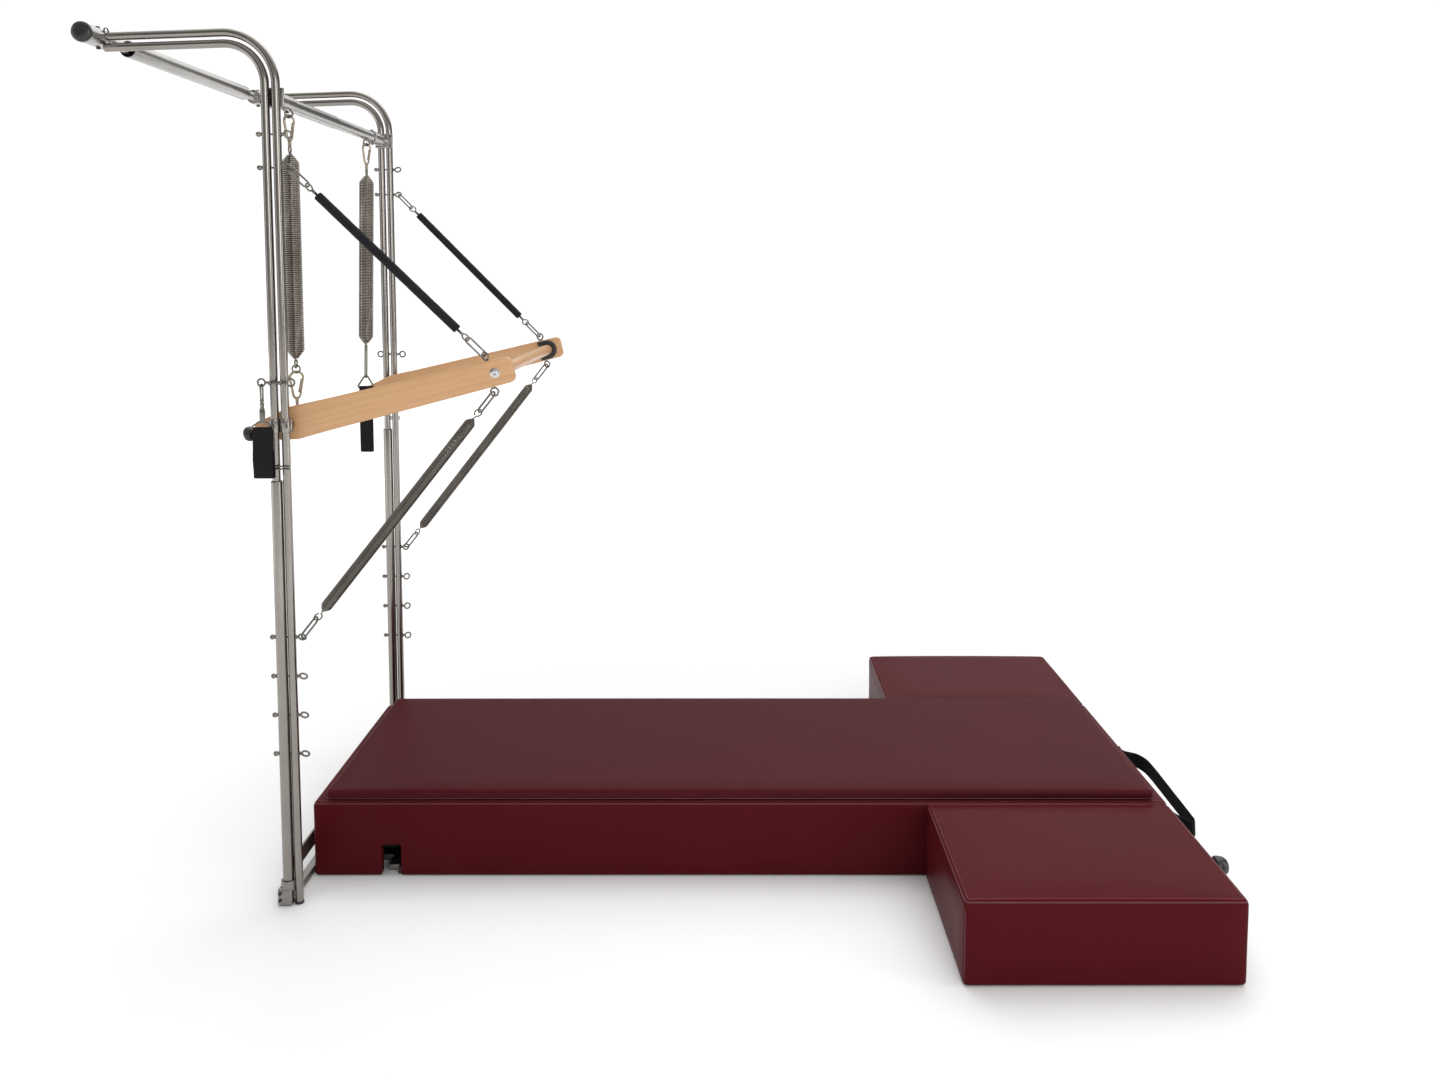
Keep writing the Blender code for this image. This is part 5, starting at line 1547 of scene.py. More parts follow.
@dataclass
class FloorFrame:
    """The flat welded frame: the rail and plate between the feet, and the runners under the mat."""

    rig: Rig
    rail_x: Sequence[float] = (-0.023, -0.001)
    rail_high: float = 0.016
    plate_x: Sequence[float] = (-0.016, -0.01)
    plate_z: Sequence[float] = (0.06, 0.102)
    post_width: float = 0.04
    runner_y: float = RUNNER_Y
    runner_width: float = 0.036
    notch_x: Sequence[float] = NOTCH_X
    inside: float = 0.31

    def build(self) -> None:
        """Builds the rails, the plate, its screws and the black stops under the mat."""
        rig = self.rig
        end = FRAME_HALF - 0.02 - GAP
        high = self.rail_high
        bar = (self.notch_x[0] + 0.008, self.notch_x[1] - 0.008)
        parts = [Shape.block((self.rail_x[0], -end, 0.0), (self.rail_x[1], end, high), 0.0022),
                 Shape.block((bar[0], -self.inside, 0.0), (bar[1], self.inside, high), 0.0022),
                 Shape.block((self.plate_x[0], -end, self.plate_z[0]),
                             (self.plate_x[1], end, self.plate_z[1]), 0.0016)]
        for side in Side:
            middle, half = side.sign * self.runner_y, self.runner_width / 2
            parts.append(Shape.block((self.rail_x[0] + 0.001, middle - half, 0.0004),
                                     (bar[0] + 0.005, middle + half, high - 0.0004), 0.0022))
            ends = sorted((side.sign * end, side.sign * (end - self.post_width)))
            parts.append(Shape.block((self.plate_x[0] + 0.0004, ends[0], 0.002),
                                     (self.plate_x[1] - 0.0004, ends[1], self.plate_z[1] - 0.002), 0.0016))
        rig.put("floor_rails", parts, "tower", "floor_rail", Slot.SATIN, ["floor_frame"])
        spots = [((self.plate_x[0] + 0.0003, side.sign * (end - at), 0.081), -X_AXIS)
                 for side in Side for at in (0.012, 0.03)]
        rig.fix("plate_screws", Fittings.cap_screw(0.0052, 0.0034), spots, "eye", Slot.SATIN)
        beads = []
        for side in Side:
            for edge in (-1.0, 1.0):
                y = side.sign * self.runner_y + edge * (self.runner_width / 2)
                x = self.rail_x[1] + 0.0006
                line = Shape.straight((x, y - 0.012, 0.0125), (x, y + 0.012, 0.0125), 8)
                beads.append(Shape.sweep(line, 0.0019, 8,
                                         radii=[0.3, 0.9, 1.1, 0.9, 1.15, 0.95, 1.1, 0.85, 0.3]))
        rig.put("weld_beads", beads, "tower", "cast", Slot.SATIN)
        stops = [Shape.block((bar[1] - 0.004, side.sign * self.inside - 0.02, 0.001),
                             (bar[1] + 0.01, side.sign * self.inside + 0.006, high + 0.004), 0.002)
                 for side in Side]
        rig.put("runner_stops", stops, "tower", "rubber", Slot.RUBBER)


@dataclass
class PushBar:
    """The maple push-through bar: two arm boards, two dowels, and their fittings."""

    rig: Rig
    pivot: Vector = field(default_factory=lambda: Vector((PIVOT[0], 0.0, PIVOT[1])))
    angle: float = math.radians(14.0)
    board_in: float = FRAME_HALF - BOARD_INSET
    thick: float = BOARD_THICK
    tail: float = 0.088
    length: float = 0.573
    tail_half: float = 0.026
    root_half: float = 0.042
    tip_half: float = 0.0325
    root_at: float = 0.01
    corner: float = 0.014
    eye_r: float = 0.01
    eye_wire: float = EYE_WIRE
    eye_neck: float = 0.001
    dowel_r: float = 0.016
    rear_r: float = 0.014
    dowel_at: float = 0.527
    rod_at: float = 0.512

    def __post_init__(self) -> None:
        """Works out the board's two directions."""
        self.along = Vector((math.cos(self.angle), 0.0, math.sin(self.angle)))
        self.across = Vector((-math.sin(self.angle), 0.0, math.cos(self.angle)))
        self.board_mid = self.board_in + self.thick / 2
        self.board_out = self.board_in + self.thick

    def eye(self, side: Side, vertical: int) -> Vector:
        """Returns the middle of a board's eye: vertical is 1 above the board and -1 below it.

        Args:
            side: The near or far side.
            vertical: 1 for the eye above the board, -1 for the one below.

        Returns:
            The eye's middle.
        """
        out = self.tip_half + self.eye_neck + self.eye_wire + self.eye_r
        return (self.pivot + self.along * self.rod_at + self.across * (out * vertical)
                + Y_AXIS * (self.board_mid * side.sign))

    def outline(self) -> list[tuple[float, float]]:
        """Returns an arm board's outline with round corners and a soft shoulder at the root.

        Returns:
            Points (along, across) from the pivot.
        """
        tail, tip, corner = -self.tail, self.length, self.corner
        points: list[tuple[float, float]] = []
        for centre_a, centre_b, start in ((tip - corner, self.tip_half - corner, 0.0),
                                          (tail + corner, self.tail_half - corner, 90.0),
                                          (tail + corner, -self.tail_half + corner, 180.0),
                                          (tip - corner, -self.tip_half + corner, 270.0)):
            for step in range(9):
                turn = math.radians(start + 90.0 * step / 8)
                points.append((centre_a + corner * math.cos(turn), centre_b + corner * math.sin(turn)))
            if start in (0.0, 180.0):
                sign = 1.0 if start == 0.0 else -1.0
                ends = ((0.1, 0.0), (self.root_at, 1.0), (-0.055, 0.0))
                shoulder = [(at, sign * (self.width(at) - 0.0012 * (1 - top))) for at, top in ends]
                points += shoulder if sign > 0 else shoulder[::-1]
        return points

    def width(self, at: float) -> float:
        """Returns a board's half width at a distance from the pivot.

        Args:
            at: The distance along the board; behind the pivot it is negative.

        Returns:
            The half width.
        """
        if at >= self.root_at:
            share = (at - self.root_at) / (self.length - self.corner - self.root_at)
            return self.root_half + (self.tip_half - self.root_half) * share
        share = (self.root_at - at) / (self.root_at + self.tail - self.corner)
        return self.root_half + (self.tail_half - self.root_half) * share

    def build(self) -> None:
        """Builds the boards, the dowels and the fittings."""
        for side in Side:
            origin = self.pivot + Y_AXIS * (side.sign * self.board_in)
            board = Shape.plate(self.outline(), origin, self.along, self.across,
                                Y_AXIS * (side.sign * self.thick), 0.003)
            self.rig.put(f"{side.word}_maple_arm", board, "push_bar", "board", Slot.MAPLE,
                         [f"{side.word}_arm_board"], 30.0)
            self.eyes(side)
        half = self.board_in - GAP
        for name, at, radius, node in (("grip_dowel", self.dowel_at, self.dowel_r, "handle_dowel"),
                                       ("pivot_dowel", 0.0, self.rear_r, "rear_dowel")):
            profile = Shape.soften([(-half, radius * 0.3), (-half, radius), (half, radius),
                                    (half, radius * 0.3)], 0.0016, 3)
            dowel = Shape.lathe(profile, self.pivot + self.along * at, Y_AXIS, 48)
            self.rig.put(name, dowel, "push_bar", "dowel", Slot.MAPLE, [node])
        self.fittings()

    def eyes(self, side: Side) -> None:
        """Builds the two rings at a board's edges, each with its seat.

        Args:
            side: The near or far side.
        """
        meshes = []
        for vertical, run in ((1, Run.UPPER), (-1, Run.LOWER)):
            centre = self.eye(side, vertical)
            crossing = SprungRun(self.rig, side, run).link_facing()
            facing = (crossing - self.across * crossing.dot(self.across)).normalized()
            sideways = self.across.cross(facing).normalized()
            meshes.append(Shape.eye(centre, self.across * self.eye_r, sideways * self.eye_r, self.eye_wire))
            edge = self.pivot + self.along * self.rod_at + self.across * (vertical * self.tip_half)
            edge += Y_AXIS * (self.board_mid * side.sign)
            seat = Shape.soften([(-0.0006, 0.0078), (0.0012, 0.0078), (0.0012, 0.0036), (0.0034, 0.003)],
                                0.0005, 2)
            meshes.append(Shape.lathe(seat, edge, self.across * vertical, 24))
        self.rig.put(f"{side.word}_arm_eyes", meshes, "push_bar", "eye", Slot.SATIN,
                     [f"{side.word}_board_eyes"])

    def fittings(self) -> None:
        """Builds the handle bolt, the rubber saddle round the far dowel end, and the tail knob."""
        rig = self.rig
        middle = self.pivot + self.along * self.dowel_at
        seat = self.board_out + GAP
        rim = Shape.soften([(-0.01, 0.004), (0.0, 0.004), (0.0, 0.0125), (0.0016, 0.0125),
                            (0.0016, 0.0085), (0.0046, 0.0085), (0.0066, 0.005), (0.0048, 0.0044),
                            (0.0048, 0.001)], 0.0005, 2)
        bolt = Shape.lathe(rim, middle - Y_AXIS * seat, -Y_AXIS, 36)
        rig.put("near_grip_bolt", bolt, "push_bar", "chrome", Slot.POLISHED, ["near_handle_bolt"])
        far = Shape.lathe(rim, middle + Y_AXIS * seat, Y_AXIS, 36)
        rig.put("far_grip_bolt", far, "push_bar", "chrome", Slot.POLISHED)
        radius, hole, back = 0.03, self.dowel_r + 2 * GAP, -0.026
        turns = [math.radians(180 * step / 24) for step in range(25)]
        outline = [(back, radius)] + [(radius * math.sin(turn), radius * math.cos(turn)) for turn in turns]
        outline += [(back, -radius), (back, -hole)]
        outline += [(hole * math.sin(turn), -hole * math.cos(turn)) for turn in turns] + [(back, hole)]
        pad = Shape.plate(outline, middle + Y_AXIS * (self.board_in - GAP), self.along, self.across,
                          Y_AXIS * -0.008, 0.0016)
        rig.put("far_rubber_saddle", pad, "push_bar", "rubber", Slot.RUBBER, ["far_handle_pad"])
        tail = self.pivot - self.along * (self.tail + GAP) - Y_AXIS * self.board_mid
        knob = [(0.0, 0.0092), (0.0014, 0.0092), (0.002, 0.0072), (0.0052, 0.0074), (0.01, 0.015),
                (0.015, 0.0182), (0.021, 0.019), (0.0262, 0.0176), (0.0305, 0.014), (0.0334, 0.0085),
                (0.034, 0.003)]
        rig.put("tail_ball", Shape.lathe(knob, tail, -self.along, 40), "push_bar", "plastic",
                Slot.RUBBER, ["tail_knob"], 60.0)


class Tape:
    """Flat woven tape with U along and V across its UV map, in metres."""

    @staticmethod
    def mesh(path: Sequence[Vector], across: Union[Vector, Sequence[Vector]], width: float,
             thick: float, cyclic: bool = False, wave: Callable[[float], float] = lambda share: 0.0,
             columns: int = 8) -> Mesh:
        """Sweeps a tape along a path.

        Args:
            path: The tape's middle line.
            across: The direction of its width, or one for each point.
            width: Its width.
            thick: Its thickness.
            cyclic: True joins the end to the start.
            wave: Sideways drift of the tape for a share of its length.
            columns: Cells across the width.

        Returns:
            The closed mesh.
        """
        line = [Vector(point) for point in path]
        count = len(line)
        sides = across if isinstance(across, list) else [across] * count
        places = [step / columns - 0.5 for step in range(columns + 1)]
        face = [(at, 0.62 if abs(at) == 0.5 else 1.0) for at in places]
        section = face + [(at, -up) for at, up in face[::-1]]
        rings = []
        for index, (point, heading, side) in enumerate(zip(line, Shape.headings(line, cyclic), sides)):
            side = (side - heading * side.dot(heading)).normalized()
            normal = heading.cross(side)
            drift = side * wave(index / count)
            rings.append([point + drift + side * (at * width) + normal * (up * thick / 2)
                          for at, up in section])
        marks = [(one[0] * width, two[0] * width) for one, two in zip(section, section[1:] + section[:1])]
        return Shape.skin(line, rings, marks, cyclic, True)


class Snaps:
    """Snap hooks, split rings and swivels, each along Z between two heights."""

    @staticmethod
    def carabiner(x: float, y: float, top: float, bottom: float, lean: float = 0.0,
                  wire: float = 0.003) -> Mesh:
        """Makes a pear-shaped snap hook with a sprung gate, a nose and a swivel barrel below.

        Args:
            x: Its middle.
            y: Its middle.
            top: Its highest wire line.
            bottom: The end of its barrel.
            lean: Turn about Z in degrees.
            wire: Its wire radius.

        Returns:
            The closed mesh.
        """
        high = top - bottom - 0.014
        wide, narrow = high * 0.25, high * 0.14
        side = Vector((math.cos(math.radians(lean)), math.sin(math.radians(lean)), 0.0))
        head = Vector((x, y, top - wide))
        foot = Vector((x, y, bottom + 0.014 + narrow))
        loop = Shape.arc(head, side * wide, Z_AXIS * wide, 0, 180, 16)
        loop += Shape.arc(foot, side * -narrow, Z_AXIS * -narrow, 0, 180, 12)
        radii = [1.0 + 0.25 * math.sin(math.pi * index / (len(loop) - 1)) for index in range(len(loop))]
        body = Shape.sweep(loop, wire * 0.85, 12, True, radii)
        gate_low = foot + side * (narrow - wire * 1.2) + Z_AXIS * (high * 0.08)
        gate_high = head + side * (wide - wire * 1.3) - Z_AXIS * (high * 0.02)
        line = Shape.straight(gate_low, gate_high, 6)
        gate = Shape.sweep(line, wire * 0.72, 10, False, [0.8, 1.1, 1.0, 1.0, 1.0, 1.15, 0.7])
        barrel = [(0.0, 0.0022), (0.0012, 0.0046), (0.0048, 0.005), (0.0058, 0.0038), (0.0082, 0.0038),
                  (0.0092, 0.0052), (0.0128, 0.0048), (0.014, 0.0022)]
        swivel = Shape.lathe(barrel, (x, y, bottom), Z_AXIS, 20)
        pin = Shape.lathe(Shape.soften([(-0.0042, 0.0014), (0.0042, 0.0014)], 0.0003), gate_low,
                          side.cross(Z_AXIS), 10)
        return Shape.joined((body, gate, swivel, pin))

    @staticmethod
    def link(centre: Point, along: Vector, across: Vector, half: float, length: float, wire: float) -> Mesh:
        """Makes one closed link."""
        return Shape.sweep(Shape.oval(centre, along, across, half, length), wire, 12, True)


@dataclass
class SprungRun:
    """One sprung run from an eyebolt to the wooden bar: two links, and a spring or a sleeved cord."""

    rig: Rig
    side: Side
    run: Run
    reach: float = Tower.eye_reach
    heights: Sequence[float] = (Tower.lower_eyes[-1], Tower.upper_eyes[0])
    link_wire: float = EYE_WIRE
    link_half: float = 0.009
    link_length: float = 0.062
    link_turn: float = math.radians(40.0)
    bar_seat: float = 0.0014
    hook_seat: float = 0.003
    hook_r: float = 0.0098
    coil_out: float = 0.0145
    spring_wire: float = 0.0018
    cord_r: float = 0.011
    neck_r: float = 0.003

    def __post_init__(self) -> None:
        """Works out where the run starts and ends."""
        lower = self.run is Run.LOWER
        self.seat = -0.0007 if lower else 0.0008
        self.start = Vector((self.reach, self.side.sign * FRAME_HALF, self.heights[0 if lower else 1]))
        end = PushBar(self.rig).eye(self.side, -1 if lower else 1)
        self.length = (end - self.start).length
        self.heading = (end - self.start).normalized()

    def link_facing(self) -> Vector:
        """Returns the direction across an eye that a link's wire crosses it along.

        Returns:
            The unit direction.
        """
        sideways = self.heading.cross(Y_AXIS).normalized()
        flat = sideways.cross(self.heading).normalized()
        turn = self.link_turn * -self.side.sign
        return (flat * math.cos(turn) + sideways * math.sin(turn)).normalized()

    def hooks(self) -> tuple[Vector, Vector]:
        """Returns the middles of the two hooks.

        Returns:
            The first hook's middle and the last one's.
        """
        out = self.link_length + self.hook_seat
        return (self.start + self.heading * (self.seat + out),
                self.start + self.heading * (self.length - self.bar_seat - out))

    def build(self) -> None:
        """Builds the links, then the spring or the cord between them, which rides on no body."""
        word, kind = self.side.word, self.run.value
        bodies = ("lower_springs", "lower_links") if self.run is Run.LOWER else ("upper_cords",
                                                                                "upper_links")
        across = self.link_facing()
        for name, at, body, node in (
                ("eye_link", self.seat + self.link_length / 2, bodies[0], f"{word}_{kind}_eye_link"),
                ("bar_link", self.length - self.bar_seat - self.link_length / 2, bodies[1],
                 f"{word}_{kind}_bar_link")):
            made = Snaps.link(self.start + self.heading * at, self.heading, across, self.link_half,
                              self.link_length, self.link_wire)
            self.rig.put(f"{word}_{kind}_run_{name}", made, body, "eye", Slot.SATIN, [node])
        first, last = self.hooks()
        if self.run is Run.LOWER:
            mesh = self.rig.wire("spring", self.spring_line(first, last), self.spring_wire, 7, "spring")
            piece = self.rig.put(f"{word}_coil_spring", mesh, "", "spring", Slot.SPRING,
                                 [f"{word}_lower_spring"], 70.0)
        else:
            piece = self.rig.put(f"{word}_sleeved_cord", self.cord(first, last), "", "sleeving",
                                 Slot.WEBBING, [f"{word}_upper_cord"])
            self.ferrules(first, last, bodies)
        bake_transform(piece)

    def facing(self) -> Vector:
        """Returns a hook's crossing direction, square to its link's."""
        return self.heading.cross(self.link_facing()).normalized()

    def spring_line(self, first: Vector, last: Vector) -> list[Vector]:
        """Returns one unbroken wire: a hook, a cone, close turns, a cone and a hook.

        Args:
            first: The first hook's middle.
            last: The last hook's middle.

        Returns:
            The wire's middle line.
        """
        heading, across = self.heading, self.facing()
        other = heading.cross(across)
        points = Shape.arc(first, heading * self.hook_r, across * self.hook_r, 25, 350, 24)
        begin, finish = self.hook_r + 0.01, (last - first).length - self.hook_r - 0.01
        pitch, radius, taper = self.spring_wire * 2.06, self.coil_out - self.spring_wire, 0.016
        turns = int((finish - begin) / pitch)
        steps = turns * 18
        for step in range(steps + 1):
            along = begin + (finish - begin) * step / steps
            grown = min(1.0, (min(along - begin, finish - along) / taper) ** 0.75 + 0.1)
            turn = 2 * math.pi * turns * step / steps
            out = across * math.cos(turn) + other * math.sin(turn)
            points.append(first + heading * along + out * (radius * grown))
        return points + Shape.arc(last, heading * -self.hook_r, across * -self.hook_r, 10, 335, 24)

    def cord(self, first: Vector, last: Vector) -> Mesh:
        """Makes the braided sleeve: thin necks, square-cut ends and slight swells where it is full.

        Args:
            first: The first wire eye's middle.
            last: The last wire eye's middle.

        Returns:
            The sleeve's mesh.
        """
        body = (last - first).length
        start, end = self.hook_r + 0.018, body - self.hook_r - 0.018
        places = [(start - 0.016, self.neck_r), (start - 0.001, self.neck_r)]
        places += [(start, self.cord_r * 0.9), (start + 0.0015, self.cord_r * 0.99)]
        steps = 60
        for step in range(1, steps):
            share = step / steps
            swell = 1.0 + 0.018 * math.sin(share * 61.0) * math.sin(share * 17.0)
            places.append((start + (end - start) * share, self.cord_r * swell))
        places += [(end - 0.0015, self.cord_r * 0.99), (end, self.cord_r * 0.9),
                   (end + 0.001, self.neck_r), (end + 0.016, self.neck_r)]
        line = [first + self.heading * along for along, _ in places]
        return Shape.sweep(line, self.cord_r, 28, radii=[size / self.cord_r for _, size in places])

    def ferrules(self, first: Vector, last: Vector, bodies: tuple[str, str]) -> None:
        """Builds the wire eye and the crimped ferrule at each end of the cord.

        Args:
            first: The first wire eye's middle.
            last: The last wire eye's middle.
            bodies: The bodies that the first and the last one move with.
        """
        across = self.facing()
        for word, centre, sign, body in (("start", first, 1.0, bodies[0]), ("end", last, -1.0, bodies[1])):
            heading = self.heading * sign
            ring = Shape.arc(centre, heading * self.hook_r, across * (self.hook_r * sign), 12, 348, 26)
            eye = Shape.sweep(ring, 0.0021, 12)
            crimp = [(0.0, 0.0024), (0.0008, 0.0038), (0.004, 0.0042), (0.0048, 0.0034), (0.0064, 0.0034),
                     (0.0072, 0.0042), (0.0108, 0.0038), (0.0116, 0.0028)]
            made = Shape.lathe(crimp, centre + heading * (self.hook_r - 0.001), heading, 20)
            name = f"{self.side.word}_cord_{word}_eye"
            self.rig.put(name, [eye, made], body, "eye", Slot.SATIN)


@dataclass
class HangingSpring:
    """A long spring under the rear crossbar, with its snaps above and below."""

    rig: Rig
    side: Side
    y: float
    foot_x: float
    x: float = 0.0
    top: float = 1.9908
    wire: float = 0.0023
    coil_out: float = 0.022
    body: Sequence[float] = (1.87, 1.4)
    snap_foot: float = 1.916
    snap_lean: float = 62.0
    eye_z: float = 1.26
    eye_half: float = 0.024
    eye_drop: float = 0.02

    @property
    def carrier(self) -> str:
        """The body that the spring rides on."""
        return f"{self.side.word}_hanger"

    def leaned(self, mesh: Mesh) -> Mesh:
        """Leans a mesh about the spring's upper seat, as the spring hangs.

        Args:
            mesh: The mesh, which is changed.

        Returns:
            The same mesh.
        """
        lean = math.asin((self.x - self.foot_x) / (self.top - self.eye_z + self.eye_drop))
        top = Vector((self.x, self.y, self.top))
        mesh.transform(Matrix.Translation(top) @ Matrix.Rotation(lean, 4, "Y") @ Matrix.Translation(-top))
        return mesh

    def build(self) -> None:
        """Builds the snap at the top, the wound coil and the fittings at its foot."""
        word = self.side.word
        coil = self.leaned(self.rig.wire("coil", self.line(), self.wire, 8, "hanging"))
        self.rig.put(f"{word}_hanging_coil", coil, self.carrier, "hanging", Slot.SPRING,
                     [f"{word}_hanging_spring"], 70.0)
        upper = self.leaned(Snaps.carabiner(self.x, self.y, self.top, self.snap_foot, self.snap_lean))
        self.rig.put(f"{word}_top_snap", upper, self.carrier, "brassy", Slot.SATIN)
        self.foot()

    def line(self) -> list[Vector]:
        """Returns the wire: a crossed hook, a cone, close turns, a cone and a hook.

        Returns:
            The wire's middle line, before it is leaned.
        """
        x, y, high, low = self.x, self.y, *self.body
        points = Shape.arc((x, y, 1.906), Y_AXIS * 0.0078, Z_AXIS * 0.01, -60, 240, 22)
        radius, taper, pitch = self.coil_out - self.wire, 0.026, self.wire * 2.05
        top, bottom = high + 0.024, low - 0.022
        turns = int((top - bottom) / pitch)
        steps = turns * 22
        for step in range(steps + 1):
            height = top + (bottom - top) * step / steps
            grown = min(1.0, (min(top - height, height - bottom) / taper) ** 0.8 + 0.14)
            turn = 2 * math.pi * turns * step / steps - math.pi / 2
            out = X_AXIS * math.cos(turn) + Y_AXIS * math.sin(turn)
            points.append(Vector((x, y, height)) + out * (radius * grown))
        return points + Shape.arc((x, y, bottom - 0.013), Y_AXIS * -0.0085, Z_AXIS * 0.01, -240, 60, 22)

    def foot(self) -> None:
        """Builds the ring, snap and swivel of the near spring, or the far spring's open triangle."""
        rig, word, x, y = self.rig, self.side.word, self.x, self.y
        if self.side is Side.NEAR:
            ring = Shape.eye((x, y, 1.352), X_AXIS * 0.01, Z_AXIS * 0.01, 0.0022, 30, 12)
            rig.put("near_split_ring", ring, self.carrier, "eye", Slot.SATIN)
            snap = Snaps.carabiner(x, y, 1.3455, 1.264, 40.0, 0.0032)
            rig.put("near_lower_snap", snap, self.carrier, "brassy", Slot.SATIN)
            end = Snaps.link((x, y, 1.25), Z_AXIS, Y_AXIS, 0.0062, 0.03, 0.0019)
            rig.put("near_end_link", end, self.carrier, "eye", Slot.SATIN)
            return
        outline = Shape.mirrored([(0.0, 0.018), (0.0052, 0.016), (self.eye_half - 0.001, -0.013),
                                  (self.eye_half, -0.0165), (self.eye_half - 0.003, -self.eye_drop),
                                  (0.0, -self.eye_drop)])
        line = [Vector((x + across, y, self.eye_z + up)) for across, up in Shape.filled(outline, 4)]
        triangle = Shape.sweep(line, 0.0028, 12, True)
        link = Snaps.link((x, y, 1.319), Z_AXIS, Y_AXIS, 0.0085, 0.094, 0.0024)
        made = self.leaned(Shape.joined((triangle, link)))
        rig.put("far_strap_triangle", made, self.carrier, "eye", Slot.SATIN)


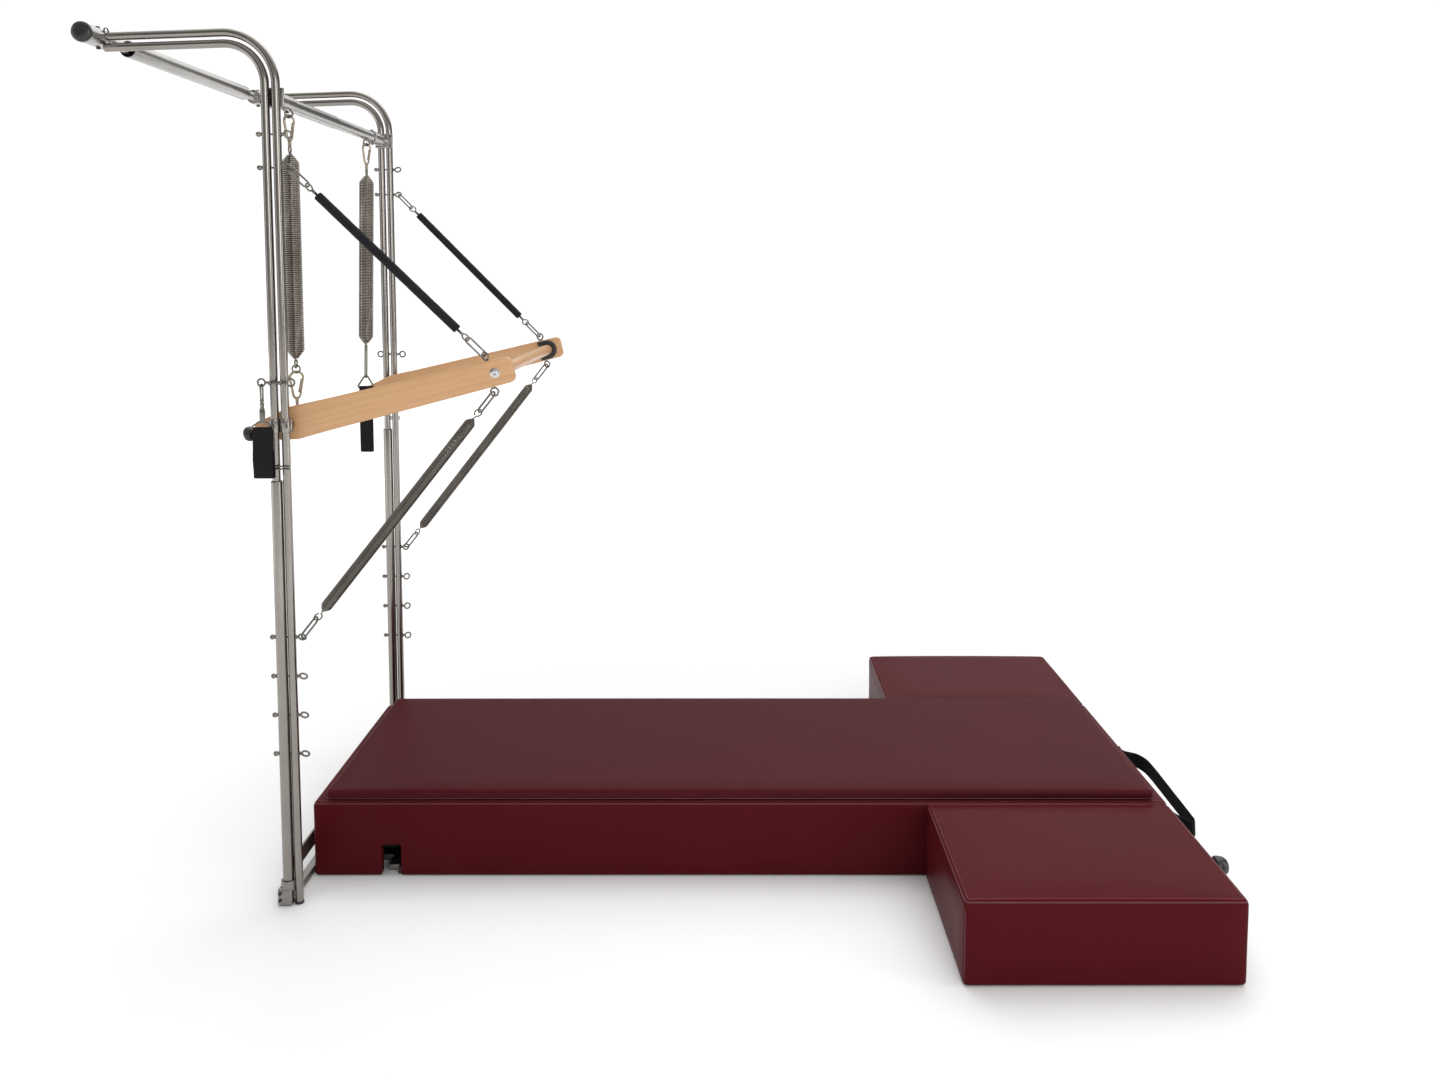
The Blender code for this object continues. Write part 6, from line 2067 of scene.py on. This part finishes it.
@dataclass
class HandLoops:
    """The webbing loops: one clipped on the near tower, one under the far spring."""

    rig: Rig
    clip_x: float = -Tower.clip_reach
    clip_z: float = Tower.clip_z
    front: float = -(FRAME_HALF + TUBE_R + Tower.clip_out)
    near_z: Sequence[float] = (1.216, 1.098)
    far: Sequence[float] = (FAR_FOOT_X, HANGER_Y[1], 1.045)
    width: float = 0.048
    far_width: float = 0.038
    thick: float = 0.0025
    half_gap: float = 0.0023
    bar_half: float = 0.027

    def band(self, x: float, y: float, top: float, bottom: float, width: float, half: float,
             drift: float) -> Mesh:
        """Makes a hanging loop of tape: over a bar, down both sides and round its fold.

        Args:
            x: The loop's middle along X.
            y: The loop's middle along Y.
            top: The height of the bar that it hangs on.
            bottom: The height of its fold's middle.
            width: The tape's width.
            half: Half the gap between the tape's two sides.
            drift: How far the tape strays sideways.

        Returns:
            The tape's mesh.
        """
        middle = half + self.thick / 2
        path = Shape.arc((x, y, top), Y_AXIS * middle, Z_AXIS * middle, 0, 180, 12)
        steps = 26
        drop = [top + (bottom - top) * step / steps for step in range(1, steps)]
        belly = [math.sin(math.pi * step / steps) for step in range(1, steps)]
        path += [Vector((x, y - middle - 0.0008 * wide, z)) for z, wide in zip(drop, belly)]
        path += Shape.arc((x, y, bottom), Y_AXIS * -middle, Z_AXIS * -middle, 0, 180, 12)
        path += [Vector((x, y + middle, z)) for z in drop[::-1]]
        return Tape.mesh(path, X_AXIS, width, self.thick * 0.94, True,
                         lambda share: drift * math.sin(share * 4 * math.pi) ** 3)

    def stitched(self, name: str, x: float, y: float, z: float, width: float, body: str) -> None:
        """Sews a box of thread across a loop just under its bar, on both faces.

        Args:
            name: The piece's name.
            x: The loop's middle along X.
            y: The loop's middle along Y.
            z: The height of the box's top.
            width: The tape's width.
            body: The body that the loop moves with.
        """
        meshes = []
        half = width / 2 - 0.005
        for face in (-1.0, 1.0):
            at = y + face * (self.half_gap + self.thick + 0.0001)
            corners = [(-half, 0.0), (half, 0.0), (half, -0.022), (-half, -0.022), (-half, 0.0)]
            points = [(x + a, at, z + b) for a, b in corners]
            path = bpy.data.meshes.new("seam")
            path.from_pydata(points, [(index, index + 1) for index in range(4)], [])
            meshes.append(self.rig.trees.stitches.run("seam", path, self.rig.finishes.get("rubber"),
                                                      spacing=0.0042, length=0.0031, thickness=0.0007))
        self.rig.put(name, meshes, body, "rubber", Slot.WEBBING)

    def build(self) -> None:
        """Builds the near hook with its swivel and loop, then the far loop."""
        rig, x, y, low = self.rig, self.clip_x, self.front, self.near_z[0]
        seat = Tower.eye_r - EYE_WIRE - 0.002 - GAP
        ring = Snaps.link((x, y, self.clip_z - seat - 0.02), Z_AXIS, Y_AXIS, 0.0068, 0.04, 0.0022)
        barrel = [(0.0, 0.003), (0.001, 0.005), (0.005, 0.0054), (0.006, 0.004), (0.009, 0.004),
                  (0.01, 0.0056), (0.014, 0.0056), (0.0165, 0.0046), (0.0235, 0.004), (0.026, 0.0028)]
        top = self.clip_z - seat - 0.04 + 0.0035
        swivel = Shape.lathe(barrel, (x, y, top), -Z_AXIS, 24)
        outline = [(-0.0046, 0.0), (0.0046, 0.0), (0.0072, -0.01), (0.0066, -0.032), (0.0048, -0.04),
                   (-0.0048, -0.04), (-0.0066, -0.032), (-0.0072, -0.01)]
        tongue = Shape.plate(outline, (x, y - 0.0015, top - 0.02), X_AXIS, Z_AXIS, Y_AXIS * 0.003, 0.0008)
        half = self.bar_half
        outline = Shape.mirrored([(0.0, 0.019), (0.006, 0.018), (half - 0.004, 0.0085),
                                  (half, 0.004), (half - 0.003, 0.0), (0.0, 0.0)])
        line = [Vector((x + across, y, low + up)) for across, up in Shape.filled(outline, 4)]
        frame = Shape.sweep(line, 0.002, 12, True)
        made = Shape.joined((ring, swivel, tongue, frame))
        rig.put("near_swivel_hook", made, "near_loop", "eye", Slot.SATIN, ["near_loop_hook"])
        lever = Shape.plate([(-0.003, 0.0), (0.003, 0.0), (0.0042, -0.03), (0.0026, -0.062),
                             (-0.0012, -0.066), (-0.0038, -0.03)],
                            (x + self.width / 2 - 0.0035, y + 0.0042, low + 0.006), X_AXIS, Z_AXIS,
                            Y_AXIS * 0.0022, 0.0006)
        rig.put("near_strap_lever", lever, "near_loop", "eye", Slot.SATIN)
        band = self.band(x, y, low, self.near_z[1], self.width, self.half_gap, 0.0012)
        rig.put("near_webbing_loop", band, "near_loop", "webbing", Slot.WEBBING, ["near_hand_loop"])
        self.stitched("near_loop_stitches", x, y, low - 0.006, self.width, "near_loop")
        far_x, far_y, bottom = self.far
        reach = HangingSpring.top - HangingSpring.eye_z + HangingSpring.eye_drop
        high = HangingSpring.top - math.sqrt(reach ** 2 - far_x ** 2)
        band = self.band(far_x, far_y, high, bottom, self.far_width, 0.0038, 0.0)
        rig.put("far_webbing_loop", band, "far_hanger", "webbing", Slot.WEBBING, ["far_hand_loop"])


@dataclass(frozen=True)
class Padding:
    """How a padded block is filled: its crown, its drawn-in sides and its edge."""

    crown: float
    draw: float
    edge: float
    pressure: float = 4.0
    cap: float = 0.004


@dataclass(frozen=True)
class Edging:
    """Where a cover's piping and seam run, inwards from its edges."""

    edge: float
    corner: float
    foot: float
    seam_in: float
    seam_up: float = 0.0


class Upholstery:
    """Makers of padded blocks, their piping and their stitched seams."""

    def __init__(self, rig: Rig) -> None:
        """Keeps the rig."""
        self.rig = rig

    @staticmethod
    def stops(low: float, high: float, edge: float, cell: float) -> list[float]:
        """Returns grid stops, close together within the rounded edges.

        Args:
            low: The first stop.
            high: The last stop.
            edge: The width of each rounded edge.
            cell: About how far the middle stops stand apart.

        Returns:
            The stops in rising order.
        """
        fine = [edge * (1 - math.cos(math.radians(22.5 * step))) for step in range(4)]
        count = max(2, int((high - low - 2 * edge) / cell))
        middle = [low + edge + (high - low - 2 * edge) * step / count for step in range(count + 1)]
        return [low + step for step in fine] + middle + [high - step for step in fine[::-1]]

    @staticmethod
    def block(low: Vector, high: Vector, fill: Padding, cell: float = 0.022) -> Mesh:
        """Makes a padded block: flat base, sides that pull in between the corners, crowned top.

        Args:
            low: Lowest corner.
            high: Highest corner.
            fill: Its padding.
            cell: Cell size of the faces.

        Returns:
            The closed mesh.
        """
        axes = [Upholstery.stops(low[axis], high[axis], fill.edge, cell) for axis in range(3)]
        inner_low = low + Vector((fill.edge,) * 3)
        inner_high = high - Vector((fill.edge,) * 3)
        work = bmesh.new()
        points: dict[tuple[int, int, int], bmesh.types.BMVert] = {}
        size = high - low

        def point(key: tuple[int, int, int]) -> bmesh.types.BMVert:
            """Returns the rounded and padded point of a grid corner, making it once.

            Args:
                key: The corner's number along each axis.

            Returns:
                The vertex.
            """
            if key not in points:
                spot = Vector(axes[axis][key[axis]] for axis in range(3))
                core = Vector(min(max(spot[axis], inner_low[axis]), inner_high[axis]) for axis in range(3))
                out = spot - core
                if out.length > 1e-7:
                    spot = core + out.normalized() * fill.edge
                share = [min(max((spot[axis] - low[axis]) / size[axis], 0.0), 1.0) for axis in range(3)]
                belly = [math.sin(math.pi * value) for value in share]
                top = max(0.0, (share[2] - 0.5) * 2.0)
                spot.z += fill.crown * (belly[0] * belly[1]) ** 0.45 * top ** 6
                for axis in (0, 1):
                    side = (share[axis] - 0.5) * 2.0
                    pull = fill.draw * belly[2] * belly[1 - axis] ** 0.5
                    spot[axis] -= math.copysign(pull * abs(side) ** 8, side)
                points[key] = work.verts.new(spot)
            return points[key]

        last = [len(stops) - 1 for stops in axes]
        for axis in range(3):
            first, second = [other for other in range(3) if other != axis]
            for end in (0, last[axis]):
                for a in range(last[first]):
                    for b in range(last[second]):
                        corners = []
                        for step_a, step_b in ((0, 0), (1, 0), (1, 1), (0, 1)):
                            key = [0, 0, 0]
                            key[axis], key[first], key[second] = end, a + step_a, b + step_b
                            corners.append(point(tuple(key)))
                        work.faces.new(corners)
        return Shape.mesh(work)

    def puffed(self, mesh: Mesh, fill: Padding, floor: float) -> Mesh:
        """Inflates a padded block by cloth simulation, keeping its base and its edges in place.

        Args:
            mesh: The block.
            fill: Its padding.
            floor: Height of the base that stays put.
        """
        piece = placed("padding", mesh)
        start = [corner.co.copy() for corner in piece.data.vertices]
        low = [min(co[axis] for co in start) for axis in range(3)]
        high = [max(co[axis] for co in start) for axis in range(3)]
        held = piece.vertex_groups.new(name="held")
        for index, co in enumerate(start):
            edges = sum(min(co[axis] - low[axis], high[axis] - co[axis]) < fill.edge + fill.crown * 0.2
                        for axis in range(3))
            if co.z < floor + fill.edge or edges > 1:
                held.add([index], 1.0, "REPLACE")
        cloth = piece.modifiers.new("filling", "CLOTH")
        cloth.settings.use_pressure = True
        cloth.settings.uniform_pressure_force = fill.pressure
        cloth.settings.vertex_group_mass = "held"
        cloth.settings.tension_stiffness = 18.0
        cloth.settings.compression_stiffness = 18.0
        cloth.settings.bending_stiffness = 0.6
        cloth.settings.effector_weights.gravity = 0.0
        cloth.settings.quality = 5
        scene = bpy.context.scene
        for frame in range(1, 16):
            scene.frame_set(frame)
        moved = applied(piece)
        for corner, old in zip(moved.vertices, start):
            step = corner.co - old
            if step.length > fill.cap:
                step *= fill.cap / step.length
            corner.co = old + step
            if old.z <= floor + fill.edge:
                corner.co.z = max(corner.co.z, floor)
        scene.frame_set(1)
        piece.modifiers.clear()
        piece.data = moved
        smooth = piece.modifiers.new("finer", "SUBSURF")
        smooth.levels = smooth.render_levels = 1
        made = applied(piece)
        bpy.data.objects.remove(piece, do_unlink=True)
        return made

    @staticmethod
    def rim(low: Vector, high: Vector, inset: float, corner: float, height: float,
            step: float = 0.03) -> list[Vector]:
        """Returns a closed rounded rectangle around a block at a height.

        Args:
            low: The block's low corner.
            high: The block's high corner.
            inset: How far the line runs inside the block's sides.
            corner: The corners' radius.
            height: The line's height.
            step: About how far the points of its straight stretches stand apart.

        Returns:
            The line's points.
        """
        x_low, x_high, y_low, y_high = low.x + inset, high.x - inset, low.y + inset, high.y - inset
        line: list[Vector] = []
        for centre_x, centre_y, start in ((x_high - corner, y_low + corner, -90.0),
                                          (x_high - corner, y_high - corner, 0.0),
                                          (x_low + corner, y_high - corner, 90.0),
                                          (x_low + corner, y_low + corner, 180.0)):
            line += Shape.arc((centre_x, centre_y, height), X_AXIS * corner, Y_AXIS * corner, start,
                              start + 90.0, 6)
        dense: list[Vector] = []
        for index, spot in enumerate(line):
            after = line[(index + 1) % len(line)]
            count = max(1, int((after - spot).length / step))
            dense += [spot.lerp(after, part / count) for part in range(count)]
        return dense

    @staticmethod
    def snug(line: Sequence[Vector], mesh: Mesh, lift: float) -> list[Vector]:
        """Moves a seam's points onto the nearest places of a padded mesh, and out by a lift.

        Args:
            line: The seam's points.
            mesh: The padded mesh.
            lift: How far the points stand off it.

        Returns:
            The moved points.
        """
        work = bmesh.new()
        work.from_mesh(mesh)
        tree = BVHTree.FromBMesh(work)
        work.free()
        spots = []
        for spot in line:
            near, normal, _, _ = tree.find_nearest(spot)
            spots.append(near + normal * lift)
        return spots

    def piping(self, line: Sequence[Vector], radius: float = 0.0019, cyclic: bool = True) -> Mesh:
        """Sews a round piping cord along a seam."""
        return Shape.sweep(line, radius, 12, cyclic)

    def seam(self, line: Sequence[Vector]) -> Mesh:
        """Lays stitches along a closed seam by the shared tree.

        Args:
            line: The closed seam's points.

        Returns:
            The stitches' mesh.
        """
        path = bpy.data.meshes.new("seam")
        edges = [(index, (index + 1) % len(line)) for index in range(len(line))]
        path.from_pydata([tuple(spot) for spot in line], edges, [])
        return self.rig.trees.stitches.run("seam", path, self.rig.finishes.get("thread"), spacing=0.0062,
                                           length=0.0044, thickness=0.0013)

    def edged(self, name: str, block: Mesh, low: Vector, high: Vector, edging: Edging,
              ends: Sequence[float]) -> None:
        """Sews the piping round a cover's top and down its corners, and the seam inside it.

        Args:
            name: The start of the pieces' names.
            block: The padded block.
            low: Its lowest corner.
            high: Its highest corner.
            edging: Where the piping and the seam run.
            ends: The Y of the piping that goes down at both ends.
        """
        edge, top = edging.edge, high.z - edging.edge
        line = self.rim(low, high, edge, edging.corner, top)
        cords = [self.piping(self.snug(line, block, -0.0007), 0.0017)]
        for x in (low.x + edge, high.x - edge):
            for y in ends:
                line = Shape.straight((x, y, edging.foot), (x, y, top), 8)
                cords.append(self.piping(self.snug(line, block, -0.0007), 0.0014, False))
        # The piping finish is paler than the vinyl: a painted highlight line along the top edge and down the
        # corners.
        self.rig.put(f"{name}_piping", cords, "tower", "piping", Slot.VINYL)
        line = self.rim(low, high, edging.seam_in, 0.006, high.z + edging.seam_up)
        self.rig.put(f"{name}_seam", self.seam(self.snug(line, block, 0.0004)), "tower", "thread", Slot.VINYL)


@dataclass
class Mat:
    """The raised mat: a hollow upholstered body over the floor frame, and the pad on it."""

    rig: Rig
    sewing: Upholstery
    left: float = 0.0053
    length: float = 2.26
    half: float = 0.34
    height: float = 0.2
    wall: float = 0.02
    top: float = 0.03
    inset: Sequence[float] = (0.031, 0.012)
    pad_thick: float = 0.028
    notch_x: Sequence[float] = NOTCH_X
    notch_high: float = 0.087
    edging: Edging = Edging(0.0032, 0.009, 0.006, 0.0125, 0.0001)

    @property
    def right(self) -> float:
        """The mat's right end."""
        return self.left + self.length

    def build(self) -> None:
        """Builds the body with its notch, the pad, the piping and the seams."""
        rig = self.rig
        low, high = Vector((self.left, -self.half, 0.0)), Vector((self.right, self.half, self.height))
        body = self.cut(Upholstery.block(low, high, Padding(0.0, 0.0025, 0.011), 0.03))
        ends = [side.sign * (self.half - self.edging.edge) for side in Side]
        self.sewing.edged("mat", body, low, high, self.edging, ends)
        piece = rig.put("mat_cover", body, "tower", "vinyl", Slot.VINYL, ["mat_body"], 50.0)
        base = self.height + GAP
        pad_low = Vector((self.left + self.inset[0], -self.half + self.inset[1], base))
        pad_high = Vector((self.right - self.inset[0], self.half - self.inset[1], base + self.pad_thick))
        fill = Padding(0.008, 0.002, 0.013, 4.0, 0.0035)
        pad = self.sewing.puffed(Upholstery.block(pad_low, pad_high, fill), fill, base)
        # Pale piping round the pad's foot: a painted highlight line, which also covers the contact shade where
        # the pad meets the mat.
        line = Upholstery.rim(pad_low, pad_high, 0.0002, 0.01, base + 0.004)
        cord = self.sewing.piping(Upholstery.snug(line, pad, -0.0003))
        rig.put("pad_piping", cord, "tower", "piping", Slot.VINYL)
        piece = rig.put("mat_top_pad", pad, "tower", "pad_vinyl", Slot.VINYL, ["mat_pad"], 60.0)

    def cut(self, mesh: Mesh) -> Mesh:
        """Hollows the body from below and cuts the notch and the runners' slots.

        Args:
            mesh: The mat's whole body.

        Returns:
            The cut body.
        """
        low_x, high_x = self.left + self.wall, self.right - self.wall
        cutters = [Shape.block((low_x, -self.half + self.wall, -0.01),
                               (high_x, self.half - self.wall, self.height - self.top))]
        cutters.append(Shape.block((self.notch_x[0], -self.half - 0.01, -0.02),
                                   (self.notch_x[1], self.half + 0.01, self.notch_high), 0.005, 4))
        cutters.append(Shape.plate([(self.notch_x[0] - 0.008, -0.01), (self.notch_x[0] + 0.006, -0.01),
                                    (self.notch_x[0] + 0.006, 0.022)], (0.0, -self.half - 0.01, 0.0),
                                   X_AXIS, Z_AXIS, Y_AXIS * (2 * self.half + 0.02)))
        for side in Side:
            middle, half = side.sign * RUNNER_Y, FloorFrame.runner_width / 2 + GAP
            cutters.append(Shape.block((self.left - 0.01, middle - half, -0.01),
                                       (low_x + 0.01, middle + half, 0.022), 0.0))
        piece = placed("body", mesh)
        for cutter in cutters:
            tool = placed("cutter", cutter)
            step = piece.modifiers.new("cut", "BOOLEAN")
            step.operation, step.solver, step.object = "DIFFERENCE", "EXACT", tool
            piece.data = applied(piece)
            piece.modifiers.clear()
            bpy.data.objects.remove(tool, do_unlink=True)
        made = piece.data
        bpy.data.objects.remove(piece, do_unlink=True)
        return made


@dataclass
class Wings:
    """The two padded wings beside the mat's right end."""

    rig: Rig
    sewing: Upholstery
    right: float
    mat_half: float = 0.34
    length: float = 0.64
    depth: float = 0.465
    height: float = 0.2
    fill: Padding = Padding(0.01, 0.004, 0.013, 4.0, 0.004)
    edging: Edging = Edging(0.0038, 0.0105, 0.008, 0.0115)
    slit_y: float = 0.52
    slit_z: float = 0.0645
    slit_half: float = 0.05

    def build(self) -> None:
        """Builds both wings with piping, seams and the slits in their left faces."""
        for side in Side:
            ends = sorted((side.sign * (self.mat_half + GAP), side.sign * (self.mat_half + self.depth)))
            low = Vector((self.right - self.length, ends[0], 0.0))
            high = Vector((self.right, ends[1], self.height))
            block = self.sewing.puffed(Upholstery.block(low, high, self.fill), self.fill, 0.0)
            outer = side.sign * (self.mat_half + self.depth - self.edging.edge)
            self.sewing.edged(f"{side.word}_wing", block, low, high, self.edging, [outer])
            piece = self.rig.put(f"{side.word}_padded_wing", block, "tower", "vinyl", Slot.VINYL,
                                 [f"{side.word}_wing"], 60.0)
            self.slit(side, low.x)

    def slit(self, side: Side, x: float) -> None:
        """Builds the short horizontal slit in a wing's left face as a thin tapered black sweep: painted shade
        for the slit's dark inside.

        Args:
            side: The near or far side.
            x: The left face's place along X.
        """
        y, z, half = side.sign * self.slit_y, self.slit_z, self.slit_half
        inward = self.fill.draw * math.sin(math.pi * z / self.height)
        x += inward - 0.0002
        line = Shape.straight((x, y - half, z), (x, y + half, z), 16)
        taper = [max(0.15, math.sin(math.pi * step / 16)) ** 0.5 for step in range(17)]
        # The slit is a black sweep on the face, not an opening: painted shade for its dark inside.
        dark = Shape.sweep(line, 0.0016, 10, radii=taper)
        self.rig.put(f"{side.word}_wing_slit", dark, "tower", "rubber", Slot.VINYL)


@dataclass
class EndFittings:
    """The webbing carrying strap and the black bumper on the mat's right end."""

    rig: Rig
    sewing: Upholstery
    face: float
    path: Pairs = ((0.0, -0.292), (0.0, -0.324), (0.26, -0.357), (0.58, -0.386), (0.84, -0.397),
                   (0.99, -0.387), (1.0, -0.36), (1.0, -0.24), (1.0, -0.11), (0.93, -0.056), (0.62, -0.022),
                   (0.0, -0.001), (0.0, 0.03))
    z: float = 0.168
    rise: float = 0.018
    knob: Sequence[float] = (-0.58, 0.16)
    bulge: float = 0.05
    width: float = 0.04
    thick: float = 0.003

    def build(self) -> None:
        """Builds the strap and the bumper."""
        low, high = min(y for _, y in self.path), self.path[-1][1]
        spots = [Vector((self.face + GAP + self.thick / 2 + share * self.bulge, y,
                         self.z + self.rise * ((y - low) / (high - low) - 0.5))) for share, y in self.path]
        path = Shape.through(spots, 6)
        across = []
        for step in range(len(path)):
            twist = math.radians(-5.0 * math.sin(2 * math.pi * step / (len(path) - 1)))
            across.append((Z_AXIS * math.cos(twist) + X_AXIS * math.sin(twist)).normalized())
        strap = Tape.mesh(path, across, self.width, self.thick * 0.94)
        self.rig.put("carrying_strap", strap, "tower", "webbing", Slot.WEBBING, ["carry_strap"])
        profile = [(0.0, 0.0141), (0.0145, 0.0141), (0.016, 0.017), (0.018, 0.0212), (0.021, 0.0233),
                   (0.03, 0.0234), (0.04, 0.0212), (0.0465, 0.0165), (0.0492, 0.0115), (0.05, 0.005)]
        knob = Shape.lathe(profile, (self.face + GAP - 0.0008, *self.knob), X_AXIS, 44)
        self.rig.put("end_bumper", knob, "tower", "plastic", Slot.RUBBER, ["end_knob"], 60.0)


@dataclass
class Studio:
    """The pale floor, the soft lights and the camera."""

    shift: Vector
    place: Sequence[float] = (0.13885, -3.1975, 1.5956)
    pitch: float = math.pi / 2 - 0.0763
    lens: float = 27.985
    shift_y: float = -0.1258
    card_glow: float = 0.82
    backdrop: float = 1.05
    cards: Sequence[tuple[float, Sequence[float]]] = (
        (0.0, (0.95, 0.95, 0.95)), (0.07, (0.22, 0.21, 0.2)), (0.17, (0.85, 0.85, 0.85)),
        (0.27, (0.12, 0.11, 0.1)), (0.35, (0.03, 0.03, 0.03)), (0.42, (0.32, 0.32, 0.32)),
        (0.5, (0.06, 0.06, 0.06)), (0.61, (0.55, 0.55, 0.55)), (0.72, (0.16, 0.15, 0.14)),
        (0.83, (0.9, 0.9, 0.9)), (0.93, (0.2, 0.19, 0.18)), (1.0, (0.95, 0.95, 0.95)))

    def build(self) -> None:
        """Builds the camera, the floor, the sky and the lights."""
        scene = bpy.context.scene
        lens = bpy.data.cameras.new("camera")
        lens.lens, lens.sensor_width, lens.sensor_fit = self.lens, 36.0, "HORIZONTAL"
        lens.shift_y = self.shift_y
        lens.clip_end = 100.0
        camera = bpy.data.objects.new("camera", lens)
        camera.location = self.place
        camera.rotation_euler = (self.pitch, 0.0, 0.0)
        scene.collection.objects.link(camera)
        scene.camera = camera
        scene.view_settings.view_transform = "Standard"
        scene.view_settings.look = "None"
        scene.view_settings.exposure = 0.0
        self.floor()
        self.sky()
        self.sun()
        self.light("overhead_softbox", (0.4, 0.6, 3.8), (0.3, 0.0, 0.0), (3.6, 2.4), 16.0)
        self.light("front_softbox", (1.9, -4.6, 2.4), (0.9, 0.0, 0.3), (2.2, 2.0), 48.0)
        self.light("left_strip", (-3.4, -0.8, 1.7), (-0.9, 0.0, 1.1), (0.5, 3.0), 11.0)
        self.light("right_strip", (3.6, -1.4, 1.6), (-0.4, 0.0, 1.0), (0.7, 2.6), 18.0)

    @staticmethod
    def sun() -> None:
        """Adds the even top light of a large diffused ceiling."""
        lamp = bpy.data.lights.new("ceiling", "SUN")
        lamp.energy, lamp.angle = 1.62, math.radians(80.0)
        ceiling = bpy.data.objects.new("ceiling", lamp)
        ceiling.rotation_euler = (math.radians(-34.0), math.radians(6.0), 0.0)
        bpy.context.scene.collection.objects.link(ceiling)

    def floor(self) -> None:
        """Builds the floor as a large smooth disc of many sides."""
        work = bmesh.new()
        bmesh.ops.create_circle(work, cap_ends=True, segments=96, radius=22.0)
        mesh = Shape.mesh(work, False)
        graph = Graph("studio_floor")
        tone = graph.noise(0.6, 2.0)
        colour = graph.blend(tone, (0.9, 0.9, 0.9), (0.93, 0.93, 0.93))
        reach = graph.node("ShaderNodeVectorMath", {"operation": "LENGTH"}, {0: graph.place()}, "Value")
        glow = graph.ramp(reach / 12.0, (0.1, (0.0, 0.0, 0.0)), (0.42, (0.35, 0.35, 0.35)))
        mesh.materials.append(graph.dress(Base_Color=colour, Roughness=0.9, Specular_IOR_Level=0.1,
                                          Emission_Color=glow, Emission_Strength=1.0))
        floor = bpy.data.objects.new("floor", mesh)
        floor.location = (0.0, 0.0, -0.0004)
        bpy.context.scene.collection.objects.link(floor)
        floor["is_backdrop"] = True

    def sky(self) -> None:
        """Sets white for the camera, and for reflections a studio with bright and dark cards."""
        world = bpy.data.worlds.new("studio")
        bpy.context.scene.world = world
        graph = Graph("studio", world)
        x, y, z = graph.parts(graph.node("ShaderNodeTexCoord", {}, {}, "Generated"))
        turn = graph.node("ShaderNodeMath", {"operation": "ARCTAN2"}, {0: x, 1: y})
        around = graph.node("ShaderNodeMapRange", {}, {"Value": turn, "From Min": -math.pi,
                                                       "From Max": math.pi})
        cards = graph.ramp(around, *self.cards)
        height = graph.ramp(z, (0.0, (0.0, 0.0, 0.0)), (0.55, (0.0, 0.0, 0.0)), (0.95, (1.0, 1.0, 1.0)))
        mix = graph.blend(height, cards, (0.95, 0.95, 0.95))
        studio = graph.node("ShaderNodeBackground", {}, {"Color": mix, "Strength": self.card_glow})
        white = graph.node("ShaderNodeBackground", {}, {"Color": (1.0, 1.0, 1.0), "Strength": self.backdrop})
        seen = graph.node("ShaderNodeLightPath", {}, {}, "Is Camera Ray")
        choice = graph.node("ShaderNodeMixShader", {}, {0: seen, 1: studio, 2: white})
        graph.feed(graph.tree.nodes.new("ShaderNodeOutputWorld").inputs["Surface"], choice)

    @staticmethod
    def light(name: str, place: Sequence[float], target: Sequence[float], size: Sequence[float],
              power: float) -> None:
        """Adds one rectangular softbox that faces a target.

        Args:
            name: The lamp's name.
            place: Its middle.
            target: The point that it faces.
            size: Its two sides in metres.
            power: Its power in watts.
        """
        lamp = bpy.data.lights.new(name, "AREA")
        lamp.shape, lamp.size, lamp.size_y, lamp.energy = "RECTANGLE", size[0], size[1], power
        box = bpy.data.objects.new(name, lamp)
        box.location = place
        box.rotation_euler = (Vector(target) - Vector(place)).to_track_quat("-Z", "Y").to_euler()
        box.visible_camera = False
        bpy.context.scene.collection.objects.link(box)


def corners(bounds: object) -> object:
    """Returns bounds as plain lists of numbers.

    Args:
        bounds: A number, or a dictionary or sequence of them at any depth.

    Returns:
        The same nesting of floats, lists and dictionaries.
    """
    if isinstance(bounds, (float, int)):
        return float(bounds)
    if isinstance(bounds, dict):
        return {key: corners(value) for key, value in bounds.items()}
    return [corners(value) for value in bounds]


def main() -> None:
    """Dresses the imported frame, piece by piece."""
    logging.basicConfig(level=logging.INFO, format="%(name)s: %(message)s", stream=sys.stdout)
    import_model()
    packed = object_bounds()
    rig = Rig(Finishes(), Trees(), Vector((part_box("near_outer_tube")[1][0] - TUBE_PITCH / 2 - TUBE_R, 0, 0)))
    Studio(rig.shift).build()
    sewing = Upholstery(rig)
    mat = Mat(rig, sewing)
    mat.build()
    Wings(rig, sewing, mat.right).build()
    EndFittings(rig, sewing, mat.right).build()
    Tower(rig).build()
    FrontBar(rig).build()
    RearBar(rig).build()
    FloorFrame(rig).build()
    PushBar(rig).build()
    for side in Side:
        for run in Run:
            SprungRun(rig, side, run).build()
    for side, y, foot_x in zip(Side, HANGER_Y, (0.0, FAR_FOOT_X)):
        HangingSpring(rig, side, y, foot_x).build()
    HandLoops(rig).build()
    LOG.info("%d pieces", rig.count)
    {"cad": corners(packed), "visual": corners(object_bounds())}


if __name__ == "__main__":
    main()
